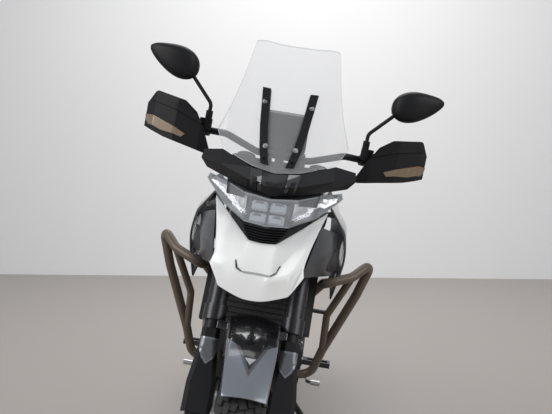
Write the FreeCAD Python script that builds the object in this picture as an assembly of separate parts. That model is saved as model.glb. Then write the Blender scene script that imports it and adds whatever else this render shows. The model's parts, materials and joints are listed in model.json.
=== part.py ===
"""Adventure motorcycle, parked on its side stand.

The machine is modelled upright and straight ahead, in millimetres: X to its left, Y to
its rear and Z up, with the floor at zero and the wheelbase centred on zero. At the end the
steered pieces are turned about the steering axis, everything leans onto the side stand, and
the origin moves to the floor under the middle of the whole machine.
"""

import FreeCAD
import Part

import math
import os

V = FreeCAD.Vector
X_AXIS = V(1, 0, 0)
Y_AXIS = V(0, 1, 0)
MIDDLE = V(0, 0, 0)

# Stance
WHEELBASE = 1560.0
FRONT_AXLE_Y = -WHEELBASE / 2
RAKE = 24.5                    # degrees from upright
FORK_OFFSET = 33.0             # legs ahead of the steering axis
LEAN = 9.2                     # degrees, to the left, on the side stand
STEER = 4.4                    # degrees, to the left, as parked

# Fits
SEAT_GAP = 0.3                 # between pieces that seat on each other
RUNNING_GAP = 5.0              # between turning pieces and what they pass
OVERRUN = 2.0                  # how far a cutting tool runs past what it cuts
BEND_SHARE = 0.45              # of the shorter run beside a bend
MESH_STEP = 0.2                # fineness at which the lowest points are found

# Front wheel
FRONT_TYRE_RADIUS = 325.0
FRONT_TYRE_WIDTH = 120.0
FRONT_RIM_RADIUS = 243.0
FRONT_RIM_WIDTH = 78.0
FRONT_HUB_RADIUS = 34.0
FRONT_AXLE_RADIUS = 10.0
FRONT_SPOKE_WIDTH = 17.0
FRONT_DISC_RADIUS = 158.0
FRONT_DISC_PLACE = 66.0        # disc's middle from the wheel's middle

# Rear wheel
REAR_TYRE_RADIUS = 333.0
REAR_TYRE_WIDTH = 150.0
REAR_RIM_RADIUS = 230.0
REAR_RIM_WIDTH = 106.0
REAR_HUB_RADIUS = 46.0
REAR_AXLE_RADIUS = 12.0
REAR_SPOKE_WIDTH = 20.0
REAR_DISC_RADIUS = 141.0
REAR_DISC_PLACE = 78.0         # right of the wheel's middle

# Wheels in common
SPOKE_PAIRS = 5
SPOKE_SPREAD = 14.0            # degrees that each spoke of a pair leans from its middle
SPOKE_DEPTH = 24.0
SPOKE_ROOT_SHARE = 0.55        # how far round the hub a pair starts, of a spoke's width
RIM_WALL = 14.0
RIM_LIP = 9.0
RIM_LIP_WALL = 6.0
RIM_WELL_SHARE = 0.45          # of the rim's width, flat in its well
RIM_WELL_DEPTH = 12.0
TYRE_WALL = 13.0
TYRE_TREAD_WALL = 19.0
TYRE_OUTER_SHARES = [
    # across and up, of the half width and the sidewall's height, from the belly to the tread
    (1.00, 0.42), (0.95, 0.68), (0.74, 0.89), (0.34, 1.00)]
TYRE_INNER_SHARES = [(0.70, 1.00), (1.00, 0.54)]
TYRE_SIDES = 58                # flat steps round a tyre
DISC_BAND = 34.0
DISC_THICKNESS = 5.0
DISC_HUB_RADIUS = 62.0
DISC_HUB_BORE = 28.0
DISC_ARM_WIDTH = 15.0
DISC_ARMS = 6

# Chain drive
CHAIN_PLACE = 97.0             # chain's middle, left of the wheel's middle
SPROCKET_RADIUS = 104.0
SPROCKET_TOOTH = 8.0
SPROCKET_TEETH = 42
SPROCKET_THICKNESS = 6.0
FRONT_SPROCKET_TEETH = 16
FRONT_SPROCKET_RADIUS = 40.0
CHAIN_PLATE = 3.5
CHAIN_INNER_WIDTH = 14.0
CHAIN_HEIGHT = 15.0
CHAIN_PIN_RADIUS = 5.0
CHAIN_TIP_GAP = 2.0            # from the rear teeth's tips to the rollers

# Fork legs
FORK_SPACING = 112.0           # each leg from the middle
SLIDER_RADIUS = 24.0
SLIDER_TOP = 322.0             # up the fork, from the axle
CASTING_RADIUS = 29.0
CASTING_TOP = 120.0
CASTING_FOOT = 36.0            # below the axle
AXLE_BOSS_RADIUS = 26.0
AXLE_BOSS_HALF = 20.0
AXLE_CAP_RADIUS = 16.0
AXLE_CAP_LENGTH = 6.0
TUBE_RADIUS = 28.0
TUBE_BOTTOM = 318.0
TUBE_TOP = 836.0
TUBE_COLLAR_RADIUS = 33.0
TUBE_COLLAR_HEIGHT = 44.0

# Yokes
LOWER_YOKE = 560.0             # its underside, up the fork
LOWER_YOKE_HEIGHT = 46.0
UPPER_YOKE = 792.0
UPPER_YOKE_HEIGHT = 28.0
YOKE_WALL = 14.0
YOKE_WAIST_SHARE = 0.62        # of the yoke's half depth, between the legs
STEM_RADIUS = 15.0
STEM_NUT_RADIUS = 21.0
STEM_NUT_HEIGHT = 12.0
RISER_RADIUS = 19.0
RISER_HEIGHT = 26.0
RISER_PLACE = 52.0
BAR_CLAMP_RADIUS = 21.0
BAR_CLAMP_WIDTH = 30.0

# Fork guards, ahead of the legs
GUARD_TOP = 290.0
GUARD_BOTTOM = 60.0
GUARD_WALL = 3.0
GUARD_TOP_HALF = 26.0
GUARD_LOW_HALF = 40.0
GUARD_STANDOFF = 40.0
GUARD_RETURN = 34.0
GUARD_BEVEL = 12.0
GUARD_BOSS_RADIUS = 7.0
GUARD_BOSS_PLACE = 90.0
GUARD_BOSS_SPACING = 150.0

# Front calipers
CALIPER_LENGTH = 98.0
CALIPER_DEPTH = 46.0
CALIPER_INSIDE = 21.0          # inboard of the disc's middle
CALIPER_OUTSIDE = 27.0
CALIPER_PLACE = 128.0          # up the fork
CALIPER_BACK = 64.0            # behind the leg
CALIPER_ROUND = 12.0
CALIPER_LUG_THICKNESS = 12.0
CALIPER_LUG_HEIGHT = 62.0

# Front fender
FENDER_GAP = 26.0              # from the tread to the fender's underside
FENDER_HALF = 68.0
FENDER_DROP = 46.0
FENDER_CREASE = 31.0           # crease's distance from the middle
FENDER_CROWN = 7.0
FENDER_WALL = 3.5
FENDER_FRONT_ANGLE = 40.0      # degrees above the axle, to the front
FENDER_REAR_ANGLE = 148.0
FENDER_STEPS = 8
FENDER_TIP_HALF_SHARE = 0.80   # width at the front tip
FENDER_TIP_DROP_SHARE = 0.20   # depth of the sides at the front tip
FENDER_LUG_LOW = 293.0         # up the fork
FENDER_LUG_HEIGHT = 24.0
FENDER_LUG_DEPTH = 60.0

# Handlebar
BAR_RADIUS = 11.0
BAR_HALF = 434.0
BAR_RISE_PLACE = 80.0
BAR_TOP_PLACE = 190.0
BAR_RISE = 38.0
BAR_BACK = 34.0
BAR_END_BACK = 98.0
BAR_END_DROP = 6.0
BAR_BEND_RADIUS = 70.0
GRIP_START = 308.0
GRIP_LENGTH = 118.0
GRIP_RADIUS = 16.5
GRIP_FLANGE_RADIUS = 22.0
GRIP_FLANGE = 6.0
SWITCH_LENGTH = 40.0
SWITCH_RADIUS = 20.0
SWITCH_TALL = 54.0
SWITCH_DEEP = 38.0
PERCH_LENGTH = 26.0
PERCH_RADIUS = 18.0
PERCH_REACH = 34.0
RESERVOIR_RADIUS = 20.0
RESERVOIR_HEIGHT = 36.0
LEVER_THICKNESS = 9.0
LEVER_WIDTH = 13.0
LEVER_REACH = 62.0
LEVER_LENGTH = 165.0
LEVER_BALL = 8.0

# Hand guards
HAND_GUARD_INNER = 230.0       # inner edge from the middle
HAND_GUARD_LENGTH = 219.0
HAND_GUARD_LOW = 40.0          # inner lower corner below the bar's middle
HAND_GUARD_HEIGHT = 168.0
HAND_GUARD_AHEAD = 54.0        # front face ahead of the bar's middle
HAND_GUARD_SWEEP = 134.0       # from the front face back to the bar's end
HAND_GUARD_WALL = 4.0
HAND_GUARD_ROUND = 14.0
HAND_GUARD_ARM_WIDTH = 22.0
HAND_GUARD_ARM_THICKNESS = 13.0
HAND_GUARD_FRONT_SHARES = [
    # along and up, of the guard's length and height, inner lower corner first
    (0.00, 0.02), (0.30, 0.10), (0.66, 0.19), (0.86, 0.27), (1.03, 0.34), (1.03, 0.62),
    (0.85, 1.00), (0.42, 0.91), (0.24, 0.74), (0.10, 0.43), (0.00, 0.14)]
HAND_GUARD_PLAN_SHARES = [
    # along and back, of the guard's length and sweep
    (-0.03, 0.10), (0.16, 0.00), (0.52, 0.03), (0.84, 0.20), (0.97, 0.44), (1.00, 0.80),
    (0.985, 1.14)]
HAND_GUARD_SIDE_SHARES = [
    # back and up, of the guard's sweep and height
    (-0.30, -0.10), (0.20, -0.10), (1.26, 0.34), (1.26, 0.55), (0.25, 1.10), (-0.30, 1.10)]

# Mirrors
MIRROR_BASE_PLACE = 254.0      # from the middle
MIRROR_BASE_RADIUS = 11.0
MIRROR_BASE_HEIGHT = 62.0
MIRROR_STEM_RADIUS = 6.0
MIRROR_STEM_KICK = 22.0        # straight part above the base
MIRROR_STEM_SIDE = 96.0
MIRROR_STEM_LIFT = 100.0
MIRROR_STEM_BACK = 16.0
MIRROR_STEM_BEND = 24.0
MIRROR_LENGTH = 162.0
MIRROR_HEIGHT = 98.0
MIRROR_DEPTH = 38.0
MIRROR_INNER = 38.0            # inner end inboard of the stem's top
MIRROR_SHARES = [
    # along, and lower and upper edge, of the mirror's length and height
    (0.00, 0.34, 0.50), (0.08, 0.10, 0.76), (0.28, 0.00, 0.95), (0.55, 0.12, 1.00),
    (0.82, 0.42, 0.97), (1.00, 0.74, 0.86)]
MIRROR_BULGE_SHARES = [0.22, 0.72, 1.00, 0.92, 0.62, 0.20]
MIRROR_RIM = 5.0

# Main frame
HEAD_RADIUS = 32.0
HEAD_WALL_GAP = 0.5            # round the stem
HEAD_END_GAP = 1.0             # to each yoke
SPAR_RADIUS = 18.0
SPAR_HALF = 152.0              # widest, beside the engine's top
SPAR_SHOULDER = -240.0         # place fore and aft where it is widest
SPAR_SHOULDER_HEIGHT = 800.0
SPAR_KNEE = 70.0
SPAR_KNEE_HEIGHT = 655.0
SPAR_BEND = 90.0
SPAR_HEAD_SHARE = 0.62         # up the head tube
DOWN_RADIUS = 14.0
DOWN_HALF = 120.0
DOWN_SHOULDER = -350.0
DOWN_SHOULDER_HEIGHT = 760.0
DOWN_FOOT = -232.0
DOWN_FOOT_HEIGHT = 540.0
DOWN_HEAD_SHARE = 0.24
BRACE_RADIUS = 11.0
PIVOT_Y = 270.0
PIVOT_Z = 430.0
PIVOT_RADIUS = 13.0
PIVOT_PLATE = 146.0            # inner face from the middle
PIVOT_PLATE_THICKNESS = 16.0
PIVOT_PLATE_LENGTH = 130.0
PIVOT_PLATE_HEIGHT = 300.0
PIVOT_PLATE_FRONT = 66.0       # ahead of the pivot
PIVOT_PLATE_LOW = 140.0        # below the pivot
PIVOT_PLATE_ROUND = 16.0
PIVOT_PLATE_SHARES = [
    (0.10, 0.10), (0.40, 0.00), (0.86, 0.08), (1.00, 0.40), (0.98, 0.58), (0.76, 0.84),
    (0.66, 1.00), (0.26, 1.00), (0.16, 0.76), (0.00, 0.46)]
CROSS_RADIUS = 12.0
LOWER_CROSS_BACK = -30.0       # from the pivot
LOWER_CROSS_DOWN = 112.0
NOSE_STAY_RADIUS = 11.0
NOSE_STAY_SPACING = 14.0
NOSE_UPRIGHT_AHEAD = 150.0     # ahead of the head
NOSE_CROSS_HALF = 46.0
NOSE_CROSS_RADIUS = 9.0
NOSE_ARM_RADIUS = 6.5
NOSE_ARM_OVERLAP = 30.0        # how far an arm's blank runs past what cuts its end
COWL_ARM_RISE = 84.0
DISPLAY_ARM_RISE = 182.0
BEAK_ARM_DROP = 79.0

# Engine
ENGINE_HALF = 142.0            # crankcase, each side of the middle
ENGINE_BACK_HALF = 78.0        # gearbox end, inboard of the chain
ENGINE_FRONT = -200.0
ENGINE_STEP = 118.0            # where the case narrows
ENGINE_REAR = 236.0
ENGINE_LOW = 262.0
ENGINE_HEIGHT = 260.0
ENGINE_ROUND = 18.0
CYLINDER_HALF = 118.0
CYLINDER_LEAN = 14.0           # degrees, forward
CYLINDER_FRONT = -176.0
CYLINDER_DEPTH = 176.0
CYLINDER_HEIGHT = 128.0
HEAD_COVER_HEIGHT = 92.0
HEAD_COVER_INSET = 10.0
FIN_THICKNESS = 5.0
FIN_REACH = 9.0
FIN_COUNT = 6
COVER_THICKNESS = 26.0
COVER_STEP = 10.0
CLUTCH_COVER_RADIUS = 82.0
CLUTCH_COVER_Y = -48.0
CLUTCH_COVER_Z = 376.0
GENERATOR_COVER_RADIUS = 84.0
GENERATOR_COVER_Y = -70.0
GENERATOR_COVER_Z = 368.0
PUMP_COVER_RADIUS = 34.0
PUMP_COVER_Y = -154.0
PUMP_COVER_Z = 308.0
SPROCKET_COVER_WALL = 6.0
SPROCKET_COVER_MARGIN = 20.0
SPROCKET_COVER_GAP = 7.0
FRONT_SPROCKET_Y = 190.0
FRONT_SPROCKET_Z = 432.0
OUTPUT_SHAFT_RADIUS = 16.0

# Radiator, in the fork's own frame
RADIATOR_BACK = 122.0
RADIATOR_THICKNESS = 34.0
RADIATOR_BOTTOM = 345.0
RADIATOR_TOP = 565.0
RADIATOR_HALF = 168.0
RADIATOR_TANK = 26.0
RADIATOR_SLATS = 14
RADIATOR_SLAT_THICKNESS = 4.0
RADIATOR_STAY = 12.0

# Exhaust
HEADER_RADIUS = 20.0
HEADER_SPACING = 52.0
HEADER_BEND = 70.0
HEADER_PORT_HEIGHT = 40.0      # up the cylinders
HEADER_AHEAD = 92.0
HEADER_LOW = 228.0
HEADER_JOIN_Y = -60.0
COLLECTOR_RADIUS = 27.0
COLLECTOR_END_Y = 176.0
COLLECTOR_OUT = -196.0
COLLECTOR_RUN = 80.0           # straight run into the muffler
MUFFLER_START_Y = 404.0
MUFFLER_START_Z = 404.0
MUFFLER_PLACE = -228.0
MUFFLER_LENGTH = 410.0
MUFFLER_TILT = 22.0            # degrees up to the rear
MUFFLER_WIDTH = 92.0
MUFFLER_HEIGHT = 130.0
MUFFLER_CONE = 46.0
MUFFLER_CAP = 34.0
MUFFLER_ROUND_SHARE = 0.42
MUFFLER_OUTLET_RADIUS = 22.0
MUFFLER_OUTLET_LENGTH = 26.0

# Swingarm and what it carries
ARM_LEFT = 116.0               # inner face of the left arm
ARM_RIGHT = 116.0
ARM_THICKNESS = 26.0
ARM_HEIGHT = 74.0
ARM_END_LENGTH = 64.0
ARM_END_HEIGHT = 58.0
ARM_PIVOT_TUBE = 27.0
ARM_CROSS_FRONT = 330.0
ARM_CROSS_DEPTH = 74.0
ARM_CROSS_LOW = 376.0
ARM_CROSS_HEIGHT = 60.0
ARM_ROUND = 14.0
AXLE_NUT_RADIUS = 18.0
AXLE_NUT_LENGTH = 12.0
REAR_CALIPER_LENGTH = 84.0
REAR_CALIPER_DEPTH = 46.0
REAR_CALIPER_WIDTH = 46.0
REAR_CALIPER_ANGLE = 125.0     # degrees round the axle, from the rear, over the top
SHOCK_TOP_Y = 180.0
SHOCK_BODY_RADIUS = 24.0
SHOCK_SPRING_RADIUS = 40.0
SHOCK_COILS = 8
SHOCK_EYE_RADIUS = 18.0
SHOCK_EYE_HALF = 18.0
SHOCK_NECK_RADIUS = 14.0

# Subframe
SUBFRAME_RADIUS = 12.0
STAY_RADIUS = 10.0
SUBFRAME_HALF = 108.0
SUBFRAME_FRONT_Y = 30.0
SUBFRAME_SEAT_Y = 190.0
SUBFRAME_SEAT_Z = 772.0
SUBFRAME_END_Y = 812.0
SUBFRAME_END_Z = 836.0
SUBFRAME_LOW_Y = 300.0
SUBFRAME_STEP_Y = 440.0
SUBFRAME_LOW_Z = 590.0
SUBFRAME_JOIN_Y = 620.0
SUBFRAME_BEND = 60.0

# Tank
TANK_FRONT = FRONT_AXLE_Y + 428.0
TANK_LENGTH = 408.0
TANK_BOTTOM = 838.0
TANK_HEIGHT = 234.0
TANK_HALF = 172.0
TANK_STATION_SHARES = [
    # along, half width, bottom and top, of the tank's length, half width and height
    (0.00, 0.50, 0.30, 0.80), (0.14, 0.84, 0.10, 0.93), (0.40, 1.00, 0.00, 1.00),
    (0.68, 0.86, 0.00, 0.86), (0.88, 0.60, 0.00, 0.52), (1.00, 0.50, 0.00, 0.26)]
TANK_RING_SHARES = [
    # across and up, round half of a ring from the top
    (0.00, 1.00), (0.52, 0.96), (0.86, 0.76), (1.00, 0.44), (0.92, 0.10), (0.60, 0.00),
    (0.00, 0.00)]
FILLER_RADIUS = 34.0
FILLER_HEIGHT = 8.0
FILLER_PLACE_SHARE = 0.36

# Tank shrouds
SHROUD_FRONT = FRONT_AXLE_Y + 214.0
SHROUD_LENGTH = 470.0
SHROUD_LOW = 690.0
SHROUD_HEIGHT = 300.0
SHROUD_HALF = 243.0
SHROUD_WALL = 6.0
SHROUD_ROW_SHARES = [
    # top to foot as across, along and up, from the front row back
    [(0.70, 0.00, 0.97), (0.925, 0.11, 0.72), (1.00, 0.16, 0.47), (0.94, 0.20, 0.20),
     (0.90, 0.26, 0.00)],
    [(0.69, 0.28, 1.04), (0.96, 0.32, 0.80), (1.02, 0.36, 0.50), (0.95, 0.36, 0.22),
     (0.90, 0.40, 0.08)],
    [(0.74, 0.62, 1.06), (0.88, 0.64, 0.82), (0.92, 0.66, 0.58), (0.88, 0.66, 0.38),
     (0.82, 0.66, 0.26)],
    [(0.73, 1.00, 0.94), (0.80, 1.00, 0.76), (0.82, 1.00, 0.64), (0.81, 1.00, 0.54),
     (0.78, 1.00, 0.46)]]
SHROUD_TAB_RADIUS = 8.0

# Beak, below the headlight
BEAK_TIP = FRONT_AXLE_Y - 132.0
BEAK_LENGTH = 300.0
BEAK_LOW = 742.0
BEAK_HEIGHT = 236.0
BEAK_HALF = 166.0
BEAK_WALL = 4.0
BEAK_ROW_SHARES = [
    # half rows from the middle outward as across, along and up, lowest row first
    [(0.00, 0.02, 0.02), (0.18, 0.024, 0.02), (0.54, 0.075, 0.11), (0.71, 0.144, 0.33)],
    [(0.00, 0.085, 0.26), (0.21, 0.05, 0.26), (0.50, 0.11, 0.32), (0.70, 0.28, 0.41)],
    [(0.00, 0.21, 0.46), (0.22, 0.18, 0.47), (0.52, 0.42, 0.54), (0.79, 0.58, 0.64)],
    [(0.00, 0.315, 0.585), (0.22, 0.33, 0.60), (0.62, 0.73, 0.775), (0.98, 1.00, 0.97)]]

# Grille between beak and headlight
GRILLE_GAP = 0.8               # to the beak below
GRILLE_LAMP_GAP = 3.5          # to the lamp above
GRILLE_LOW_SHARE = 0.97        # ends, between the corners of the beak's edge
GRILLE_HIGH_SHARE = 0.60       # ends, between the corners of the lamp's edge
GRILLE_WALL = 3.0
GRILLE_SLATS = 6
GRILLE_SLAT_THICKNESS = 2.5
GRILLE_SLAT_REACH = 8.0

# Headlight
LAMP_FRONT = FRONT_AXLE_Y - 12.0
LAMP_DEPTH = 200.0
LAMP_LOW = 922.0
LAMP_HEIGHT = 106.0
LAMP_HALF = 198.0
LAMP_LENS = 3.0
LAMP_SHELL_DEPTH = 38.0
LAMP_WALL = 4.0
LAMP_MODULE_Z = 952.0
LAMP_MODULE_RADIUS = 15.0
LAMP_MODULE_SPACING = 27.0
LAMP_MODULE_RISE = 16.5
LAMP_MODULE_FRONT = FRONT_AXLE_Y + 22.0
LAMP_MODULE_SET = 10.0         # how much the lower pair stands ahead
LAMP_ROW_SHARES = [
    # half rows from the middle outward as across, along and up, lowest row first
    [(0.00, 0.00, 0.00), (0.31, 0.07, 0.03), (0.67, 0.68, 0.27), (0.96, 0.96, 0.74)],
    [(0.00, 0.10, 0.35), (0.35, 0.14, 0.38), (0.68, 0.70, 0.58), (1.00, 0.98, 0.86)],
    [(0.00, 0.20, 0.66), (0.38, 0.25, 0.74), (0.66, 0.72, 0.86), (0.97, 1.00, 1.00)]]

# Cowl above the headlight
COWL_FRONT = FRONT_AXLE_Y + 28.0
COWL_DEPTH = 190.0
COWL_LOW = 994.0
COWL_HEIGHT = 118.0
COWL_HALF = 226.0
COWL_WALL = 5.0
COWL_ROW_SHARES = [
    # half rows from the middle outward as across, along and up, lowest row first
    [(0.00, 0.05, 0.03), (0.33, 0.24, 0.13), (0.66, 0.60, 0.28), (0.90, 0.86, 0.40)],
    [(0.00, 0.02, 0.26), (0.33, 0.18, 0.34), (0.72, 0.52, 0.56), (1.00, 0.95, 0.60)],
    [(0.00, 0.24, 0.52), (0.31, 0.35, 0.60), (0.71, 0.65, 0.90), (0.98, 0.98, 0.82)]]

# Windscreen
SCREEN_LOW = 1054.0
SCREEN_HEIGHT = 380.0
SCREEN_HALF = 192.0
SCREEN_FRONT = FRONT_AXLE_Y + 74.0
SCREEN_SWEEP = 200.0
SCREEN_WALL = 4.0
SCREEN_ROW_SHARES = [
    # half rows from the middle outward as across, along and up, from the foot
    [(0.00, 0.00, 0.015), (0.36, 0.10, 0.035), (0.62, 0.26, 0.09), (0.84, 0.40, 0.125)],
    [(0.00, 0.20, 0.16), (0.37, 0.28, 0.18), (0.72, 0.42, 0.22), (0.99, 0.60, 0.265)],
    [(0.00, 0.36, 0.32), (0.37, 0.42, 0.34), (0.66, 0.54, 0.38), (0.86, 0.64, 0.43)],
    [(0.00, 0.64, 0.64), (0.38, 0.70, 0.65), (0.58, 0.76, 0.67), (0.74, 0.82, 0.68)],
    [(0.00, 0.93, 0.975), (0.34, 0.95, 0.98), (0.50, 0.97, 0.995), (0.645, 0.98, 0.985)]]
STRIP_WIDTH = 24.0
STRIP_THICKNESS = 3.0
STRIP_STANDOFF = 2.0           # from the screen, on its bolts
STRIP_LOW_SHARE = 0.50         # across the screen's middle facet, at its foot
STRIP_HIGH_SHARE = 0.94
STRIP_FOOT_SHARE = 0.25        # up the first facet
STRIP_TOP_SHARE = 0.90         # up the third facet
STRIP_BOLT_RADIUS = 4.0
STRIP_ARM_SHARE = 0.8          # up the first facet

# Display behind the screen
DISPLAY_WIDTH = 134.0
DISPLAY_HEIGHT = 116.0
DISPLAY_THICKNESS = 34.0
DISPLAY_Y = FRONT_AXLE_Y + 242.0
DISPLAY_LOW = 1112.0
DISPLAY_TILT = 14.0
DISPLAY_BEZEL = 9.0
DISPLAY_RECESS = 2.0

# Crash bars
CRASH_RADIUS = 14.0
CRASH_BEND = 55.0
CRASH_ROOT_HALF = 136.0
CRASH_ROOT_Y = -290.0
CRASH_ROOT_Z = 640.0
CRASH_RISE_HALF = 190.0
CRASH_RISE_Y = -420.0
CRASH_RISE_Z = 735.0
CRASH_NOSE_HALF = 178.0
CRASH_NOSE_Y = FRONT_AXLE_Y + 205.0
CRASH_NOSE_Z = 757.0
CRASH_SHOULDER_HALF = 264.0
CRASH_SHOULDER_Y = FRONT_AXLE_Y + 240.0
CRASH_SHOULDER_Z = 786.0
CRASH_TIP_HALF = 322.0
CRASH_TIP_Y = FRONT_AXLE_Y + 300.0
CRASH_TIP_Z = 833.0
CRASH_ELBOW_HALF = 292.0
CRASH_ELBOW_Y = -440.0
CRASH_ELBOW_Z = 716.0
CRASH_HIP_HALF = 222.0
CRASH_HIP_Y = -350.0
CRASH_HIP_Z = 503.0
CRASH_LOW_HALF = 200.0
CRASH_LOW_Y = -300.0
CRASH_LOW_Z = 404.0
CRASH_FOOT_HALF = 122.0
CRASH_FOOT_Z = 392.0
CRASH_BRACE_HALF = 214.0
CRASH_BRACE_Y = -440.0
CRASH_BRACE_Z = 640.0

# Skid plate
SKID_LOW = 184.0
SKID_WALL = 4.0
SKID_HALF = 120.0
SKID_TOP_HALF = 146.0
SKID_FRONT = -338.0
SKID_LENGTH = 404.0
SKID_HEIGHT = 168.0
SKID_SIDE_RISE = 34.0
SKID_PROFILE_SHARES = [(0.00, 1.00), (0.03, 0.66), (0.14, 0.25), (0.25, 0.06), (0.34, 0.00),
                       (1.00, 0.03)]
SKID_POST_RADIUS = 9.0
SKID_POST_HALF = 102.0
SKID_POST_PLACES = [-130.0, 40.0]

# Seats
SEAT_FRONT = 68.0
SEAT_LENGTH = 372.0
SEAT_HALF = 150.0
SEAT_THICKNESS = 78.0
PILLION_LENGTH = 330.0
PILLION_HALF = 132.0
PILLION_THICKNESS = 66.0
CUSHION_SINK = 8.0             # rounded underside that is cut flat on the rails
SEAT_PIECE_GAP = 4.0
SEAT_RING_SHARES = [
    # across and up, round half of a cushion from the top
    (0.00, 0.94), (0.55, 1.00), (0.90, 0.84), (1.00, 0.44), (0.90, 0.06), (0.50, 0.00),
    (0.00, 0.00)]
SEAT_STATION_SHARES = [
    # along, half width and thickness
    (0.00, 0.46, 0.80), (0.25, 0.62, 0.86), (0.60, 1.00, 0.84), (0.86, 1.00, 0.98),
    (1.00, 0.90, 1.20)]
PILLION_STATION_SHARES = [(0.00, 0.98, 1.70), (0.12, 1.00, 1.95), (0.55, 0.90, 1.25),
                          (0.90, 0.74, 0.95), (1.00, 0.62, 0.60)]

# Side panels and tail
PANEL_WALL = 5.0
PANEL_POST_DROP = 9.0
PANEL_POST_PLACES = [260.0, 430.0]
PANEL_HALF = 140.0
PANEL_FRONT = 70.0
PANEL_LENGTH = 720.0
PANEL_LOW = 640.0
PANEL_HEIGHT = 148.0
PANEL_SHARES = [(0.00, 0.20), (0.10, 0.00), (0.34, 0.12), (0.70, 0.56), (1.00, 0.96),
                (1.00, 1.10), (0.52, 0.84), (0.00, 0.86)]
RACK_RADIUS = 9.0
RACK_HALF = 150.0              # grab rails beside the seat
RACK_REAR_HALF = 118.0
RACK_FRONT_Y = 520.0
RACK_SHOULDER_Y = 610.0
RACK_SHOULDER_Z = 862.0
RACK_BEND_Y = 786.0
RACK_END_Y = 936.0
RACK_HEIGHT = 946.0
RACK_PLATE_THICKNESS = 6.0
RACK_PLATE_LENGTH = 190.0
RACK_PLATE_WIDTH = 216.0
RACK_PLATE_Y = 742.0
RACK_HOLE_RADIUS = 4.5
RACK_HOLE_SPACING = 100.0
TAIL_LAMP_WIDTH = 118.0
TAIL_LAMP_HEIGHT = 44.0
TAIL_LAMP_DEPTH = 40.0
TAIL_LAMP_SHARES = [(0.70, 0.00), (1.00, 0.55), (0.92, 1.00)]
REAR_FENDER_WIDTH = 150.0
REAR_FENDER_WALL = 5.0
REAR_FENDER_LENGTH = 232.0
REAR_FENDER_DROP = 236.0
REAR_FENDER_EDGE = 16.0
REAR_FENDER_SHARES = [
    # back and down, of its length and its drop
    (0.00, 0.00), (0.19, 0.00), (0.32, 0.05), (0.56, 0.26), (0.92, 0.94), (1.00, 1.00)]
INDICATOR_LENGTH = 74.0
INDICATOR_RADIUS = 17.0
INDICATOR_STALK_RADIUS = 7.0
INDICATOR_STALK_LENGTH = 46.0

# Footrests and foot controls
PEG_LENGTH = 104.0
PEG_WIDTH = 46.0
PEG_HEIGHT = 18.0
PEG_Y = 60.0
PEG_Z = 342.0
PEG_ARM_THICKNESS = 14.0
PASSENGER_PEG_Y = 372.0
PASSENGER_PEG_Z = 470.0
PASSENGER_PEG_LENGTH = 82.0
FOOT_LEVER_RADIUS = 6.0
FOOT_LEVER_Y = 16.0
FOOT_LEVER_Z = 296.0
SHIFT_TIP_Y = -150.0
SHIFT_TIP_Z = 330.0
FOOT_LEVER_HALF = 200.0
FOOT_LEVER_TIP_HALF = 244.0
BRAKE_TIP_Y = -140.0
BRAKE_TIP_Z = 322.0

# Side stand
STAND_PIVOT_HALF = 104.0
STAND_PIVOT_Y = 140.0
STAND_PIVOT_Z = 262.0
STAND_LUG_THICKNESS = 10.0
STAND_PIN_RADIUS = 7.0
STAND_BOSS_LENGTH = 14.0
STAND_KNEE = 48.0              # from the hinge to the bend of the leg
STAND_NECK = 6.0
STAND_FOOT_SIDE = 296.0        # on the floor, from the line between the tyres
STAND_FOOT_Y = -12.0
STAND_LEG_RADIUS = 12.0
STAND_FOOT_RADIUS = 26.0
STAND_FOOT_THICKNESS = 7.0
STAND_EAR_THICKNESS = 9.0
STAND_EAR_RADIUS = 19.0
STAND_AXIS_BACK = 0.135        # slant of the hinge, per unit across
STAND_AXIS_UP = 0.10
NOSE_UPRIGHT_RADIUS = 13.0
NOSE_UPRIGHT_DROP = 90.0
NOSE_UPRIGHT_RISE = 194.0
SPACER_GAP = 1.0
COLLECTOR_TURN_Y = 50.0
ENGINE_SHARES = [(0.00, 0.16), (0.06, 0.00), (0.86, 0.00), (1.00, 0.22), (1.00, 0.60),
                 (0.84, 0.86), (0.56, 1.00), (0.06, 1.00), (0.00, 0.80)]

FRONT_AXLE = V(0, FRONT_AXLE_Y, FRONT_TYRE_RADIUS)
REAR_AXLE = V(0, WHEELBASE / 2, REAR_TYRE_RADIUS)
BAR_UP = UPPER_YOKE + UPPER_YOKE_HEIGHT + RISER_HEIGHT + BAR_CLAMP_RADIUS


# Points and outlines

def on_fork(across, back, up):
    """A point given from the front axle, with up along the fork."""
    lean = math.radians(RAKE)
    rear = back * math.cos(lean) + up * math.sin(lean)
    rise = up * math.cos(lean) - back * math.sin(lean)
    return FRONT_AXLE + V(across, rear, rise)


def to_fork(shape):
    """A shape made about the front axle with Z up, turned to lie along the fork."""
    placed = shape.copy()
    placed.rotate(MIDDLE, X_AXIS, -RAKE)
    placed.translate(FRONT_AXLE)
    return placed


def from_fork(point):
    """A point of the machine, as across, back and up the fork from the front axle."""
    lean = math.radians(RAKE)
    run = point - FRONT_AXLE
    back = run.y * math.cos(lean) - run.z * math.sin(lean)
    return V(point.x, back, run.y * math.sin(lean) + run.z * math.cos(lean))


def sized(shares, across, up, corner=(0, 0)):
    """Points given as shares of two sizes, from a corner."""
    return [(corner[0] + along * across, corner[1] + rise * up) for along, rise in shares]


def lay(points, axis, place):
    """Flat points set in space: the axis is the one that the outline faces."""
    if axis == "x":
        return [V(place, a, b) for a, b in points]
    if axis == "y":
        return [V(a, place, b) for a, b in points]
    return [V(a, b, place) for a, b in points]


def toward(start, end):
    return (end - start).normalize()


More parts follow.
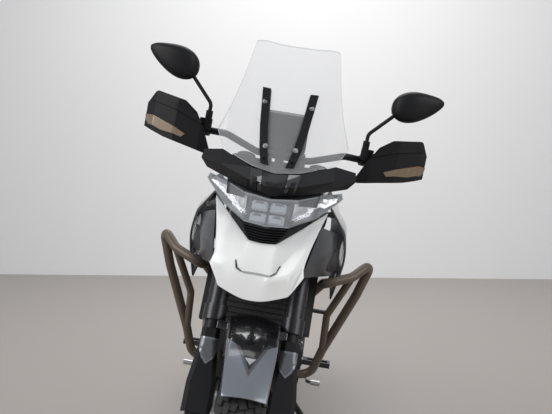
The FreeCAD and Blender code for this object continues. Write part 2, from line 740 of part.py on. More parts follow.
def corner_arc(before, corner, after, radius):
    """The start, middle and end of the arc that rounds a corner, or None if it is straight."""
    back = toward(corner, before)
    onward = toward(corner, after)
    half = back.getAngle(onward) / 2
    if math.cos(half) < math.sin(math.radians(1)):
        return None
    reach = BEND_SHARE * min((before - corner).Length, (after - corner).Length)
    trim = min(radius / math.tan(half), reach)
    radius = trim * math.tan(half)
    bisector = (back + onward).normalize()
    near = corner + bisector * (radius / math.sin(half) - radius)
    return corner + back * trim, near, corner + onward * trim


def rounded_wire(points, radius, closed=True):
    """A wire through the points, its corners rounded as far as their runs allow."""
    count = len(points)
    turns = range(count) if closed else range(1, count - 1)
    arcs = {}
    for index in turns:
        before = points[index - 1]
        after = points[(index + 1) % count]
        arc = corner_arc(before, points[index], after, radius) if radius else None
        arcs[index] = arc or (points[index], None, points[index])
    edges = []
    runs = range(count) if closed else range(count - 1)
    for index in runs:
        start = arcs[index] if index in arcs else (points[index], None, points[index])
        following = (index + 1) % count
        end = arcs[following] if following in arcs else (points[following], None, points[following])
        edges.append(Part.LineSegment(start[2], end[0]).toShape())
        if end[1] is not None:
            edges.append(Part.Arc(*end).toShape())
    return Part.Wire(edges)


def plate(points, axis, start, end, radius=0):
    """A flat outline as thick as from start to end, facing the axis."""
    face = Part.Face(rounded_wire(lay(points, axis, start), radius))
    step = {"x": V(end - start, 0, 0), "y": V(0, end - start, 0), "z": V(0, 0, end - start)}
    return face.extrude(step[axis])


def block(low, high):
    """A box between two corners."""
    size = high - low
    return Part.makeBox(size.x, size.y, size.z, low)


def rod(start, end, radius):
    return Part.makeCylinder(radius, (end - start).Length, start, end - start)


def ring(centre, axis, inner, outer, thickness):
    """A flat ring whose middle is at the centre."""
    foot = centre - axis * (thickness / 2)
    disc = Part.makeCylinder(outer, thickness, foot, axis)
    return disc.cut(Part.makeCylinder(inner, thickness + 2 * OVERRUN, foot - axis * OVERRUN, axis))


def tube(points, radius, bend):
    """A round bar along straight runs joined by bends."""
    path = rounded_wire(points, bend, closed=False)
    start = points[0]
    section = Part.Wire([Part.Circle(start, points[1] - start, radius).toShape()])
    return path.makePipeShell([section], True, False)


def spun(outline, centre):
    """An outline of places along X and radii, turned about the X axis through the centre."""
    face = Part.Face(rounded_wire([V(along, 0, out) for along, out in outline], 0))
    solid = face.revolve(MIDDLE, X_AXIS, 360)
    solid.translate(centre)
    return solid


def stepped(outline, centre, sides):
    """A closed outline of places along X and radii, turned about the X axis in flat steps."""
    rings = []
    for side in range(sides):
        turn = FreeCAD.Rotation(X_AXIS, 360 / sides * side)
        rings.append([centre + turn.multVec(V(along, 0, out)) for along, out in outline])
    faces = []
    for side in range(sides):
        near, far = rings[side - 1], rings[side]
        for place in range(len(outline)):
            corners = [near[place - 1], near[place], far[place], far[place - 1]]
            faces.append(Part.Face(Part.makePolygon(corners + corners[:1])))
    return closed(faces)


def mirrored(shape):
    return shape.mirror(MIDDLE, X_AXIS)


def both(shape):
    """A shape and its mirror image on the other side."""
    return [shape, mirrored(shape)]


def mirrored_point(point):
    return V(-point.x, point.y, point.z)


def fused(shapes):
    """Shapes joined into one, with the seams between their faces removed."""
    whole = shapes[0]
    for shape in shapes[1:]:
        whole = whole.fuse(shape)
    smooth = whole.copy().removeSplitter()
    return smooth if smooth.isValid() else whole


def side_of(shape, y, z):
    """How far a shape reaches to the left at a height and a place fore and aft."""
    line = Part.makeLine(V(0, y, z), V(WHEELBASE, y, z))
    return line.common(shape).BoundBox.XMax


def loop(points):
    """A smooth closed curve through the points."""
    curve = Part.BSplineCurve()
    curve.interpolate(Points=points, PeriodicFlag=True)
    return Part.Wire([curve.toShape()])


def smooth_body(sections):
    """A smooth solid through closed rings of points."""
    return Part.makeLoft([loop(points) for points in sections], True, False)


def whole_ring(half):
    """A ring of points from its half on the left, top to bottom, closed by mirroring."""
    return half + [mirrored_point(point) for point in reversed(half) if abs(point.x) > 0]


def normal_at(rows, row, column):
    up = rows[min(row + 1, len(rows) - 1)][column] - rows[max(row - 1, 0)][column]
    last = len(rows[row]) - 1
    across = rows[row][min(column + 1, last)] - rows[row][max(column - 1, 0)]
    return up.cross(across).normalize()


def triangle(a, b, c):
    return Part.Face(Part.makePolygon([a, b, c, a]))


def panel(rows, wall, inward):
    """A thin panel through a grid of points, with flat facets and its wall on one side."""
    side = 1 if normal_at(rows, len(rows) // 2, len(rows[0]) // 2).dot(inward) > 0 else -1
    count = len(rows[0])
    back = []
    for row in range(len(rows)):
        normals = [normal_at(rows, row, column) for column in range(count)]
        back.append([rows[row][c] + normals[c] * (side * wall) for c in range(count)])
    return closed(grid_faces(rows) + grid_faces(back) + rim_faces(rows, back))


def grid_faces(rows):
    """Two facets for each four neighbouring points of a grid."""
    faces = []
    for low, high in zip(rows, rows[1:]):
        for c in range(len(low) - 1):
            faces.append(triangle(low[c], low[c + 1], high[c + 1]))
            faces.append(triangle(low[c], high[c + 1], high[c]))
    return faces


def rim_faces(rows, others):
    """Facets that join the edges of two grids."""
    faces = []
    rim = edge_of(rows)
    other_rim = edge_of(others)
    for index, point in enumerate(rim):
        following = (index + 1) % len(rim)
        faces.append(triangle(point, rim[following], other_rim[following]))
        faces.append(triangle(point, other_rim[following], other_rim[index]))
    return faces


def edge_of(rows):
    """The points round the edge of a grid, in order."""
    right = [row[-1] for row in rows[1:-1]]
    left = [row[0] for row in reversed(rows[1:-1])]
    return rows[0] + right + list(reversed(rows[-1])) + left


def closed(faces):
    """Faces sewn into one solid that faces outward."""
    skin = Part.makeCompound(faces)
    skin.sewShape()
    solid = Part.Solid(skin.Shells[0])
    if solid.Volume < 0:
        solid.reverse()
    return solid


# Wheels

def tyre(radius, width, rim_radius, rim_width, centre):
    """A hollow ring with a flat middle band and sloping shoulders."""
    half = width / 2
    side = radius - rim_radius
    bead = rim_width / 2 - RIM_LIP_WALL - SEAT_GAP
    foot = (rim_radius + SEAT_GAP) / math.cos(math.pi / TYRE_SIDES)
    inside = sized(TYRE_INNER_SHARES, half - TYRE_WALL, side - TYRE_TREAD_WALL, (0, rim_radius))
    outside = [(bead - TYRE_WALL, foot), (bead, foot), (bead, foot + RIM_LIP)]
    outside += sized(TYRE_OUTER_SHARES, half, side, (0, rim_radius))
    ring_half = inside + outside
    other_half = [(-along, out) for along, out in reversed(ring_half)]
    return stepped(ring_half + other_half, centre, TYRE_SIDES)


def rim_section(radius, width):
    """Half of the rim's outline, from its well to its lip and back under the wall."""
    half = width / 2
    well = half * RIM_WELL_SHARE
    lip = half - RIM_LIP_WALL
    return [(0, radius - RIM_WELL_DEPTH), (well, radius - RIM_WELL_DEPTH),
            (well + RIM_WELL_DEPTH / 2, radius), (lip, radius), (lip, radius + RIM_LIP),
            (half, radius + RIM_LIP), (half, radius - RIM_LIP),
            (well + RIM_WELL_DEPTH, radius - RIM_WALL),
            (well, radius - RIM_WALL - RIM_WELL_DEPTH), (0, radius - RIM_WALL - RIM_WELL_DEPTH)]


def spokes(radius, hub_radius, width):
    """Pairs of spokes that spread from the hub to the rim."""
    root = hub_radius * math.cos(math.radians(SPOKE_SPREAD))
    reach = radius - RIM_WALL - RIM_WELL_DEPTH / 2
    half_depth = SPOKE_DEPTH / 2
    shapes = []
    for pair in range(SPOKE_PAIRS):
        for side in (-1, 1):
            foot = side * width * SPOKE_ROOT_SHARE
            outline = [(foot - width / 2, 0), (foot + width / 2, 0),
                       (foot + width / 3, reach - root), (foot - width / 3, reach - root)]
            arm = plate(outline, "x", -half_depth, half_depth)
            arm.translate(V(0, 0, root))
            arm.rotate(V(0, 0, root), X_AXIS, -side * SPOKE_SPREAD)
            arm.rotate(MIDDLE, X_AXIS, 360 * pair / SPOKE_PAIRS)
            shapes.append(arm)
    return shapes


def cast_wheel(radius, width, hub_radius, spoke_width, left, right, bore, centre):
    """Rim, spokes and hub in one casting, the hub reaching left and right of the middle."""
    half = rim_section(radius, width)
    other = [(-along, out) for along, out in reversed(half) if along > 0]
    rim = spun(half + other, MIDDLE)
    hub = rod(V(-right, 0, 0), V(left, 0, 0), hub_radius)
    inside = Part.makeCylinder(radius, width, V(-width / 2, 0, 0), X_AXIS)
    arms = [arm.common(inside) for arm in spokes(radius, hub_radius, spoke_width)]
    wheel = fused([rim, hub] + arms)
    wheel = wheel.cut(rod(V(-right - OVERRUN, 0, 0), V(left + OVERRUN, 0, 0), bore))
    wheel.translate(centre)
    return wheel


def brake_disc(radius, place, centre):
    """Swept ring and mounting ring, joined by arms."""
    middle = V(place, 0, 0)
    swept = ring(middle, X_AXIS, radius - DISC_BAND, radius, DISC_THICKNESS)
    mount = ring(middle, X_AXIS, DISC_HUB_BORE, DISC_HUB_RADIUS, DISC_THICKNESS)
    reach = radius - DISC_BAND / 2
    outline = [(-DISC_ARM_WIDTH / 2, DISC_HUB_RADIUS - DISC_ARM_WIDTH / 2),
               (DISC_ARM_WIDTH / 2, DISC_HUB_RADIUS - DISC_ARM_WIDTH / 2),
               (DISC_ARM_WIDTH, reach), (0, reach)]
    arms = []
    for index in range(DISC_ARMS):
        arm = plate(outline, "x", place - DISC_THICKNESS / 2, place + DISC_THICKNESS / 2)
        arm.rotate(MIDDLE, X_AXIS, 360 * index / DISC_ARMS)
        arms.append(arm)
    disc = fused([swept, mount] + arms)
    disc.translate(centre)
    return disc


def toothed(radius, teeth, tooth):
    """A sprocket's outline, as points round the X axis."""
    points = []
    for index in range(teeth):
        for turn, out in ((-0.28, radius - tooth), (-0.12, radius), (0.12, radius),
                          (0.28, radius - tooth)):
            angle = 2 * math.pi * (index + turn) / teeth
            points.append((out * math.cos(angle), out * math.sin(angle)))
    return points


def sprocket(radius, teeth, bore, centre):
    low = CHAIN_PLACE - SPROCKET_THICKNESS / 2
    high = CHAIN_PLACE + SPROCKET_THICKNESS / 2
    solid = plate(toothed(radius, teeth, SPROCKET_TOOTH), "x", low, high)
    if bore:
        solid = solid.cut(rod(V(low - OVERRUN, 0, 0), V(high + OVERRUN, 0, 0), bore))
    solid.translate(centre)
    return solid


def front_wheel():
    half_hub = FRONT_DISC_PLACE - DISC_THICKNESS / 2 - SEAT_GAP
    discs = both(brake_disc(FRONT_DISC_RADIUS, FRONT_DISC_PLACE, FRONT_AXLE))
    return {
        "front_tyre": [tyre(FRONT_TYRE_RADIUS, FRONT_TYRE_WIDTH, FRONT_RIM_RADIUS,
                            FRONT_RIM_WIDTH, FRONT_AXLE)],
        "front_rim": [cast_wheel(FRONT_RIM_RADIUS, FRONT_RIM_WIDTH, FRONT_HUB_RADIUS,
                                 FRONT_SPOKE_WIDTH, half_hub, half_hub,
                                 FRONT_AXLE_RADIUS + SEAT_GAP, FRONT_AXLE)],
        "front_discs": discs}


# Front fork

def fork_lower():
    """Left slider, with its axle boss and the lug that carries the caliper."""
    middle = V(FORK_SPACING, 0, 0)
    foot = V(FORK_SPACING, 0, -CASTING_FOOT)
    casting = rod(foot, V(FORK_SPACING, 0, CASTING_TOP), CASTING_RADIUS)
    slider = rod(middle, V(FORK_SPACING, 0, SLIDER_TOP), SLIDER_RADIUS)
    boss = rod(V(FORK_SPACING - CASTING_RADIUS - AXLE_BOSS_HALF / 2, 0, 0),
               V(FORK_SPACING + CASTING_RADIUS, 0, 0), AXLE_BOSS_RADIUS)
    caliper_side = FRONT_DISC_PLACE + CALIPER_OUTSIDE + SEAT_GAP
    lug = block(V(caliper_side, 0, CALIPER_PLACE - CALIPER_LUG_HEIGHT / 2),
                V(caliper_side + CALIPER_LUG_THICKNESS, CALIPER_BACK,
                  CALIPER_PLACE + CALIPER_LUG_HEIGHT / 2))
    pins = []
    for index in (0, 1):
        up = GUARD_BOSS_PLACE + index * GUARD_BOSS_SPACING
        front = -GUARD_STANDOFF + SEAT_GAP
        pins.append(rod(V(FORK_SPACING, 0, up), V(FORK_SPACING, front, up), GUARD_BOSS_RADIUS))
    solid = fused([casting, slider, boss, lug] + pins)
    bore = rod(MIDDLE, V(FORK_SPACING * 2, 0, 0), FRONT_AXLE_RADIUS + SEAT_GAP)
    return to_fork(solid.cut(bore))


def front_axle():
    end = FORK_SPACING + CASTING_RADIUS + SEAT_GAP
    pin = rod(V(-end, 0, 0), V(end, 0, 0), FRONT_AXLE_RADIUS)
    caps = [rod(V(side * end, 0, 0), V(side * (end + AXLE_CAP_LENGTH), 0, 0), AXLE_CAP_RADIUS)
            for side in (-1, 1)]
    return to_fork(fused([pin] + caps))


def fork_tube():
    """Left outer tube, slim below, with a thicker collar at its lower end."""
    bottom = V(FORK_SPACING, 0, TUBE_BOTTOM)
    body = rod(bottom, V(FORK_SPACING, 0, TUBE_TOP), TUBE_RADIUS)
    collar = rod(bottom, bottom + V(0, 0, TUBE_COLLAR_HEIGHT), TUBE_COLLAR_RADIUS)
    bore = rod(bottom - V(0, 0, OVERRUN), V(FORK_SPACING, 0, SLIDER_TOP + SEAT_GAP),
               SLIDER_RADIUS + SEAT_GAP)
    return to_fork(body.fuse(collar).removeSplitter().cut(bore))


def yoke(bottom, height):
    """A plate round both legs, narrow between them."""
    half = FORK_SPACING + TUBE_RADIUS + YOKE_WALL
    depth = TUBE_RADIUS + YOKE_WALL
    waist = depth * YOKE_WAIST_SHARE
    rear = FORK_OFFSET + STEM_NUT_RADIUS + YOKE_WALL
    outline = [(-half, -depth), (-FORK_SPACING / 2, -waist), (FORK_SPACING / 2, -waist),
               (half, -depth), (half, depth), (FORK_SPACING / 2, rear),
               (-FORK_SPACING / 2, rear), (-half, depth)]
    solid = plate(outline, "z", bottom, bottom + height, depth / 2)
    for side in (-1, 1):
        bore = Part.makeCylinder(TUBE_RADIUS + SEAT_GAP, height + 2 * OVERRUN,
                                 V(side * FORK_SPACING, 0, bottom - OVERRUN))
        solid = solid.cut(bore)
    return solid


def yokes():
    """Lower yoke with its stem, and upper yoke with the handlebar's risers."""
    stem_foot = V(0, FORK_OFFSET, LOWER_YOKE)
    stem_top = V(0, FORK_OFFSET, UPPER_YOKE + UPPER_YOKE_HEIGHT)
    stem = rod(stem_foot, stem_top, STEM_RADIUS)
    nut = rod(stem_top + V(0, 0, SEAT_GAP), stem_top + V(0, 0, STEM_NUT_HEIGHT), STEM_NUT_RADIUS)
    lower = fused([yoke(LOWER_YOKE, LOWER_YOKE_HEIGHT), stem, rod(stem_foot, stem_top +
                   V(0, 0, STEM_NUT_HEIGHT / 2), STEM_RADIUS), nut])
    upper = yoke(UPPER_YOKE, UPPER_YOKE_HEIGHT)
    upper = upper.cut(rod(stem_foot, stem_top + V(0, 0, OVERRUN), STEM_RADIUS + SEAT_GAP))
    posts = []
    for side in (-1, 1):
        foot = V(side * RISER_PLACE, FORK_OFFSET, UPPER_YOKE + UPPER_YOKE_HEIGHT / 2)
        posts.append(rod(foot, V(foot.x, foot.y, BAR_UP), RISER_RADIUS))
        inner = V(foot.x - BAR_CLAMP_WIDTH / 2, FORK_OFFSET, BAR_UP)
        posts.append(rod(inner, inner + V(BAR_CLAMP_WIDTH, 0, 0), BAR_CLAMP_RADIUS))
    upper = fused([upper] + posts)
    bore = rod(V(-FORK_SPACING, FORK_OFFSET, BAR_UP), V(FORK_SPACING, FORK_OFFSET, BAR_UP),
               BAR_RADIUS + SEAT_GAP)
    return [to_fork(lower), to_fork(upper.cut(bore))]


def fork_guard():
    """Bent sheet ahead of the left leg, narrow above and wide below."""
    rows = []
    for up, half in ((GUARD_BOTTOM, GUARD_LOW_HALF), (GUARD_BOTTOM + GUARD_LOW_HALF * 2,
                      GUARD_LOW_HALF), (GUARD_TOP - GUARD_LOW_HALF, GUARD_TOP_HALF),
                     (GUARD_TOP, GUARD_TOP_HALF)):
        bevel = half - GUARD_BEVEL
        front = -GUARD_STANDOFF - GUARD_WALL
        rows.append([V(FORK_SPACING - half, front + GUARD_RETURN, up),
                     V(FORK_SPACING - half, front + GUARD_BEVEL, up),
                     V(FORK_SPACING - bevel, front, up), V(FORK_SPACING + bevel, front, up),
                     V(FORK_SPACING + half, front + GUARD_BEVEL, up),
                     V(FORK_SPACING + half, front + GUARD_RETURN, up)])
    sheet = panel(rows, GUARD_WALL, Y_AXIS)
    return to_fork(sheet)


def front_caliper():
    """Left caliper: a block that straddles the disc, open where the disc runs."""
    low = V(FRONT_DISC_PLACE - CALIPER_INSIDE, CALIPER_BACK - CALIPER_DEPTH / 2,
            CALIPER_PLACE - CALIPER_LENGTH / 2)
    outline = [(low.y, low.z), (low.y + CALIPER_DEPTH, low.z),
               (low.y + CALIPER_DEPTH, low.z + CALIPER_LENGTH), (low.y, low.z + CALIPER_LENGTH)]
    body = plate(outline, "x", low.x, FRONT_DISC_PLACE + CALIPER_OUTSIDE, CALIPER_ROUND)
    slot = DISC_THICKNESS + 2 * RUNNING_GAP
    body = body.cut(Part.makeCylinder(FRONT_DISC_RADIUS + RUNNING_GAP, slot,
                                      V(FRONT_DISC_PLACE - slot / 2, 0, 0), X_AXIS))
    return to_fork(body)


def front_fender():
    """Creased sheet that follows the tyre, with lugs to the sliders."""
    outer = FRONT_TYRE_RADIUS + FENDER_GAP + FENDER_WALL
    rows = []
    for step in range(FENDER_STEPS):
        share = step / (FENDER_STEPS - 1)
        angle = FENDER_FRONT_ANGLE + (FENDER_REAR_ANGLE - FENDER_FRONT_ANGLE) * share
        grown = min(1, share * 3)
        half = FENDER_HALF * (FENDER_TIP_HALF_SHARE + (1 - FENDER_TIP_HALF_SHARE) * grown)
        drop = FENDER_DROP * (FENDER_TIP_DROP_SHARE + (1 - FENDER_TIP_DROP_SHARE) * grown)
        crease = FENDER_CREASE * half / FENDER_HALF
        side = outer - FENDER_CROWN * 2
        section = [(-half, side - drop), (-half, side), (-crease, outer - FENDER_CROWN / 2),
                   (0, outer), (crease, outer - FENDER_CROWN / 2), (half, side),
                   (half, side - drop)]
        turn = math.radians(angle)
        rows.append([FRONT_AXLE + V(x, -r * math.cos(turn), r * math.sin(turn))
                     for x, r in section])
    sheet = panel(rows, FENDER_WALL, FRONT_AXLE - rows[FENDER_STEPS // 2][3])
    lug = block(V(FENDER_HALF - FENDER_WALL / 2, -FENDER_LUG_DEPTH / 2,
                  FENDER_LUG_LOW), V(FORK_SPACING - SLIDER_RADIUS / 2, FENDER_LUG_DEPTH / 2,
                  FENDER_LUG_LOW + FENDER_LUG_HEIGHT))
    lug = to_fork(lug.cut(rod(V(FORK_SPACING, 0, 0), V(FORK_SPACING, 0, TUBE_TOP),
                              SLIDER_RADIUS + SEAT_GAP)))
    return fused([sheet] + both(lug))


# Handlebar and what it carries

def bar_point(across, back, up):
    """A point given from the middle of the handlebar's clamp, level and upright."""
    return on_fork(0, FORK_OFFSET, BAR_UP) + V(across, back, up)


def bar_route():
    left = [bar_point(BAR_RISE_PLACE, 0, 0), bar_point(BAR_TOP_PLACE, BAR_BACK, BAR_RISE),
            bar_point(BAR_HALF, BAR_END_BACK, BAR_RISE - BAR_END_DROP)]
    return [mirrored_point(point) for point in reversed(left)] + left


def along_bar(place):
    """The point of the bar's straight outer stretch at a distance from the middle."""
    start = bar_point(BAR_TOP_PLACE, BAR_BACK, BAR_RISE)
    end = bar_point(BAR_HALF, BAR_END_BACK, BAR_RISE - BAR_END_DROP)
    return start + (end - start) * ((place - start.x) / (end.x - start.x))


def bar_axis():
    return toward(along_bar(BAR_TOP_PLACE), along_bar(BAR_HALF))


def handlebar():
    return tube(bar_route(), BAR_RADIUS, BAR_BEND_RADIUS)


def grip():
    start = along_bar(GRIP_START)
    axis = bar_axis()
    body = rod(start, start + axis * GRIP_LENGTH, GRIP_RADIUS)
    flange = rod(start, start + axis * GRIP_FLANGE, GRIP_FLANGE_RADIUS)
    bore = rod(start - axis * OVERRUN, start + axis * (GRIP_LENGTH + OVERRUN),
               BAR_RADIUS + SEAT_GAP)
    return body.fuse(flange).removeSplitter().cut(bore)


def hand_control():
    """Left switch housing, lever perch with its reservoir, and lever, in one piece."""
    axis = bar_axis()
    end = along_bar(GRIP_START) - axis * SEAT_GAP
    start = end - axis * SWITCH_LENGTH
    housing = rod(start, end, SWITCH_RADIUS)
    pod = block(V(start.x, start.y - SWITCH_DEEP, start.z - SWITCH_TALL / 2),
                V(end.x, start.y + SWITCH_DEEP / 4, start.z + SWITCH_TALL / 2))
    pod = pod.makeFillet(SWITCH_DEEP / 5, pod.Edges)
    perch_start = start - axis * PERCH_LENGTH
    perch = rod(perch_start, start, PERCH_RADIUS)
    pivot = perch_start + V(PERCH_LENGTH / 2, -PERCH_REACH, 0)
    arm = block(V(perch_start.x, pivot.y - LEVER_WIDTH, pivot.z - PERCH_RADIUS / 2),
                V(start.x, perch_start.y, pivot.z + PERCH_RADIUS / 2))
    lever_end = pivot + V(LEVER_LENGTH, PERCH_REACH - LEVER_REACH + BAR_BACK, -BAR_END_DROP)
    lever_mid = pivot + (lever_end - pivot) * 0.4 + V(0, -LEVER_WIDTH, 0)
    lever = tube([pivot, lever_mid, lever_end], LEVER_THICKNESS / 2, LEVER_REACH)
    ball = Part.makeSphere(LEVER_BALL, lever_end)
    pot_foot = V(perch_start.x + PERCH_LENGTH / 2, pivot.y - OVERRUN, pivot.z)
    pot = rod(pot_foot, pot_foot + V(0, 0, RESERVOIR_HEIGHT), RESERVOIR_RADIUS)
    solid = fused([housing, pod, perch, arm, lever, ball, pot])
    bore = rod(perch_start - axis * PERCH_RADIUS, end + axis * OVERRUN, BAR_RADIUS + SEAT_GAP)
    return solid.cut(bore)


def hand_guard_origin():
    return bar_point(HAND_GUARD_INNER, -HAND_GUARD_AHEAD, -HAND_GUARD_LOW)


def hand_guard():
    """Left guard, wrapped back to the bar's end and braced to the bar inside."""
    corner = hand_guard_origin()
    high = corner.z + 2 * HAND_GUARD_HEIGHT
    outline = sized(HAND_GUARD_FRONT_SHARES, HAND_GUARD_LENGTH, HAND_GUARD_HEIGHT,
                    (corner.x, corner.z))
    front = plate(outline, "y", corner.y - HAND_GUARD_SWEEP, corner.y + 2 * HAND_GUARD_SWEEP,
                  HAND_GUARD_ROUND)
    side = plate(sized(HAND_GUARD_SIDE_SHARES, HAND_GUARD_SWEEP, HAND_GUARD_HEIGHT,
                       (corner.y, corner.z)), "x", 0, BAR_HALF * 2, HAND_GUARD_ROUND)
    strip = band(sized(HAND_GUARD_PLAN_SHARES, HAND_GUARD_LENGTH, HAND_GUARD_SWEEP,
                       (corner.x, corner.y)), HAND_GUARD_WALL)
    sheet = plate(strip, "z", corner.z - HAND_GUARD_HEIGHT, high)
    shell = sheet.common(front).common(side)
    tip = along_bar(BAR_HALF) + bar_axis() * SEAT_GAP
    outer = rod(tip, tip + bar_axis() * HAND_GUARD_ARM_THICKNESS, HAND_GUARD_ARM_WIDTH / 2)
    return fused([shell, outer])


def band(points, wall):
    """A thin closed strip: the points, and the same points moved inward by the wall."""
    moved = []
    for index, (a, b) in enumerate(points):
        before = points[max(index - 1, 0)]
        after = points[min(index + 1, len(points) - 1)]
        run = math.hypot(after[0] - before[0], after[1] - before[1])
        moved.append((a - wall * (after[1] - before[1]) / run,
                      b + wall * (after[0] - before[0]) / run))
    return points + list(reversed(moved))


def mirror_stem_top():
    base = along_bar(MIRROR_BASE_PLACE)
    return base + V(MIRROR_STEM_SIDE, MIRROR_STEM_BACK,
                    MIRROR_BASE_HEIGHT + MIRROR_STEM_KICK + MIRROR_STEM_LIFT)


def mirror_housing():
    """Left housing: a smooth pod, pointed outboard, and flat behind."""
    top = mirror_stem_top()
    inner = V(top.x - MIRROR_INNER, top.y, top.z - MIRROR_HEIGHT * 0.4)
    sections = []
    for (along, low, high), bulge in zip(MIRROR_SHARES, MIRROR_BULGE_SHARES):
        x = inner.x + along * MIRROR_LENGTH
        bottom = inner.z + low * MIRROR_HEIGHT
        ceiling = inner.z + high * MIRROR_HEIGHT
        middle = (bottom + ceiling) / 2
        front = inner.y - bulge * MIRROR_DEPTH
        sections.append([V(x, inner.y, bottom), V(x, front + bulge * MIRROR_DEPTH / 3, bottom),
                         V(x, front, middle), V(x, front + bulge * MIRROR_DEPTH / 3, ceiling),
                         V(x, inner.y, ceiling), V(x, inner.y + MIRROR_RIM, middle)])
    return smooth_body(sections)


def mirror_arm():
    """Left stem: an upright boss on the bar and a bent rod up to the housing."""
    base = along_bar(MIRROR_BASE_PLACE)
    boss = rod(base, base + V(0, 0, MIRROR_BASE_HEIGHT), MIRROR_BASE_RADIUS)
    boss = boss.cut(rod(along_bar(BAR_TOP_PLACE), along_bar(BAR_HALF), PERCH_RADIUS + SEAT_GAP))
    kick = base + V(0, 0, MIRROR_BASE_HEIGHT + MIRROR_STEM_KICK)
    route = [base + V(0, 0, MIRROR_BASE_HEIGHT - MIRROR_STEM_RADIUS), kick, mirror_stem_top()]
    return fused([boss, tube(route, MIRROR_STEM_RADIUS, MIRROR_STEM_BEND)])


def steering_pieces():
    guard = hand_guard()
    arm = mirror_arm()
    housing = mirror_housing()
    return {
        "yokes": yokes(),
        "fork_tubes": both(fork_tube()),
        "fork_lowers": both(fork_lower()),
        "front_axle": [front_axle()],
        "fork_guards": both(fork_guard()),
        "front_calipers": both(front_caliper()),
        "front_fender": [front_fender()],
        "handlebar": [handlebar()],
        "grips": both(grip()),
        "hand_controls": both(hand_control()),
        "hand_guards": both(guard),
        "mirrors": both(fused([arm, housing]))}


# Frame

def head_point(across, share):
    """A point just behind the steering head's middle line, at a share of its height."""
    low = LOWER_YOKE + LOWER_YOKE_HEIGHT
    return on_fork(across, FORK_OFFSET + HEAD_RADIUS / 2, low + (UPPER_YOKE - low) * share)


def spar_route():
    plate_top = V(PIVOT_PLATE + PIVOT_PLATE_THICKNESS / 2, PIVOT_Y,
                  PIVOT_Z - PIVOT_PLATE_LOW + PIVOT_PLATE_HEIGHT - SPAR_RADIUS)
    return [head_point(HEAD_RADIUS / 2, SPAR_HEAD_SHARE),
            V(SPAR_HALF, SPAR_SHOULDER, SPAR_SHOULDER_HEIGHT),
            V(SPAR_HALF, SPAR_KNEE, SPAR_KNEE_HEIGHT), plate_top]


def along_spar(y):
    """The left spar's middle at a place fore and aft, on its two rear runs."""
    route = spar_route()[1:]
    start, end = (route[0], route[1]) if y < SPAR_KNEE else (route[1], route[2])
    return start + (end - start) * ((y - start.y) / (end.y - start.y))


def down_route():
    return [head_point(HEAD_RADIUS / 2, DOWN_HEAD_SHARE),
            V(DOWN_HALF, DOWN_SHOULDER, DOWN_SHOULDER_HEIGHT),
            V(DOWN_HALF, DOWN_FOOT, DOWN_FOOT_HEIGHT)]


def stand_axis():
    return V(1, STAND_AXIS_BACK, STAND_AXIS_UP).normalize()


def stand_pivot():
    return V(STAND_PIVOT_HALF, STAND_PIVOT_Y, STAND_PIVOT_Z)


def shock_top():
    return V(0, SHOCK_TOP_Y, along_spar(SHOCK_TOP_Y).z)


def main_frame():
    """Steering head, spars, down tubes, pivot plates and the stay for the fairing."""
    low = LOWER_YOKE + LOWER_YOKE_HEIGHT + HEAD_END_GAP
    high = UPPER_YOKE - HEAD_END_GAP
    head = rod(on_fork(0, FORK_OFFSET, low), on_fork(0, FORK_OFFSET, high), HEAD_RADIUS)
    parts = [head]
    outline = sized(PIVOT_PLATE_SHARES, PIVOT_PLATE_LENGTH, PIVOT_PLATE_HEIGHT,
                    (PIVOT_Y - PIVOT_PLATE_FRONT, PIVOT_Z - PIVOT_PLATE_LOW))
    side_plate = plate(outline, "x", PIVOT_PLATE, PIVOT_PLATE + PIVOT_PLATE_THICKNESS,
                       PIVOT_PLATE_ROUND)
    foot = down_route()[2]
    boss = rod(V(DOWN_HALF - DOWN_RADIUS, foot.y, foot.z),
               V(DOWN_HALF + DOWN_RADIUS, foot.y, foot.z), DOWN_RADIUS + OVERRUN)
    brace = rod(down_route()[1], along_spar(SPAR_SHOULDER), BRACE_RADIUS)
    for shape in (tube(spar_route(), SPAR_RADIUS, SPAR_BEND),
                  tube(down_route(), DOWN_RADIUS, SPAR_BEND), side_plate, boss, brace):
        parts += both(shape)
    reach = PIVOT_PLATE + PIVOT_PLATE_THICKNESS / 2
    crosses = [(PIVOT_Y + LOWER_CROSS_BACK, PIVOT_Z - LOWER_CROSS_DOWN, CROSS_RADIUS),
               (PIVOT_Y, PIVOT_Z, PIVOT_RADIUS)]
    for y, z, radius in crosses:
        parts.append(rod(V(-reach, y, z), V(reach, y, z), radius))
    top = shock_top()
    parts.append(rod(V(-SPAR_HALF, top.y, top.z), V(SPAR_HALF, top.y, top.z), CROSS_RADIUS))
    parts += nose_stays()
    parts += stand_mount()
    frame = fused(parts)
    stem_low = on_fork(0, FORK_OFFSET, low - OVERRUN)
    return frame.cut(rod(stem_low, on_fork(0, FORK_OFFSET, high + OVERRUN),
                         STEM_RADIUS + HEAD_WALL_GAP))


def nose_end(across):
    start = on_fork(across, FORK_OFFSET, (LOWER_YOKE + LOWER_YOKE_HEIGHT + UPPER_YOKE) / 2)
    return start + V(0, -NOSE_UPRIGHT_AHEAD, 0)


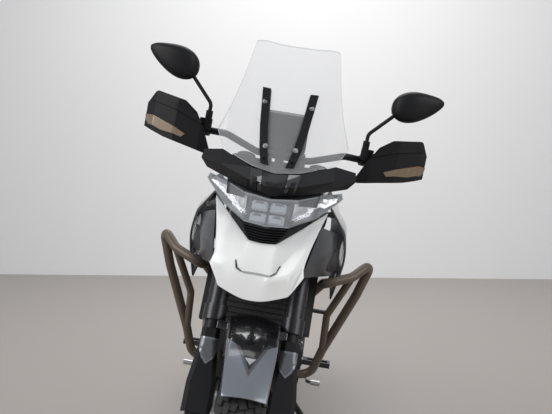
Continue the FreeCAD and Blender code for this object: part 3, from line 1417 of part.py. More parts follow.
def nose_stays():
    """Rods ahead from the head, and an upright that carries the lamp, cowl and display."""
    stays = []
    for side in (-1, 1):
        start = nose_end(side * NOSE_STAY_SPACING) + V(0, NOSE_UPRIGHT_AHEAD, 0)
        end = V(start.x, LAMP_FRONT + LAMP_DEPTH / 2 + SEAT_GAP, start.z)
        stays.append(rod(start, end, NOSE_STAY_RADIUS))
    foot = nose_end(0)
    stays.append(rod(foot - V(0, 0, NOSE_UPRIGHT_DROP), foot + V(0, 0, NOSE_UPRIGHT_RISE),
                     NOSE_UPRIGHT_RADIUS))
    seat = strap_seat()
    cross = V(0, foot.y, seat.z)
    wide = V(NOSE_CROSS_HALF, 0, 0)
    stays.append(rod(cross - wide, cross + wide, NOSE_CROSS_RADIUS))
    strap = screen_strap()
    for shape, across, rise, ahead in (
            (strap, seat.x, seat.z - foot.z, -1), (beak()[0], 0, -BEAK_ARM_DROP, -1),
            (cowl()[0], 0, COWL_ARM_RISE, -1), (display()[0], 0, DISPLAY_ARM_RISE, 1)):
        arm = arm_to(shape, V(across, foot.y, foot.z + rise), ahead)
        stays += both(arm) if across else [arm]
    return stays


def arm_to(shape, start, ahead):
    """A rod to the rear or ahead from a point, its end cut to the slope of a shape."""
    reach = meeting(shape, start, ahead) + ahead * NOSE_ARM_OVERLAP
    arm = rod(start, V(start.x, reach, start.z), NOSE_ARM_RADIUS)
    seat = shape.copy()
    seat.translate(V(0, -ahead * SEAT_GAP, 0))
    point = Part.Vertex(start)
    return min(arm.cut(seat).Solids, key=lambda part: part.distToShape(point)[0])


def meeting(shape, start, ahead):
    """Where a line from a point, to the rear or ahead, first meets a shape."""
    line = Part.makeLine(start, start + V(0, ahead * WHEELBASE, 0))
    box = line.common(shape).BoundBox
    return box.YMin if ahead > 0 else box.YMax


def stand_mount():
    """Lug ahead of the lower cross tube, with the pin that the side stand turns on."""
    pivot = stand_pivot()
    axis = stand_axis()
    inner = STAND_EAR_THICKNESS / 2 + SEAT_GAP
    reach = inner + STAND_BOSS_LENGTH
    outer = pivot.x - inner - STAND_LUG_THICKNESS / 2
    cross_y = PIVOT_Y + LOWER_CROSS_BACK
    cross_z = PIVOT_Z - LOWER_CROSS_DOWN
    lug_half = STAND_EAR_RADIUS - OVERRUN
    outline = [(pivot.y - lug_half, pivot.z - lug_half), (cross_y, cross_z - lug_half),
               (cross_y + lug_half, cross_z), (cross_y, cross_z + lug_half),
               (pivot.y - lug_half, pivot.z + lug_half)]
    lug = plate(outline, "x", outer - STAND_LUG_THICKNESS, outer, STAND_EAR_RADIUS / 2)
    boss = rod(pivot - axis * reach, pivot - axis * inner, STAND_EAR_RADIUS)
    pin_end = pivot + axis * (inner + STAND_PIN_RADIUS)
    pin = rod(pivot - axis * reach, pin_end, STAND_PIN_RADIUS)
    cap = rod(pivot + axis * inner, pin_end, STAND_PIN_RADIUS * 2)
    room = rod(pivot - axis * inner, pivot + axis * inner, STAND_EAR_RADIUS * 2)
    return [lug.cut(room), boss.cut(room), pin, cap]


def subframe():
    """Rear frame: seat rails, their stays and cross tubes."""
    start_x = SPAR_HALF - SPAR_RADIUS - SEAT_GAP - SUBFRAME_RADIUS
    start = V(start_x, SUBFRAME_FRONT_Y, along_spar(SUBFRAME_FRONT_Y).z)
    rail = tube([start, V(SUBFRAME_HALF, SUBFRAME_SEAT_Y, SUBFRAME_SEAT_Z),
                 V(SUBFRAME_HALF, SUBFRAME_STEP_Y, SUBFRAME_SEAT_Z),
                 V(SUBFRAME_HALF, SUBFRAME_END_Y, SUBFRAME_END_Z)],
                SUBFRAME_RADIUS, SUBFRAME_BEND)
    low_x = PIVOT_PLATE - SEAT_GAP - STAY_RADIUS
    stay = tube([V(low_x, PIVOT_Y, PIVOT_Z + PIVOT_PLATE_HEIGHT / 3),
                 V(low_x, SUBFRAME_LOW_Y, SUBFRAME_LOW_Z),
                 rail_point(SUBFRAME_JOIN_Y)], STAY_RADIUS, SUBFRAME_BEND)
    parts = both(rail) + both(stay)
    for y in (SUBFRAME_STEP_Y, SUBFRAME_JOIN_Y, SUBFRAME_END_Y):
        point = rail_point(y)
        parts.append(rod(mirrored_point(point), point, STAY_RADIUS))
    return fused(parts)


def rail_point(y):
    """The left seat rail's middle behind its step."""
    share = (y - SUBFRAME_STEP_Y) / (SUBFRAME_END_Y - SUBFRAME_STEP_Y)
    return V(SUBFRAME_HALF, y, SUBFRAME_SEAT_Z + (SUBFRAME_END_Z - SUBFRAME_SEAT_Z) * share)


# Engine

def cylinder_slab(low, height, grow):
    """A slab across the cylinders, leaning with them, from low up, grown all round."""
    foot = ENGINE_LOW + ENGINE_HEIGHT
    slab = block(V(-CYLINDER_HALF - grow, CYLINDER_FRONT - grow, foot + low),
                 V(CYLINDER_HALF + grow, CYLINDER_FRONT + CYLINDER_DEPTH + grow,
                   foot + low + height))
    slab = slab.makeFillet(ENGINE_ROUND / 2, [edge for edge in slab.Edges
                                              if abs(edge.tangentAt(0).z) > math.cos(1)])
    slab.rotate(V(0, CYLINDER_FRONT + CYLINDER_DEPTH / 2, foot), X_AXIS, CYLINDER_LEAN)
    return slab


def engine():
    """Crankcase and gearbox, with a bank of finned cylinders, as one heavy block."""
    length = ENGINE_REAR - ENGINE_FRONT
    corner = (ENGINE_FRONT, ENGINE_LOW)
    outline = sized(ENGINE_SHARES, length, ENGINE_HEIGHT, corner)
    long_case = plate(outline, "x", -ENGINE_BACK_HALF, ENGINE_BACK_HALF, ENGINE_ROUND)
    wide_case = plate(outline, "x", -ENGINE_HALF, ENGINE_HALF, ENGINE_ROUND)
    front_part = block(V(-ENGINE_HALF, ENGINE_FRONT, ENGINE_LOW),
                       V(ENGINE_HALF, ENGINE_STEP, ENGINE_LOW + ENGINE_HEIGHT))
    parts = [long_case, wide_case.common(front_part),
             cylinder_slab(-ENGINE_ROUND * 3, CYLINDER_HEIGHT + ENGINE_ROUND * 3, 0)]
    pitch = CYLINDER_HEIGHT / FIN_COUNT
    for index in range(FIN_COUNT):
        parts.append(cylinder_slab((index + 0.4) * pitch, FIN_THICKNESS, FIN_REACH))
    parts.append(cylinder_slab(CYLINDER_HEIGHT - OVERRUN, HEAD_COVER_HEIGHT, -HEAD_COVER_INSET))
    cross_y = PIVOT_Y + LOWER_CROSS_BACK
    cross_z = PIVOT_Z - LOWER_CROSS_DOWN
    lug_radius = CROSS_RADIUS + ENGINE_ROUND / 2
    lug = rod(V(-ENGINE_BACK_HALF / 2, cross_y, cross_z), V(ENGINE_BACK_HALF / 2, cross_y,
              cross_z), lug_radius)
    front = down_route()[2]
    inner = DOWN_HALF - DOWN_RADIUS - SEAT_GAP
    arm = rod(V(-inner, front.y, front.z), V(inner, front.y, front.z), DOWN_RADIUS)
    web = block(V(-ENGINE_BACK_HALF, front.y - DOWN_RADIUS / 2, front.z - DOWN_RADIUS * 2),
                V(ENGINE_BACK_HALF, CYLINDER_FRONT + DOWN_RADIUS, front.z))
    solid = fused(parts + [lug, arm, web])
    bore = rod(V(-ENGINE_HALF, cross_y, cross_z), V(ENGINE_HALF, cross_y, cross_z),
               CROSS_RADIUS + SEAT_GAP)
    return solid.cut(bore)


def round_cover(side, y, z, radius, thickness):
    """A stepped round cover on one side of the crankcase."""
    start = V(side * (ENGINE_HALF + SEAT_GAP), y, z)
    out = V(side, 0, 0)
    base = rod(start, start + out * (thickness - COVER_STEP), radius)
    crown = rod(start, start + out * thickness, radius - COVER_STEP)
    return fused([base, crown])


def engine_covers():
    clutch = round_cover(-1, CLUTCH_COVER_Y, CLUTCH_COVER_Z, CLUTCH_COVER_RADIUS,
                         COVER_THICKNESS)
    pump = round_cover(-1, PUMP_COVER_Y, PUMP_COVER_Z, PUMP_COVER_RADIUS, COVER_THICKNESS)
    generator = round_cover(1, GENERATOR_COVER_Y, GENERATOR_COVER_Z, GENERATOR_COVER_RADIUS,
                            COVER_THICKNESS)
    low = CHAIN_PLACE + CHAIN_INNER_WIDTH / 2 + CHAIN_PLATE + SPROCKET_COVER_GAP
    reach = FRONT_SPROCKET_RADIUS + SPROCKET_COVER_MARGIN
    outline = [(ENGINE_STEP + SEAT_GAP, FRONT_SPROCKET_Z - reach),
               (FRONT_SPROCKET_Y + reach / 2, FRONT_SPROCKET_Z - reach),
               (FRONT_SPROCKET_Y + reach * 0.6, FRONT_SPROCKET_Z),
               (FRONT_SPROCKET_Y + reach / 2, FRONT_SPROCKET_Z + reach),
               (ENGINE_STEP + SEAT_GAP, FRONT_SPROCKET_Z + reach)]
    sprocket_cover = plate(outline, "x", low, low + SPROCKET_COVER_WALL, SPROCKET_COVER_MARGIN)
    sprocket_cover = sprocket_cover.common(block(V(0, ENGINE_STEP + SEAT_GAP, 0),
                                                 V(WHEELBASE, WHEELBASE, WHEELBASE)))
    return [clutch, pump, generator, sprocket_cover]


def front_sprocket():
    centre = V(0, FRONT_SPROCKET_Y, FRONT_SPROCKET_Z)
    wheel = sprocket(FRONT_SPROCKET_RADIUS, FRONT_SPROCKET_TEETH, 0, centre)
    shaft = rod(centre + V(ENGINE_BACK_HALF + SEAT_GAP, 0, 0),
                centre + V(CHAIN_PLACE + SPROCKET_THICKNESS, 0, 0), OUTPUT_SHAFT_RADIUS)
    return [fused([wheel, shaft])]


def radiator():
    """Core with side tanks and cross fins, leaning with the fork, on stays to the frame."""
    back = RADIATOR_BACK + RADIATOR_THICKNESS
    parts = []
    for side in (-1, 1):
        inner = side * (RADIATOR_HALF - RADIATOR_TANK)
        outer = side * RADIATOR_HALF
        parts.append(block(V(min(inner, outer), RADIATOR_BACK, RADIATOR_BOTTOM),
                           V(max(inner, outer), back, RADIATOR_TOP)))
        stay = rod(V(side * DOWN_HALF, RADIATOR_BACK + RADIATOR_THICKNESS / 2,
                     RADIATOR_TOP - RADIATOR_STAY), from_fork(V(side * DOWN_HALF,
                   DOWN_SHOULDER, DOWN_SHOULDER_HEIGHT)), RADIATOR_STAY / 2)
        parts.append(stay)
    inset = RADIATOR_THICKNESS / 4
    parts.append(block(V(-RADIATOR_HALF + OVERRUN, RADIATOR_BACK + inset, RADIATOR_BOTTOM),
                       V(RADIATOR_HALF - OVERRUN, back - inset, RADIATOR_TOP)))
    pitch = (RADIATOR_TOP - RADIATOR_BOTTOM - RADIATOR_SLAT_THICKNESS) / (RADIATOR_SLATS - 1)
    for index in range(RADIATOR_SLATS):
        low = RADIATOR_BOTTOM + index * pitch
        parts.append(block(V(-RADIATOR_HALF + OVERRUN, RADIATOR_BACK + OVERRUN, low),
                           V(RADIATOR_HALF - OVERRUN, back - OVERRUN,
                             low + RADIATOR_SLAT_THICKNESS)))
    solid = to_fork(fused(parts))
    pipes = both(tube(down_route(), DOWN_RADIUS + SEAT_GAP, SPAR_BEND))
    return [solid.cut(pipes)]


# Exhaust

def header_route(side):
    x = side * HEADER_SPACING
    port_z = ENGINE_LOW + ENGINE_HEIGHT + HEADER_PORT_HEIGHT
    return [V(x, CYLINDER_FRONT - FIN_REACH - HEADER_PORT_HEIGHT / 3, port_z),
            V(x, CYLINDER_FRONT - HEADER_AHEAD, port_z),
            V(x, CYLINDER_FRONT - HEADER_AHEAD, HEADER_LOW),
            V(side * HEADER_RADIUS, HEADER_JOIN_Y, HEADER_LOW)]


def muffler_axis():
    tilt = math.radians(MUFFLER_TILT)
    return V(0, math.cos(tilt), math.sin(tilt))


def exhaust_header(engine_solid):
    """Two pipes down from the cylinders and one back to the muffler, outside the frame."""
    inlet = V(MUFFLER_PLACE, MUFFLER_START_Y, MUFFLER_START_Z)
    collector = tube([V(0, HEADER_JOIN_Y - COLLECTOR_RADIUS, HEADER_LOW),
                      V(0, COLLECTOR_TURN_Y, HEADER_LOW),
                      V(COLLECTOR_OUT, COLLECTOR_END_Y, HEADER_LOW),
                      inlet - muffler_axis() * COLLECTOR_RUN, inlet], COLLECTOR_RADIUS,
                     HEADER_BEND)
    parts = [collector]
    for side in (-1, 1):
        parts.append(tube(header_route(side), HEADER_RADIUS, HEADER_BEND))
    port_z = ENGINE_LOW + ENGINE_HEIGHT + HEADER_PORT_HEIGHT
    for side in (-1, 1):
        start = V(side * HEADER_SPACING, CYLINDER_FRONT, port_z)
        parts.append(rod(start - V(0, HEADER_AHEAD / 2, 0), start, HEADER_RADIUS + OVERRUN))
    return [fused(parts).cut(engine_solid)]


def muffler():
    """Oval can with a cone ahead and a cap and outlet behind."""
    width = MUFFLER_WIDTH / 2
    height = MUFFLER_HEIGHT / 2
    round_off = MUFFLER_WIDTH * MUFFLER_ROUND_SHARE
    inlet = COLLECTOR_RADIUS / width
    stations = [(SEAT_GAP, inlet, COLLECTOR_RADIUS / height), (MUFFLER_CONE, 1, 1),
                (MUFFLER_LENGTH - MUFFLER_CAP, 1, 1), (MUFFLER_LENGTH, 0.8, 0.8)]
    sections = []
    for along, wide, tall in stations:
        outline = [(-width * wide, -height * tall), (width * wide, -height * tall),
                   (width * wide, height * tall), (-width * wide, height * tall)]
        sections.append((along, outline, round_off * min(wide, tall)))
    wires = [rounded_wire(lay(points, "y", along), radius) for along, points, radius in sections]
    pieces_of_can = [Part.makeLoft(wires[index:index + 2], True, True) for index in range(3)]
    outlet = rod(V(0, MUFFLER_LENGTH - OVERRUN, 0),
                 V(0, MUFFLER_LENGTH + MUFFLER_OUTLET_LENGTH, 0), MUFFLER_OUTLET_RADIUS)
    can = fused(pieces_of_can + [outlet])
    can = can.cut(rod(V(0, MUFFLER_LENGTH, 0), V(0, MUFFLER_LENGTH + MUFFLER_OUTLET_LENGTH +
                      OVERRUN, 0), MUFFLER_OUTLET_RADIUS - OVERRUN))
    can.rotate(MIDDLE, X_AXIS, MUFFLER_TILT)
    can.translate(V(MUFFLER_PLACE, MUFFLER_START_Y, MUFFLER_START_Z))
    return [can]


# Swingarm, rear wheel and chain

def swingarm():
    """Two box arms on a pivot tube, joined by a cross beam that the chain runs round."""
    half = ARM_HEIGHT / 2
    end_half = ARM_END_HEIGHT / 2
    outline = [(PIVOT_Y - half, PIVOT_Z - half / 2), (PIVOT_Y, PIVOT_Z - half),
               (REAR_AXLE.y - ARM_END_LENGTH, REAR_AXLE.z - end_half),
               (REAR_AXLE.y + ARM_END_LENGTH / 2, REAR_AXLE.z - end_half),
               (REAR_AXLE.y + ARM_END_LENGTH / 2, REAR_AXLE.z + end_half),
               (REAR_AXLE.y - ARM_END_LENGTH, REAR_AXLE.z + end_half),
               (PIVOT_Y, PIVOT_Z + half), (PIVOT_Y - half, PIVOT_Z + half / 2)]
    left = plate(outline, "x", ARM_LEFT, ARM_LEFT + ARM_THICKNESS, ARM_ROUND)
    right = plate(outline, "x", -ARM_RIGHT - ARM_THICKNESS, -ARM_RIGHT, ARM_ROUND)
    pivot_tube = rod(V(-ARM_RIGHT, PIVOT_Y, PIVOT_Z), V(ARM_LEFT, PIVOT_Y, PIVOT_Z),
                     ARM_PIVOT_TUBE)
    beam = block(V(-ARM_RIGHT, ARM_CROSS_FRONT, ARM_CROSS_LOW),
                 V(ARM_LEFT, ARM_CROSS_FRONT + ARM_CROSS_DEPTH, ARM_CROSS_LOW +
                   ARM_CROSS_HEIGHT))
    foot = shock_foot()
    ears = []
    for side in (-1, 1):
        inner = side * (SHOCK_EYE_HALF + SEAT_GAP)
        outer = inner + side * SHOCK_EYE_HALF / 2
        outline = [(foot.y - SHOCK_EYE_RADIUS, foot.z - SHOCK_EYE_RADIUS * 2),
                   (foot.y + SHOCK_EYE_RADIUS, foot.z - SHOCK_EYE_RADIUS * 2),
                   (foot.y + SHOCK_EYE_RADIUS, foot.z + SHOCK_EYE_RADIUS),
                   (foot.y - SHOCK_EYE_RADIUS, foot.z + SHOCK_EYE_RADIUS)]
        ears.append(plate(outline, "x", inner, outer, SHOCK_EYE_RADIUS - OVERRUN))
    pin = rod(V(-SHOCK_EYE_HALF - OVERRUN, foot.y, foot.z),
              V(SHOCK_EYE_HALF + OVERRUN, foot.y, foot.z), SHOCK_EYE_RADIUS / 2)
    solid = fused([left, right, pivot_tube, beam, pin] + ears)
    reach = WHEELBASE / 2
    solid = solid.cut(rod(V(-reach, PIVOT_Y, PIVOT_Z), V(reach, PIVOT_Y, PIVOT_Z),
                          PIVOT_RADIUS + SEAT_GAP))
    return [solid.cut(rod(REAR_AXLE - V(reach, 0, 0), REAR_AXLE + V(reach, 0, 0),
                          REAR_AXLE_RADIUS + SEAT_GAP))]


def shock_foot():
    return V(0, ARM_CROSS_FRONT + ARM_CROSS_DEPTH / 2,
             ARM_CROSS_LOW + ARM_CROSS_HEIGHT + SHOCK_EYE_RADIUS)


def rear_shock():
    """Damper with a coil spring round it, between eyes on the swingarm and the frame."""
    foot = shock_foot()
    top = shock_top()
    length = (top - foot).Length
    coil = (length - SHOCK_EYE_RADIUS * 4) / SHOCK_COILS
    start = SHOCK_EYE_RADIUS * 2
    profile = [(SHOCK_EYE_RADIUS, 0), (SHOCK_EYE_RADIUS, SHOCK_NECK_RADIUS),
               (start, SHOCK_BODY_RADIUS)]
    for index in range(SHOCK_COILS):
        low = start + index * coil
        profile += [(low + coil / 4, SHOCK_SPRING_RADIUS), (low + coil / 2, SHOCK_SPRING_RADIUS),
                    (low + coil * 3 / 4, SHOCK_BODY_RADIUS), (low + coil, SHOCK_BODY_RADIUS)]
    end = start + SHOCK_COILS * coil
    profile += [(end + SHOCK_EYE_RADIUS, SHOCK_BODY_RADIUS), (end + SHOCK_EYE_RADIUS, 0)]
    body = spun(profile, MIDDLE)
    body.Placement = FreeCAD.Placement(foot, FreeCAD.Rotation(X_AXIS, top - foot))
    eyes = []
    for centre, radius in ((foot, SHOCK_EYE_RADIUS), (top, SHOCK_EYE_RADIUS + OVERRUN)):
        eyes.append(rod(centre - V(SHOCK_EYE_HALF, 0, 0), centre + V(SHOCK_EYE_HALF, 0, 0),
                        radius))
    necks = [rod(foot, foot + toward(foot, top) * SHOCK_EYE_RADIUS * 2, SHOCK_EYE_RADIUS / 2),
             rod(top, top - toward(foot, top) * SHOCK_EYE_RADIUS * 2, SHOCK_EYE_RADIUS / 2)]
    solid = fused([body] + eyes + necks)
    wide = V(SPAR_HALF, 0, 0)
    solid = solid.cut(rod(foot - wide, foot + wide, SHOCK_EYE_RADIUS / 2 + SEAT_GAP))
    return [solid.cut(rod(top - wide, top + wide, CROSS_RADIUS + SEAT_GAP))]


def rear_axle():
    """Axle with end nuts, and spacers that keep the wheel in the middle."""
    left = ARM_LEFT + ARM_THICKNESS + SEAT_GAP
    right = ARM_RIGHT + ARM_THICKNESS + SEAT_GAP
    pin = rod(REAR_AXLE - V(right, 0, 0), REAR_AXLE + V(left, 0, 0), REAR_AXLE_RADIUS)
    nuts = [rod(REAR_AXLE + V(left, 0, 0), REAR_AXLE + V(left + AXLE_NUT_LENGTH, 0, 0),
                AXLE_NUT_RADIUS),
            rod(REAR_AXLE - V(right, 0, 0), REAR_AXLE - V(right + AXLE_NUT_LENGTH, 0, 0),
                AXLE_NUT_RADIUS)]
    left_hub, right_hub = rear_hub_ends()
    spacers = [rod(REAR_AXLE + V(left_hub + SPACER_GAP, 0, 0),
                   REAR_AXLE + V(ARM_LEFT - SEAT_GAP, 0, 0), AXLE_NUT_RADIUS),
               rod(REAR_AXLE - V(right_hub + SPACER_GAP, 0, 0),
                   REAR_AXLE - V(ARM_RIGHT - SEAT_GAP, 0, 0), AXLE_NUT_RADIUS)]
    return [fused([pin] + nuts + spacers)]


def rear_hub_ends():
    return (CHAIN_PLACE - SPROCKET_THICKNESS / 2 - SEAT_GAP,
            REAR_DISC_PLACE - DISC_THICKNESS / 2 - SEAT_GAP)


def rear_wheel():
    left, right = rear_hub_ends()
    return {
        "rear_tyre": [tyre(REAR_TYRE_RADIUS, REAR_TYRE_WIDTH, REAR_RIM_RADIUS, REAR_RIM_WIDTH,
                           REAR_AXLE)],
        "rear_rim": [cast_wheel(REAR_RIM_RADIUS, REAR_RIM_WIDTH, REAR_HUB_RADIUS,
                                REAR_SPOKE_WIDTH, left, right, REAR_AXLE_RADIUS + SEAT_GAP,
                                REAR_AXLE)],
        "rear_disc": [brake_disc(REAR_DISC_RADIUS, -REAR_DISC_PLACE, REAR_AXLE)],
        "rear_sprocket": [rear_sprocket()]}


def rear_sprocket():
    """Toothed ring bolted to the hub, lightened between its arms."""
    wheel = sprocket(SPROCKET_RADIUS, SPROCKET_TEETH, REAR_AXLE_RADIUS + AXLE_NUT_RADIUS,
                     REAR_AXLE)
    windows = []
    for index in range(SPOKE_PAIRS):
        inner = REAR_HUB_RADIUS
        outer = SPROCKET_RADIUS - SPROCKET_TOOTH * 2
        outline = []
        for radius, spread in ((inner, 18), (outer, 24)):
            for turn in ((-spread, spread) if radius == inner else (spread, -spread)):
                angle = math.radians(360 * index / SPOKE_PAIRS + turn)
                outline.append((radius * math.cos(angle), radius * math.sin(angle)))
        window = plate(outline, "x", CHAIN_PLACE - SPROCKET_THICKNESS, CHAIN_PLACE +
                       SPROCKET_THICKNESS, SPROCKET_TOOTH)
        window.translate(REAR_AXLE)
        windows.append(window)
    return wheel.cut(windows)


def chain_line():
    """The middle line of the chain as tangent points: front and rear radii and places."""
    front = V(0, FRONT_SPROCKET_Y, FRONT_SPROCKET_Z)
    rear = V(0, REAR_AXLE.y, REAR_AXLE.z)
    small = FRONT_SPROCKET_RADIUS + SEAT_GAP + CHAIN_PIN_RADIUS
    large = SPROCKET_RADIUS + CHAIN_TIP_GAP + CHAIN_PIN_RADIUS
    return front, rear, small, large


def chain_loop(grow):
    """A closed outline that follows the chain, grown outward or drawn inward."""
    front, rear, small, large = chain_line()
    run = rear - front
    slope = math.atan2(run.z, run.y)
    swing = math.asin((large - small) / run.Length)
    edges = []
    tangent = []
    for side in (1, -1):
        angle = slope + side * (math.pi / 2 + swing)
        out = V(0, math.cos(angle), math.sin(angle))
        tangent.append((front + out * (small + grow), rear + out * (large + grow)))
    nose = front - toward(front, rear) * (small + grow)
    tail = rear + toward(front, rear) * (large + grow)
    edges = [Part.LineSegment(tangent[0][0], tangent[0][1]).toShape(),
             Part.Arc(tangent[0][1], tail, tangent[1][1]).toShape(),
             Part.LineSegment(tangent[1][1], tangent[1][0]).toShape(),
             Part.Arc(tangent[1][0], nose, tangent[0][0]).toShape()]
    return Part.Wire(edges)


def chain():
    """Side plates on both sides of a row of rollers, all round the loop."""
    def slab(low, high, grow):
        outer = Part.Face(chain_loop(grow)).extrude(V(high - low, 0, 0))
        inner = Part.Face(chain_loop(-grow)).extrude(V(high - low, 0, 0))
        solid = outer.cut(inner)
        solid.translate(V(low, 0, 0))
        return solid
    half = CHAIN_INNER_WIDTH / 2
    grow = CHAIN_HEIGHT / 2
    left = slab(CHAIN_PLACE + half, CHAIN_PLACE + half + CHAIN_PLATE, grow)
    right = slab(CHAIN_PLACE - half - CHAIN_PLATE, CHAIN_PLACE - half, grow)
    middle = slab(CHAIN_PLACE - half - CHAIN_PLATE / 2, CHAIN_PLACE + half + CHAIN_PLATE / 2,
                  CHAIN_PIN_RADIUS)
    return [fused([left, right, middle])]


def rear_caliper():
    """Block over the rear disc, on a hanger against the right arm."""
    turn = math.radians(REAR_CALIPER_ANGLE)
    centre = V(-REAR_DISC_PLACE, (REAR_DISC_RADIUS - DISC_BAND / 3) * math.cos(turn),
               (REAR_DISC_RADIUS - DISC_BAND / 3) * math.sin(turn))
    half = V(REAR_CALIPER_WIDTH / 2, REAR_CALIPER_LENGTH / 2, REAR_CALIPER_DEPTH / 2)
    body = block(-half, half)
    body = body.makeFillet(CALIPER_ROUND / 2, body.Edges)
    body.rotate(MIDDLE, X_AXIS, REAR_CALIPER_ANGLE - 90)
    body.translate(centre)
    start = -ARM_RIGHT + SEAT_GAP
    end = -REAR_DISC_PLACE - REAR_CALIPER_WIDTH / 2 + CALIPER_ROUND / 2
    hanger = plate([(centre.y - half.y / 2, centre.z + half.z / 2),
                    (-AXLE_NUT_RADIUS * 4, -AXLE_NUT_RADIUS / 2),
                    (-AXLE_NUT_RADIUS * 2, AXLE_NUT_RADIUS / 2),
                    (centre.y + half.y / 2, centre.z + half.z / 2)],
                   "x", start, end, CALIPER_ROUND / 2)
    slot = DISC_THICKNESS + 2 * RUNNING_GAP
    room = Part.makeCylinder(REAR_DISC_RADIUS + RUNNING_GAP, slot,
                             V(-REAR_DISC_PLACE - slot / 2, 0, 0), X_AXIS)
    solid = fused([body, hanger]).cut(room)
    solid.translate(REAR_AXLE)
    return [solid]


# Bodywork

def half_rows(shares, corner, size, mirror_plane=True):
    """Rows of points from rows of shares, widened to both sides of the middle."""
    rows = []
    for row in shares:
        points = [V(corner.x + across * size.x, corner.y + along * size.y,
                    corner.z + rise * size.z) for across, along, rise in row]
        if mirror_plane:
            points = [mirrored_point(point) for point in reversed(points[1:])] + points
        rows.append(points)
    return rows


def moved_rows(rows, distance, inward):
    """A grid of points moved along its own normals, toward the inward side."""
    side = 1 if normal_at(rows, len(rows) // 2, len(rows[0]) // 2).dot(inward) > 0 else -1
    moved = []
    for row in range(len(rows)):
        moved.append([point + normal_at(rows, row, column) * (side * distance)
                      for column, point in enumerate(rows[row])])
    return moved


def tank_section(along, wide, low, high):
    y = TANK_FRONT + along * TANK_LENGTH
    bottom = TANK_BOTTOM + low * TANK_HEIGHT
    rise = (high - low) * TANK_HEIGHT
    half = [V(across * wide * TANK_HALF, y, bottom + up * rise)
            for across, up in TANK_RING_SHARES]
    return whole_ring(half)


def fuel_tank():
    """Smooth tank over the spars, with a filler cap."""
    body = smooth_body([tank_section(*station) for station in TANK_STATION_SHARES])
    top = TANK_BOTTOM + TANK_HEIGHT
    y = TANK_FRONT + TANK_LENGTH * FILLER_PLACE_SHARE
    cap = rod(V(0, y, top - FILLER_RADIUS), V(0, y, top + FILLER_HEIGHT), FILLER_RADIUS)
    body = fused([body, cap])
    tunnels = both(tube(spar_route(), SPAR_RADIUS + SEAT_GAP, SPAR_BEND))
    return [body.cut(tunnels)]


def tank_shroud(tank):
    """Left shroud: a creased panel ahead of the tank and beside it, with tabs to the tank."""
    corner = V(0, SHROUD_FRONT, SHROUD_LOW)
    rows = half_rows(SHROUD_ROW_SHARES, corner, V(SHROUD_HALF, SHROUD_LENGTH, SHROUD_HEIGHT),
                     mirror_plane=False)
    sheet = panel(rows, SHROUD_WALL, V(-1, 0, 0))
    seat = tank.copy()
    seat.translate(V(SEAT_GAP, 0, 0))
    tabs = []
    for row in (2, 3):
        point = rows[row][1]
        y = point.y - SHROUD_TAB_RADIUS
        start = V(side_of(tank, y, point.z) + 2 * SEAT_GAP, y, point.z)
        tab = rod(start - V(SHROUD_TAB_RADIUS, 0, 0), V(point.x - SHROUD_WALL / 2, y, point.z),
                  SHROUD_TAB_RADIUS)
        tabs.append(tab.cut(seat))
    return fused([sheet] + tabs)


def beak_rows():
    return half_rows(BEAK_ROW_SHARES, V(0, BEAK_TIP, BEAK_LOW),
                     V(BEAK_HALF, BEAK_LENGTH, BEAK_HEIGHT))


def beak():
    """Creased nose panel below the headlight."""
    return [panel(beak_rows(), BEAK_WALL, V(0, 1, 0))]


def between(start, end, share):
    return start + (end - start) * share


def grille_rows():
    """The grille's lower and upper edge, along the beak's and the lamp's."""
    rows = []
    for edge, gap, share in ((beak_rows()[-1], GRILLE_GAP, GRILLE_LOW_SHARE),
                             (lamp_rows()[0], -GRILLE_LAMP_GAP, GRILLE_HIGH_SHARE)):
        middle = len(edge) // 2
        points = edge[middle - 1:middle + 2]
        points = ([between(points[0], edge[middle - 2], share)] + points +
                  [between(points[-1], edge[middle + 2], share)])
        rows.append([point + V(0, 0, gap) for point in points])
    return rows


def grille():
    """Base panel between beak and headlight, with slats across it."""
    rows = grille_rows()
    parts = [panel(rows, GRILLE_WALL, V(0, 1, 0))]
    for index in range(GRILLE_SLATS):
        share = (index + 0.5) / GRILLE_SLATS
        line = [low + (high - low) * share for low, high in zip(rows[0], rows[1])]
        ahead = V(0, -GRILLE_SLAT_REACH, 0)
        lift = V(0, 0, GRILLE_SLAT_THICKNESS)
        slat_rows = [[point + ahead for point in line], [point - ahead * 0.2 for point in line]]
        slat = panel(slat_rows, GRILLE_SLAT_THICKNESS, lift)
        parts.append(slat)
    return [fused(parts)]


def lamp_rows():
    return half_rows(LAMP_ROW_SHARES, V(0, LAMP_FRONT, LAMP_LOW),
                     V(LAMP_HALF, LAMP_DEPTH, LAMP_HEIGHT))


def shrunk_rows(rows, wall):
    """A grid drawn in at its outer columns and at its top and bottom by a wall."""
    low, high = rows[0], rows[-1]
    centre = len(low) // 2
    drawn = []
    for row in rows:
        points = []
        for column, point in enumerate(row):
            run = high[column] - low[column]
            share = (point - low[column]).Length / run.Length
            lift = toward(low[column], high[column]) * (wall * (1 - 2 * share))
            side = (centre > column) - (centre < column)
            at_end = column in (0, len(row) - 1)
            points.append(point + lift + V(side * wall * (3 if at_end else 0), 0, 0))
        drawn.append(points)
    return drawn


def tray(rows, depth, wall):
    """An open-fronted box behind a grid of points."""
    inner = shrunk_rows(rows, wall)
    back = moved_rows(rows, depth, V(0, 1, 0))
    floor = moved_rows(inner, depth - wall, V(0, 1, 0))
    rims = rim_faces(rows, inner) + rim_faces(rows, back) + rim_faces(inner, floor)
    return closed(grid_faces(back) + grid_faces(floor) + rims)


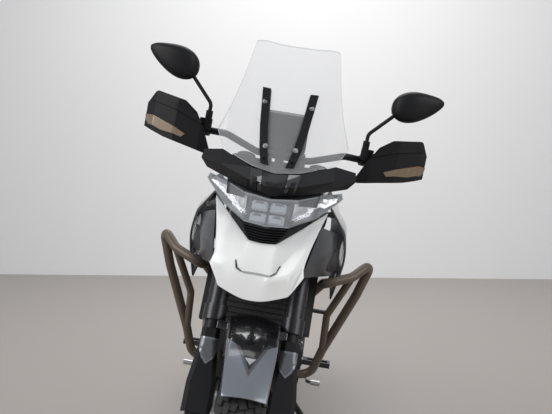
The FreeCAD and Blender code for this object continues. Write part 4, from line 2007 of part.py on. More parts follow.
def headlight():
    """Open-fronted housing with four round lamp modules in it."""
    face = moved_rows(lamp_rows(), LAMP_LENS + 2 * SEAT_GAP, V(0, 1, 0))
    shell = tray(face, LAMP_SHELL_DEPTH, LAMP_WALL)
    modules = []
    for side in (-1, 1):
        for rise in (-1, 1):
            z = LAMP_MODULE_Z + rise * LAMP_MODULE_RISE
            front = LAMP_MODULE_FRONT + rise * LAMP_MODULE_SET
            start = V(side * LAMP_MODULE_SPACING, front, z)
            modules.append(rod(start, V(start.x, LAMP_FRONT + LAMP_DEPTH / 2, z),
                               LAMP_MODULE_RADIUS))
    return [fused([shell] + modules)]


def headlight_lens():
    return [panel(lamp_rows(), LAMP_LENS, V(0, 1, 0))]


def cowl():
    """Dark creased panel between headlight and windscreen, with pointed sides."""
    rows = half_rows(COWL_ROW_SHARES, V(0, COWL_FRONT, COWL_LOW),
                     V(COWL_HALF, COWL_DEPTH, COWL_HEIGHT))
    return [panel(rows, COWL_WALL, V(0, 1, 0))]


def screen_rows():
    return half_rows(SCREEN_ROW_SHARES, V(0, SCREEN_FRONT, SCREEN_LOW),
                     V(SCREEN_HALF, SCREEN_SWEEP, SCREEN_HEIGHT))


def strip_rows(depth):
    """Edge points of the left strip up the screen, at a depth behind its face."""
    rows = screen_rows()
    middle = len(rows[0]) // 2
    sheet = moved_rows(rows, depth, V(0, 1, 0))
    levels = [(0, STRIP_FOOT_SHARE), (1, 0), (2, 0), (2, STRIP_TOP_SHARE)]
    count = len(levels) - 1
    edges = []
    for index, (row, share) in enumerate(levels):
        inner = between(sheet[row][middle], sheet[row + 1][middle], share)
        outer = between(sheet[row][middle + 1], sheet[row + 1][middle + 1], share)
        across = STRIP_LOW_SHARE + (STRIP_HIGH_SHARE - STRIP_LOW_SHARE) * index / count
        centre = between(inner, outer, across)
        half = toward(inner, outer) * (STRIP_WIDTH / 2)
        edges.append([centre - half, centre + half])
    return edges


def screen_strap():
    """The left strap behind the screen."""
    return panel(strip_rows(SCREEN_WALL + STRIP_STANDOFF), STRIP_THICKNESS, V(0, 1, 0))


def strap_seat():
    """The place on the left strap's first facet where its arm meets it."""
    low, high = strip_rows(SCREEN_WALL + STRIP_STANDOFF)[:2]
    return between(between(low[0], low[1], 1 / 2), between(high[0], high[1], 1 / 2),
                   STRIP_ARM_SHARE)


def screen_strips():
    """Left strip on the screen, its strap behind, and the bolts through both."""
    front = panel(strip_rows(-STRIP_THICKNESS - STRIP_STANDOFF), STRIP_THICKNESS, V(0, 1, 0))
    bolts = []
    for shape in strip_bolts(STRIP_BOLT_RADIUS):
        bolts.append(shape)
    return fused([front, screen_strap()] + bolts)


def strip_bolts(radius):
    """Two rods through the left strip, the screen and the strap."""
    rows = strip_rows(0)
    rods = []
    for low, high, share in ((rows[0], rows[1], 1 / 3), (rows[2], rows[3], 2 / 3)):
        centre = between(between(low[0], low[1], 1 / 2), between(high[0], high[1], 1 / 2), share)
        out = (high[0] - low[0]).cross(low[1] - low[0]).normalize()
        reach = out * (SCREEN_WALL + STRIP_STANDOFF + 2 * STRIP_THICKNESS)
        rods.append(rod(centre - reach, centre + reach, radius))
    return rods


def windscreen():
    sheet = panel(screen_rows(), SCREEN_WALL, V(0, 1, 0))
    holes = []
    for bolt in strip_bolts(STRIP_BOLT_RADIUS + SEAT_GAP):
        holes += both(bolt)
    return [sheet.cut(holes)]


def display():
    """Tall screen unit behind the windscreen, in a raised bezel."""
    half = DISPLAY_WIDTH / 2
    body = plate([(-half, 0), (half, 0), (half, DISPLAY_HEIGHT), (-half, DISPLAY_HEIGHT)],
                 "y", 0, DISPLAY_THICKNESS, DISPLAY_BEZEL * 2)
    inner = half - DISPLAY_BEZEL
    pane = plate([(-inner, DISPLAY_BEZEL), (inner, DISPLAY_BEZEL),
                  (inner, DISPLAY_HEIGHT - DISPLAY_BEZEL),
                  (-inner, DISPLAY_HEIGHT - DISPLAY_BEZEL)],
                 "y", DISPLAY_THICKNESS - DISPLAY_RECESS, DISPLAY_THICKNESS + OVERRUN,
                 DISPLAY_BEZEL)
    solid = body.cut(pane)
    solid.rotate(MIDDLE, X_AXIS, DISPLAY_TILT)
    solid.translate(V(0, DISPLAY_Y, DISPLAY_LOW))
    return [solid]


# Protection

def crash_bar(engine_solid, frame_solid):
    """Left bar: one tube from the frame out round the shroud and down to the engine."""
    route = [V(CRASH_ROOT_HALF, CRASH_ROOT_Y, CRASH_ROOT_Z),
             V(CRASH_RISE_HALF, CRASH_RISE_Y, CRASH_RISE_Z),
             V(CRASH_NOSE_HALF, CRASH_NOSE_Y, CRASH_NOSE_Z),
             V(CRASH_SHOULDER_HALF, CRASH_SHOULDER_Y, CRASH_SHOULDER_Z),
             V(CRASH_TIP_HALF, CRASH_TIP_Y, CRASH_TIP_Z),
             V(CRASH_ELBOW_HALF, CRASH_ELBOW_Y, CRASH_ELBOW_Z),
             V(CRASH_HIP_HALF, CRASH_HIP_Y, CRASH_HIP_Z),
             V(CRASH_LOW_HALF, CRASH_LOW_Y, CRASH_LOW_Z),
             V(CRASH_FOOT_HALF, CRASH_LOW_Y, CRASH_FOOT_Z),
             V(CRASH_FOOT_HALF, ENGINE_FRONT + OVERRUN, CRASH_FOOT_Z)]
    bar = tube(route, CRASH_RADIUS, CRASH_BEND)
    brace = tube([V(CRASH_SHOULDER_HALF, CRASH_SHOULDER_Y, CRASH_SHOULDER_Z),
                  V(CRASH_BRACE_HALF, CRASH_BRACE_Y, CRASH_BRACE_Z),
                  V(CRASH_HIP_HALF, CRASH_HIP_Y, CRASH_HIP_Z)], CRASH_RADIUS * 0.8, CRASH_BEND)
    solid = fused([bar, brace])
    return max(solid.cut([engine_solid, frame_solid]).Solids, key=lambda part: part.Volume)


def skid_plate():
    """Pressed plate under the engine, turned up ahead and along both sides."""
    profile = sized(SKID_PROFILE_SHARES, SKID_LENGTH, SKID_HEIGHT, (SKID_FRONT, SKID_LOW))
    rows = []
    for y, z in profile:
        rows.append([V(-SKID_TOP_HALF, y, z + SKID_SIDE_RISE), V(-SKID_HALF, y, z),
                     V(SKID_HALF, y, z), V(SKID_TOP_HALF, y, z + SKID_SIDE_RISE)])
    posts = []
    for y in SKID_POST_PLACES:
        posts += both(rod(V(SKID_POST_HALF, y, SKID_LOW + SKID_WALL / 2),
                          V(SKID_POST_HALF, y, ENGINE_LOW - SEAT_GAP), SKID_POST_RADIUS))
    return [fused([panel(rows, SKID_WALL, V(0, 0.3, 1))] + posts)]


# Seats and tail

def cushion(stations, half_width, thickness):
    """A smooth cushion through stations of place, base height, width and thickness shares."""
    sections = []
    for y, base, wide, thick in stations:
        half = [V(across * wide * half_width, y, base + up * thick * thickness)
                for across, up in SEAT_RING_SHARES]
        sections.append(whole_ring(half))
    return smooth_body(sections)


def rail_top(y):
    if y < SUBFRAME_STEP_Y:
        return SUBFRAME_SEAT_Z + SUBFRAME_RADIUS + SEAT_GAP
    return rail_point(y).z + SUBFRAME_RADIUS + SEAT_GAP


def rider_seat():
    base = rail_top(SEAT_FRONT)
    stations = [(SEAT_FRONT + along * SEAT_LENGTH, base, wide, thick)
                for along, wide, thick in SEAT_STATION_SHARES]
    end = SEAT_FRONT + SEAT_LENGTH
    below = block(V(-SEAT_HALF, SEAT_FRONT - SEAT_HALF, base - SEAT_HALF),
                  V(SEAT_HALF, end + SEAT_HALF, base))
    return [cushion(stations, SEAT_HALF, SEAT_THICKNESS).cut(below)]


def pillion_seat():
    start = SEAT_FRONT + SEAT_LENGTH + SEAT_PIECE_GAP
    stations = []
    for along, wide, thick in PILLION_STATION_SHARES:
        y = start + along * PILLION_LENGTH
        stations.append((y, rail_top(y) - CUSHION_SINK, wide, thick))
    end = start + PILLION_LENGTH
    low, high = rail_top(start), rail_top(end)
    below = plate([(start - PILLION_HALF, low - PILLION_HALF), (end + PILLION_HALF, low -
                   PILLION_HALF), (end, high), (start, low), (start - PILLION_HALF, low)], "x",
                  -PILLION_HALF * 2, PILLION_HALF * 2)
    return [cushion(stations, PILLION_HALF, PILLION_THICKNESS).cut(below)]


def side_panel():
    outline = sized(PANEL_SHARES, PANEL_LENGTH, PANEL_HEIGHT, (PANEL_FRONT, PANEL_LOW))
    sheet = plate(outline, "x", PANEL_HALF, PANEL_HALF + PANEL_WALL, PANEL_WALL * 3)
    posts = []
    z = SUBFRAME_SEAT_Z - PANEL_POST_DROP
    for y in PANEL_POST_PLACES:
        start = SUBFRAME_HALF + SUBFRAME_RADIUS + SEAT_GAP
        posts.append(rod(V(start, y, z), V(PANEL_HALF + PANEL_WALL / 2, y, z),
                         SUBFRAME_RADIUS / 2))
    return fused([sheet] + posts)


def luggage_rack():
    """Tube loop with legs to the rails, under a drilled plate."""
    hoop = []
    legs = []
    z = RACK_HEIGHT - RACK_RADIUS
    foot = V(RACK_HALF, RACK_FRONT_Y, rail_point(RACK_FRONT_Y).z)
    side = tube([foot, V(RACK_HALF, RACK_SHOULDER_Y, RACK_SHOULDER_Z),
                 V(RACK_HALF, RACK_BEND_Y, z), V(RACK_REAR_HALF, RACK_END_Y, z),
                 V(0, RACK_END_Y, z)], RACK_RADIUS, SUBFRAME_BEND)
    hoop = both(side)
    start = V(SUBFRAME_HALF + SUBFRAME_RADIUS + SEAT_GAP, foot.y, foot.z)
    legs += both(rod(start, foot + V(OVERRUN, 0, 0), RACK_RADIUS + OVERRUN))
    y = SUBFRAME_END_Y - RACK_RADIUS
    top = rail_top(y + RACK_RADIUS) + SEAT_GAP
    legs += both(rod(V(SUBFRAME_HALF, y, top), V(SUBFRAME_HALF, y, RACK_HEIGHT), RACK_RADIUS - OVERRUN / 2))
    half = RACK_PLATE_WIDTH / 2
    outline = [(-half, RACK_PLATE_Y), (half, RACK_PLATE_Y),
               (half, RACK_PLATE_Y + RACK_PLATE_LENGTH),
               (-half, RACK_PLATE_Y + RACK_PLATE_LENGTH)]
    top = plate(outline, "z", RACK_HEIGHT - OVERRUN, RACK_HEIGHT + RACK_PLATE_THICKNESS,
                RACK_RADIUS * 2)
    solid = fused(hoop + legs + [top])
    cuts = []
    middle_y = RACK_PLATE_Y + RACK_PLATE_LENGTH / 2
    spacing = RACK_HOLE_SPACING / 2
    for x in (-spacing, spacing):
        for y in (middle_y - spacing, middle_y + spacing):
            cuts.append(rod(V(x, y, RACK_HEIGHT - RACK_RADIUS * 3),
                            V(x, y, RACK_HEIGHT + RACK_RADIUS * 3), RACK_HOLE_RADIUS))
    return [solid.cut(cuts)]


def tail_lamp():
    half = TAIL_LAMP_WIDTH / 2
    low = rail_point(SUBFRAME_END_Y).z - STAY_RADIUS + SEAT_GAP
    outline = sized(TAIL_LAMP_SHARES, half, TAIL_LAMP_HEIGHT, (0, low))
    outline = [(-a, b) for a, b in reversed(outline)] + outline
    start = SUBFRAME_END_Y + STAY_RADIUS + SEAT_GAP
    return [plate(outline, "y", start, start + TAIL_LAMP_DEPTH, RACK_RADIUS)]


def rear_fender():
    """Number-plate hanger and mudguard: a panel down behind the wheel, with indicators."""
    rows = []
    half = REAR_FENDER_WIDTH / 2
    start = SUBFRAME_END_Y - SUBFRAME_RADIUS * 2
    top = rail_point(SUBFRAME_END_Y).z - STAY_RADIUS - SEAT_GAP - REAR_FENDER_WALL
    for along, drop in REAR_FENDER_SHARES:
        y = start + along * REAR_FENDER_LENGTH
        z = top - drop * REAR_FENDER_DROP
        rows.append([V(-half, y, z - REAR_FENDER_EDGE), V(-half * 0.8, y, z),
                     V(half * 0.8, y, z), V(half, y, z - REAR_FENDER_EDGE)])
    parts = [panel(rows, REAR_FENDER_WALL, V(0, 1, 1))]
    y = start + REAR_FENDER_LENGTH * REAR_FENDER_SHARES[3][0]
    z = top - REAR_FENDER_DROP * REAR_FENDER_SHARES[3][1]
    for side in (-1, 1):
        root = V(side * half * 0.5, y, z)
        end = V(side * (half + INDICATOR_STALK_LENGTH), y, z)
        parts.append(rod(root, end, INDICATOR_STALK_RADIUS))
        parts.append(rod(end, end + V(side * INDICATOR_LENGTH, 0, 0), INDICATOR_RADIUS))
    return [fused(parts)]


# Footrests, foot controls and stand

def footrest(y, z, length):
    """Left footrest: a serrated bar on an arm against the pivot plate."""
    inner = PIVOT_PLATE + PIVOT_PLATE_THICKNESS + SEAT_GAP
    outer = inner + PEG_ARM_THICKNESS
    anchor = (PIVOT_Y - PIVOT_PLATE_FRONT / 2, PIVOT_Z - PIVOT_PLATE_LOW / 3)
    arm = plate([(y - PEG_WIDTH / 2, z - PEG_HEIGHT), (y + PEG_WIDTH / 2, z - PEG_HEIGHT),
                 (anchor[0] + PEG_WIDTH / 2, anchor[1] - PEG_WIDTH / 2),
                 (anchor[0] + PEG_WIDTH / 2, anchor[1] + PEG_WIDTH / 2),
                 (anchor[0] - PEG_WIDTH / 2, anchor[1] + PEG_WIDTH / 2),
                 (y - PEG_WIDTH / 2, z + PEG_HEIGHT / 2)], "x", inner, outer, PEG_HEIGHT / 2)
    bar = block(V(outer - OVERRUN, y - PEG_WIDTH / 2, z - PEG_HEIGHT / 2),
                V(outer + length, y + PEG_WIDTH / 2, z + PEG_HEIGHT / 2))
    bar = bar.cut(block(V(outer + PEG_HEIGHT, y - PEG_WIDTH / 4, z - PEG_HEIGHT),
                        V(outer + length - PEG_HEIGHT / 2, y + PEG_WIDTH / 4, z + PEG_HEIGHT)))
    return fused([arm, bar])


def passenger_peg():
    """Left passenger peg on a hanger below the rail."""
    y = PASSENGER_PEG_Y
    z = PASSENGER_PEG_Z
    inner = PIVOT_PLATE + PIVOT_PLATE_THICKNESS + SEAT_GAP
    outer = inner + PEG_ARM_THICKNESS
    low = (PIVOT_Y + PEG_WIDTH / 2, PIVOT_Z + PIVOT_PLATE_HEIGHT / 4)
    arm = plate([(y - PEG_WIDTH / 2, z - PEG_HEIGHT), (y + PEG_WIDTH / 2, z - PEG_HEIGHT / 2),
                 (y + PEG_WIDTH / 4, z + PEG_HEIGHT), (low[0], low[1] + PEG_WIDTH / 2),
                 (low[0] - PEG_WIDTH, low[1] + PEG_WIDTH / 2),
                 (low[0] - PEG_WIDTH, low[1] - PEG_WIDTH / 2)], "x", inner, outer,
                PEG_HEIGHT / 2)
    bar = rod(V(outer - OVERRUN, y, z), V(outer + PASSENGER_PEG_LENGTH, y, z), PEG_HEIGHT / 2)
    return fused([arm, bar])


def foot_lever(side, tip_y, tip_z):
    """A lever ahead of the footrest, on a shaft in the engine's side."""
    shaft_start = ENGINE_HALF + SEAT_GAP
    pivot = V(FOOT_LEVER_HALF, FOOT_LEVER_Y, FOOT_LEVER_Z)
    shaft = rod(V(shaft_start, pivot.y, pivot.z), pivot + V(FOOT_LEVER_RADIUS, 0, 0),
                FOOT_LEVER_RADIUS * 1.4)
    elbow = V(FOOT_LEVER_HALF, tip_y, tip_z)
    arm = tube([pivot, elbow, V(FOOT_LEVER_TIP_HALF, tip_y, tip_z)], FOOT_LEVER_RADIUS,
               FOOT_LEVER_RADIUS * 3)
    pad = rod(elbow + V(FOOT_LEVER_RADIUS * 2, 0, 0), V(FOOT_LEVER_TIP_HALF, tip_y, tip_z),
              FOOT_LEVER_RADIUS * 1.6)
    solid = fused([shaft, arm, pad])
    return solid if side > 0 else mirrored(solid)


def foot_controls():
    return [foot_lever(1, SHIFT_TIP_Y, SHIFT_TIP_Z), foot_lever(-1, BRAKE_TIP_Y, BRAKE_TIP_Z)]


# Parking: steer, lean and set down

def steered(shape):
    turned = shape.copy()
    axis = toward(on_fork(0, FORK_OFFSET, 0), on_fork(0, FORK_OFFSET, UPPER_YOKE))
    turned.rotate(on_fork(0, FORK_OFFSET, 0), axis, STEER)
    return turned


def leaned(shape, pitch):
    moved = shape.copy()
    moved.rotate(MIDDLE, Y_AXIS, LEAN)
    moved.rotate(MIDDLE, X_AXIS, pitch)
    return moved


def lowest(shape):
    """The height of a shape's lowest point."""
    points, _ = shape.tessellate(MESH_STEP)
    return min(point.z for point in points)


def parking(front_tyre, rear_tyre):
    """The pitch in degrees and the lift that set both tyres on the floor."""
    front = lowest(leaned(front_tyre, 0))
    rear = lowest(leaned(rear_tyre, 0))
    pitch = math.degrees(math.atan2(front - rear, WHEELBASE))
    lift = -min(lowest(leaned(front_tyre, pitch)), lowest(leaned(rear_tyre, pitch)))
    return pitch, lift


def stand_foot(pitch, lift):
    """The stand's foot, on the floor of the parked machine, as a point of the upright one."""
    point = Part.Vertex(STAND_FOOT_SIDE, STAND_FOOT_Y, STAND_FOOT_THICKNESS - lift)
    point.rotate(MIDDLE, X_AXIS, -pitch)
    point.rotate(MIDDLE, Y_AXIS, -LEAN)
    return point.Point


def side_stand(pitch, lift):
    """Leg from its eye to a flat foot; it is built where the parked machine needs it."""
    pivot = stand_pivot()
    axis = stand_axis()
    half = STAND_EAR_THICKNESS / 2
    eye = rod(pivot - axis * half, pivot + axis * half, STAND_EAR_RADIUS)
    foot = stand_foot(pitch, lift)
    run = foot - pivot
    outward = (run - axis * run.dot(axis)).normalize()
    leg = tube([pivot + outward * (STAND_EAR_RADIUS + RUNNING_GAP),
                pivot + outward * STAND_KNEE, foot], STAND_LEG_RADIUS, STAND_LEG_RADIUS * 2)
    neck = Part.makeBox(STAND_NECK, STAND_LEG_RADIUS * 2, STAND_KNEE - STAND_EAR_RADIUS,
                        V(-STAND_NECK / 2, -STAND_LEG_RADIUS, STAND_EAR_RADIUS - OVERRUN))
    neck.Placement = FreeCAD.Placement(pivot, FreeCAD.Rotation(axis, outward.cross(axis),
                                                               outward, "XZY"))
    stand = leaned(fused([eye, neck, leg]), pitch)
    stand.translate(V(0, 0, lift))
    sole = rod(V(STAND_FOOT_SIDE, STAND_FOOT_Y, 0),
               V(STAND_FOOT_SIDE, STAND_FOOT_Y, STAND_FOOT_THICKNESS * 2), STAND_FOOT_RADIUS)
    stand = fused([stand, sole])
    below = block(V(0, -WHEELBASE, -WHEELBASE), V(WHEELBASE, WHEELBASE, 0))
    stand = stand.cut(below)
    bore_start = pivot - axis * STAND_EAR_RADIUS
    bore = leaned(rod(bore_start, pivot + axis * STAND_EAR_RADIUS,
                      STAND_PIN_RADIUS + SEAT_GAP), pitch)
    bore.translate(V(0, 0, lift))
    return stand.cut(bore)


def main():
    wheel = front_wheel()
    steering = {name: [steered(solid) for solid in solids]
                for name, solids in list(steering_pieces().items()) + list(wheel.items())}
    rear = rear_wheel()
    frame = main_frame()
    block_engine = engine()
    tank = fuel_tank()
    fixed = {
        "main_frame": [frame],
        "rear_subframe": [subframe()],
        "engine": [block_engine],
        "engine_covers": engine_covers(),
        "front_sprocket": front_sprocket(),
        "radiator": radiator(),
        "exhaust_header": exhaust_header(block_engine),
        "muffler": muffler(),
        "swingarm": swingarm(),
        "rear_shock": rear_shock(),
        "rear_axle": rear_axle(),
        "rear_caliper": rear_caliper(),
        "chain": chain(),
        "fuel_tank": tank,
        "tank_shrouds": both(tank_shroud(tank[0])),
        "beak": beak(),
        "grille": grille(),
        "headlight": headlight(),
        "headlight_lens": headlight_lens(),
        "cowl": cowl(),
        "windscreen": windscreen(),
        "screen_strips": both(screen_strips()),
        "display": display(),
        "crash_bars": both(crash_bar(block_engine, frame)),
        "skid_plate": skid_plate(),
        "rider_seat": rider_seat(),
        "pillion_seat": pillion_seat(),
        "side_panels": both(side_panel()),
        "luggage_rack": luggage_rack(),
        "tail_lamp": tail_lamp(),
        "rear_fender": rear_fender(),
        "footrests": both(footrest(PEG_Y, PEG_Z, PEG_LENGTH)),
        "passenger_pegs": both(passenger_peg()),
        "foot_controls": foot_controls()}
    pitch, lift = parking(steering["front_tyre"][0], rear["rear_tyre"][0])
    upright = dict(fixed)
    upright.update(rear)
    upright.update(steering)
    parked = {}
    for name, solids in upright.items():
        parked[name] = [leaned(solid, pitch) for solid in solids]
        for solid in parked[name]:
            solid.translate(V(0, 0, lift))
    parked["side_stand"] = [side_stand(pitch, lift)]
    write(parked)


def write(parked):
    """Move the origin to the floor under the middle of the whole and write each piece."""
    box = FreeCAD.BoundBox()
    for solids in parked.values():
        for solid in solids:
            for point in solid.tessellate(MESH_STEP)[0]:
                box.add(point)
    shift = V(-(box.XMin + box.XMax) / 2, -(box.YMin + box.YMax) / 2, 0)
    os.makedirs("parts", exist_ok=True)
    for name, solids in parked.items():
        for solid in solids:
            solid.translate(shift)
        shape = solids[0] if len(solids) == 1 else Part.makeCompound(solids)
        shape.exportStep("parts/" + name + ".step")
        print(name, len(shape.Solids), shape.isValid())
    print("shift", shift, "size", box.XLength, box.YLength, box.ZMax)


main()
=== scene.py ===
"""Looks of the parked adventure motorcycle: finishes, tyres, seats, lamps and small pieces.

Lengths are in metres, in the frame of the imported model. Two local frames carry the
machine's own directions: the chassis frame (left, rear, up of the upright machine) and
the fork frame (left, back and up the fork, from the front axle).
"""

import json
import logging
import math
from dataclasses import dataclass, field
from enum import Enum
from typing import Protocol

import bmesh
import bpy
from mathutils import Matrix, Vector
from mathutils.bvhtree import BVHTree

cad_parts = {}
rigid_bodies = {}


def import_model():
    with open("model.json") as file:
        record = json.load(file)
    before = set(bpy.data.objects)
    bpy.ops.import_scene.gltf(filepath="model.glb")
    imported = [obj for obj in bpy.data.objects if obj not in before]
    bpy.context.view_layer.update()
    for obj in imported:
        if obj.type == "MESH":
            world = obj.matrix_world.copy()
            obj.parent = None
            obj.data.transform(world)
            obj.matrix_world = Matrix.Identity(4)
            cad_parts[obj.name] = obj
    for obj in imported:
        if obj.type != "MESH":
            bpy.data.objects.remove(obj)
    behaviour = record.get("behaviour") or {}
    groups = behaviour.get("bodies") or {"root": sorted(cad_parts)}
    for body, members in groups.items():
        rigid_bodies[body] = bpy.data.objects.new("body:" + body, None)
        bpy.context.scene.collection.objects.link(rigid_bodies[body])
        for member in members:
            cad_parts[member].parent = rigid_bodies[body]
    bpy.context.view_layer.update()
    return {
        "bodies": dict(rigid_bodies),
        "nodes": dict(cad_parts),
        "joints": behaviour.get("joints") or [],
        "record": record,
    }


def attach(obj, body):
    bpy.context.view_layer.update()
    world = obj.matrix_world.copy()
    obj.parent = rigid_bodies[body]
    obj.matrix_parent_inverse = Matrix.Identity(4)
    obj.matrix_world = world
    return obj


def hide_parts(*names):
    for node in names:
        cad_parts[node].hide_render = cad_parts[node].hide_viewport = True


LOG = logging.getLogger("motorcycle")
Flat = tuple[float, float]
Point = tuple[float, float, float]

MODEL: dict = {}


class Body(Enum):
    """The bodies of the model that pieces ride on."""

    CHASSIS = "chassis"
    STEERING = "steering"
    FRONT_WHEEL = "front_wheel"
    REAR_WHEEL = "rear_wheel"


# Shader nodes


class Flow:
    """A value socket that arithmetic can be written with."""

    def __init__(self, tree: "Tree", socket: bpy.types.NodeSocket) -> None:
        """Keeps the tree and the socket.

        Args:
            tree: The node tree that the socket is in.
            socket: The output socket.
        """
        self.tree = tree
        self.socket = socket

    def math(self, operation: str, first: object, second: object) -> "Flow":
        """Adds one Math node.

        Args:
            operation: The node's operation.
            first: A number or a flow.
            second: A number or a flow.

        Returns:
            The node's output.
        """
        node = self.tree.add("ShaderNodeMath", {"operation": operation}, {0: first, 1: second})
        return Flow(self.tree, node.outputs[0])

    def __add__(self, other: object) -> "Flow":
        """The sum of two values."""
        return self.math("ADD", self, other)

    __radd__ = __add__

    def __mul__(self, other: object) -> "Flow":
        """The product of two values."""
        return self.math("MULTIPLY", self, other)

    __rmul__ = __mul__

    def __sub__(self, other: object) -> "Flow":
        """This value less another."""
        return self.math("SUBTRACT", self, other)

    def __rsub__(self, other: object) -> "Flow":
        """Another value less this one."""
        return self.math("SUBTRACT", other, self)

    def above(self, limit: float) -> "Flow":
        """One where the value is above a limit, zero elsewhere."""
        return self.math("GREATER_THAN", self, limit)

    def absolute(self) -> "Flow":
        """The value without its sign."""
        return self.math("ABSOLUTE", self, 0.0)

    def either(self, other: "Flow") -> "Flow":
        """The larger of two masks, which is one where either is."""
        return self.math("MAXIMUM", self, other)


class Tree:
    """The node tree of a material or a world."""

    def __init__(self, owner: bpy.types.ID, shader: str = "Principled BSDF") -> None:
        """Opens the owner's tree, which starts with its shader and output.

        Args:
            owner: The material or world to build.
            shader: The name of the shader that it starts with.
        """
        owner.use_nodes = True
        self.nodes = owner.node_tree.nodes
        self.links = owner.node_tree.links
        self.shader = self.nodes[shader]

    def add(self, kind: str, settings: dict[str, object],
            inputs: dict[object, object]) -> bpy.types.Node:
        """Adds a node.

        Args:
            kind: The node's type.
            settings: The node's own settings.
            inputs: Values or links by the name or number of their sockets.

        Returns:
            The node.
        """
        node = self.nodes.new(kind)
        for name, value in settings.items():
            setattr(node, name, value)
        for name, value in inputs.items():
            self.feed(node.inputs[name], value)
        return node

    def feed(self, socket: bpy.types.NodeSocket, value: object) -> None:
        """Links or sets one socket.

        Args:
            socket: The input socket.
            value: A flow, an output socket, a colour or a number.
        """
        if isinstance(value, Flow):
            self.links.new(value.socket, socket)
        elif isinstance(value, bpy.types.NodeSocket):
            self.links.new(value, socket)
        else:
            socket.default_value = value

    def place(self, matrix: Matrix | None = None,
              scale: Point = (1.0, 1.0, 1.0)) -> bpy.types.NodeSocket:
        """Object coordinates, in a local frame and stretched.

        Args:
            matrix: The local frame, or None for the model's own.
            scale: How much each axis is stretched afterwards.

        Returns:
            The vector socket.
        """
        socket = self.add("ShaderNodeTexCoord", {}, {}).outputs["Object"]
        if matrix is not None:
            inverse = matrix.inverted()
            socket = self.add("ShaderNodeMapping", {}, {
                "Vector": socket, "Location": inverse.to_translation(),
                "Rotation": inverse.to_euler()}).outputs[0]
        if scale != (1.0, 1.0, 1.0):
            socket = self.add("ShaderNodeMapping", {}, {"Vector": socket,
                                                        "Scale": scale}).outputs[0]
        return socket

    def noise(self, size: float, where: bpy.types.NodeSocket, detail: float = 3.0) -> Flow:
        """Smooth noise whose spots have a size in metres."""
        node = self.add("ShaderNodeTexNoise", {}, {"Vector": where, "Scale": 1.0 / size,
                                                   "Detail": detail})
        return Flow(self, node.outputs[0])

    def cells(self, size: float, where: bpy.types.NodeSocket) -> Flow:
        """Distance to the edge of small cells, as in leather."""
        node = self.add("ShaderNodeTexVoronoi", {"feature": "DISTANCE_TO_EDGE"},
                        {"Vector": where, "Scale": 1.0 / size})
        return Flow(self, node.outputs[0])

    def axes(self, where: bpy.types.NodeSocket) -> tuple[Flow, Flow, Flow]:
        """The three coordinates of a vector."""
        node = self.add("ShaderNodeSeparateXYZ", {}, {0: where})
        return tuple(Flow(self, socket) for socket in node.outputs)

    def mixed(self, share: Flow, first: object, second: object) -> bpy.types.NodeSocket:
        """A colour between two, by a share."""
        node = self.add("ShaderNodeMix", {"data_type": "RGBA"}, {"Factor": share, 6: first,
                                                                 7: second})
        return node.outputs[2]

    def bump(self, height: Flow, depth: float) -> None:
        """Feeds a bump of some depth in metres to the shader's normal."""
        node = self.add("ShaderNodeBump", {}, {"Height": height, "Distance": depth})
        self.feed(self.shader.inputs["Normal"], node.outputs[0])


def opaque(color: Point) -> tuple[float, float, float, float]:
    """A colour with its alpha of one."""
    return (*color, 1.0)


class Grain(Enum):
    """Small-scale relief of a finish."""

    NONE = "none"
    FINE = "fine"
    LEATHER = "leather"
    CAST = "cast"
    BRUSHED = "brushed"
    RIBBED = "ribbed"
    FINNED = "finned"


BANDS = {Grain.FINNED: "X", Grain.RIBBED: "DIAGONAL"}
BRUSHED_STRETCH = (0.04, 1.0, 1.0)
CAST_DETAIL = 8.0
LEATHER_SWELL = 0.4
LEATHER_SWELL_CELLS = 6
SMEAR_DETAIL = 5.0
SMEARS_PER_SPOT = 3


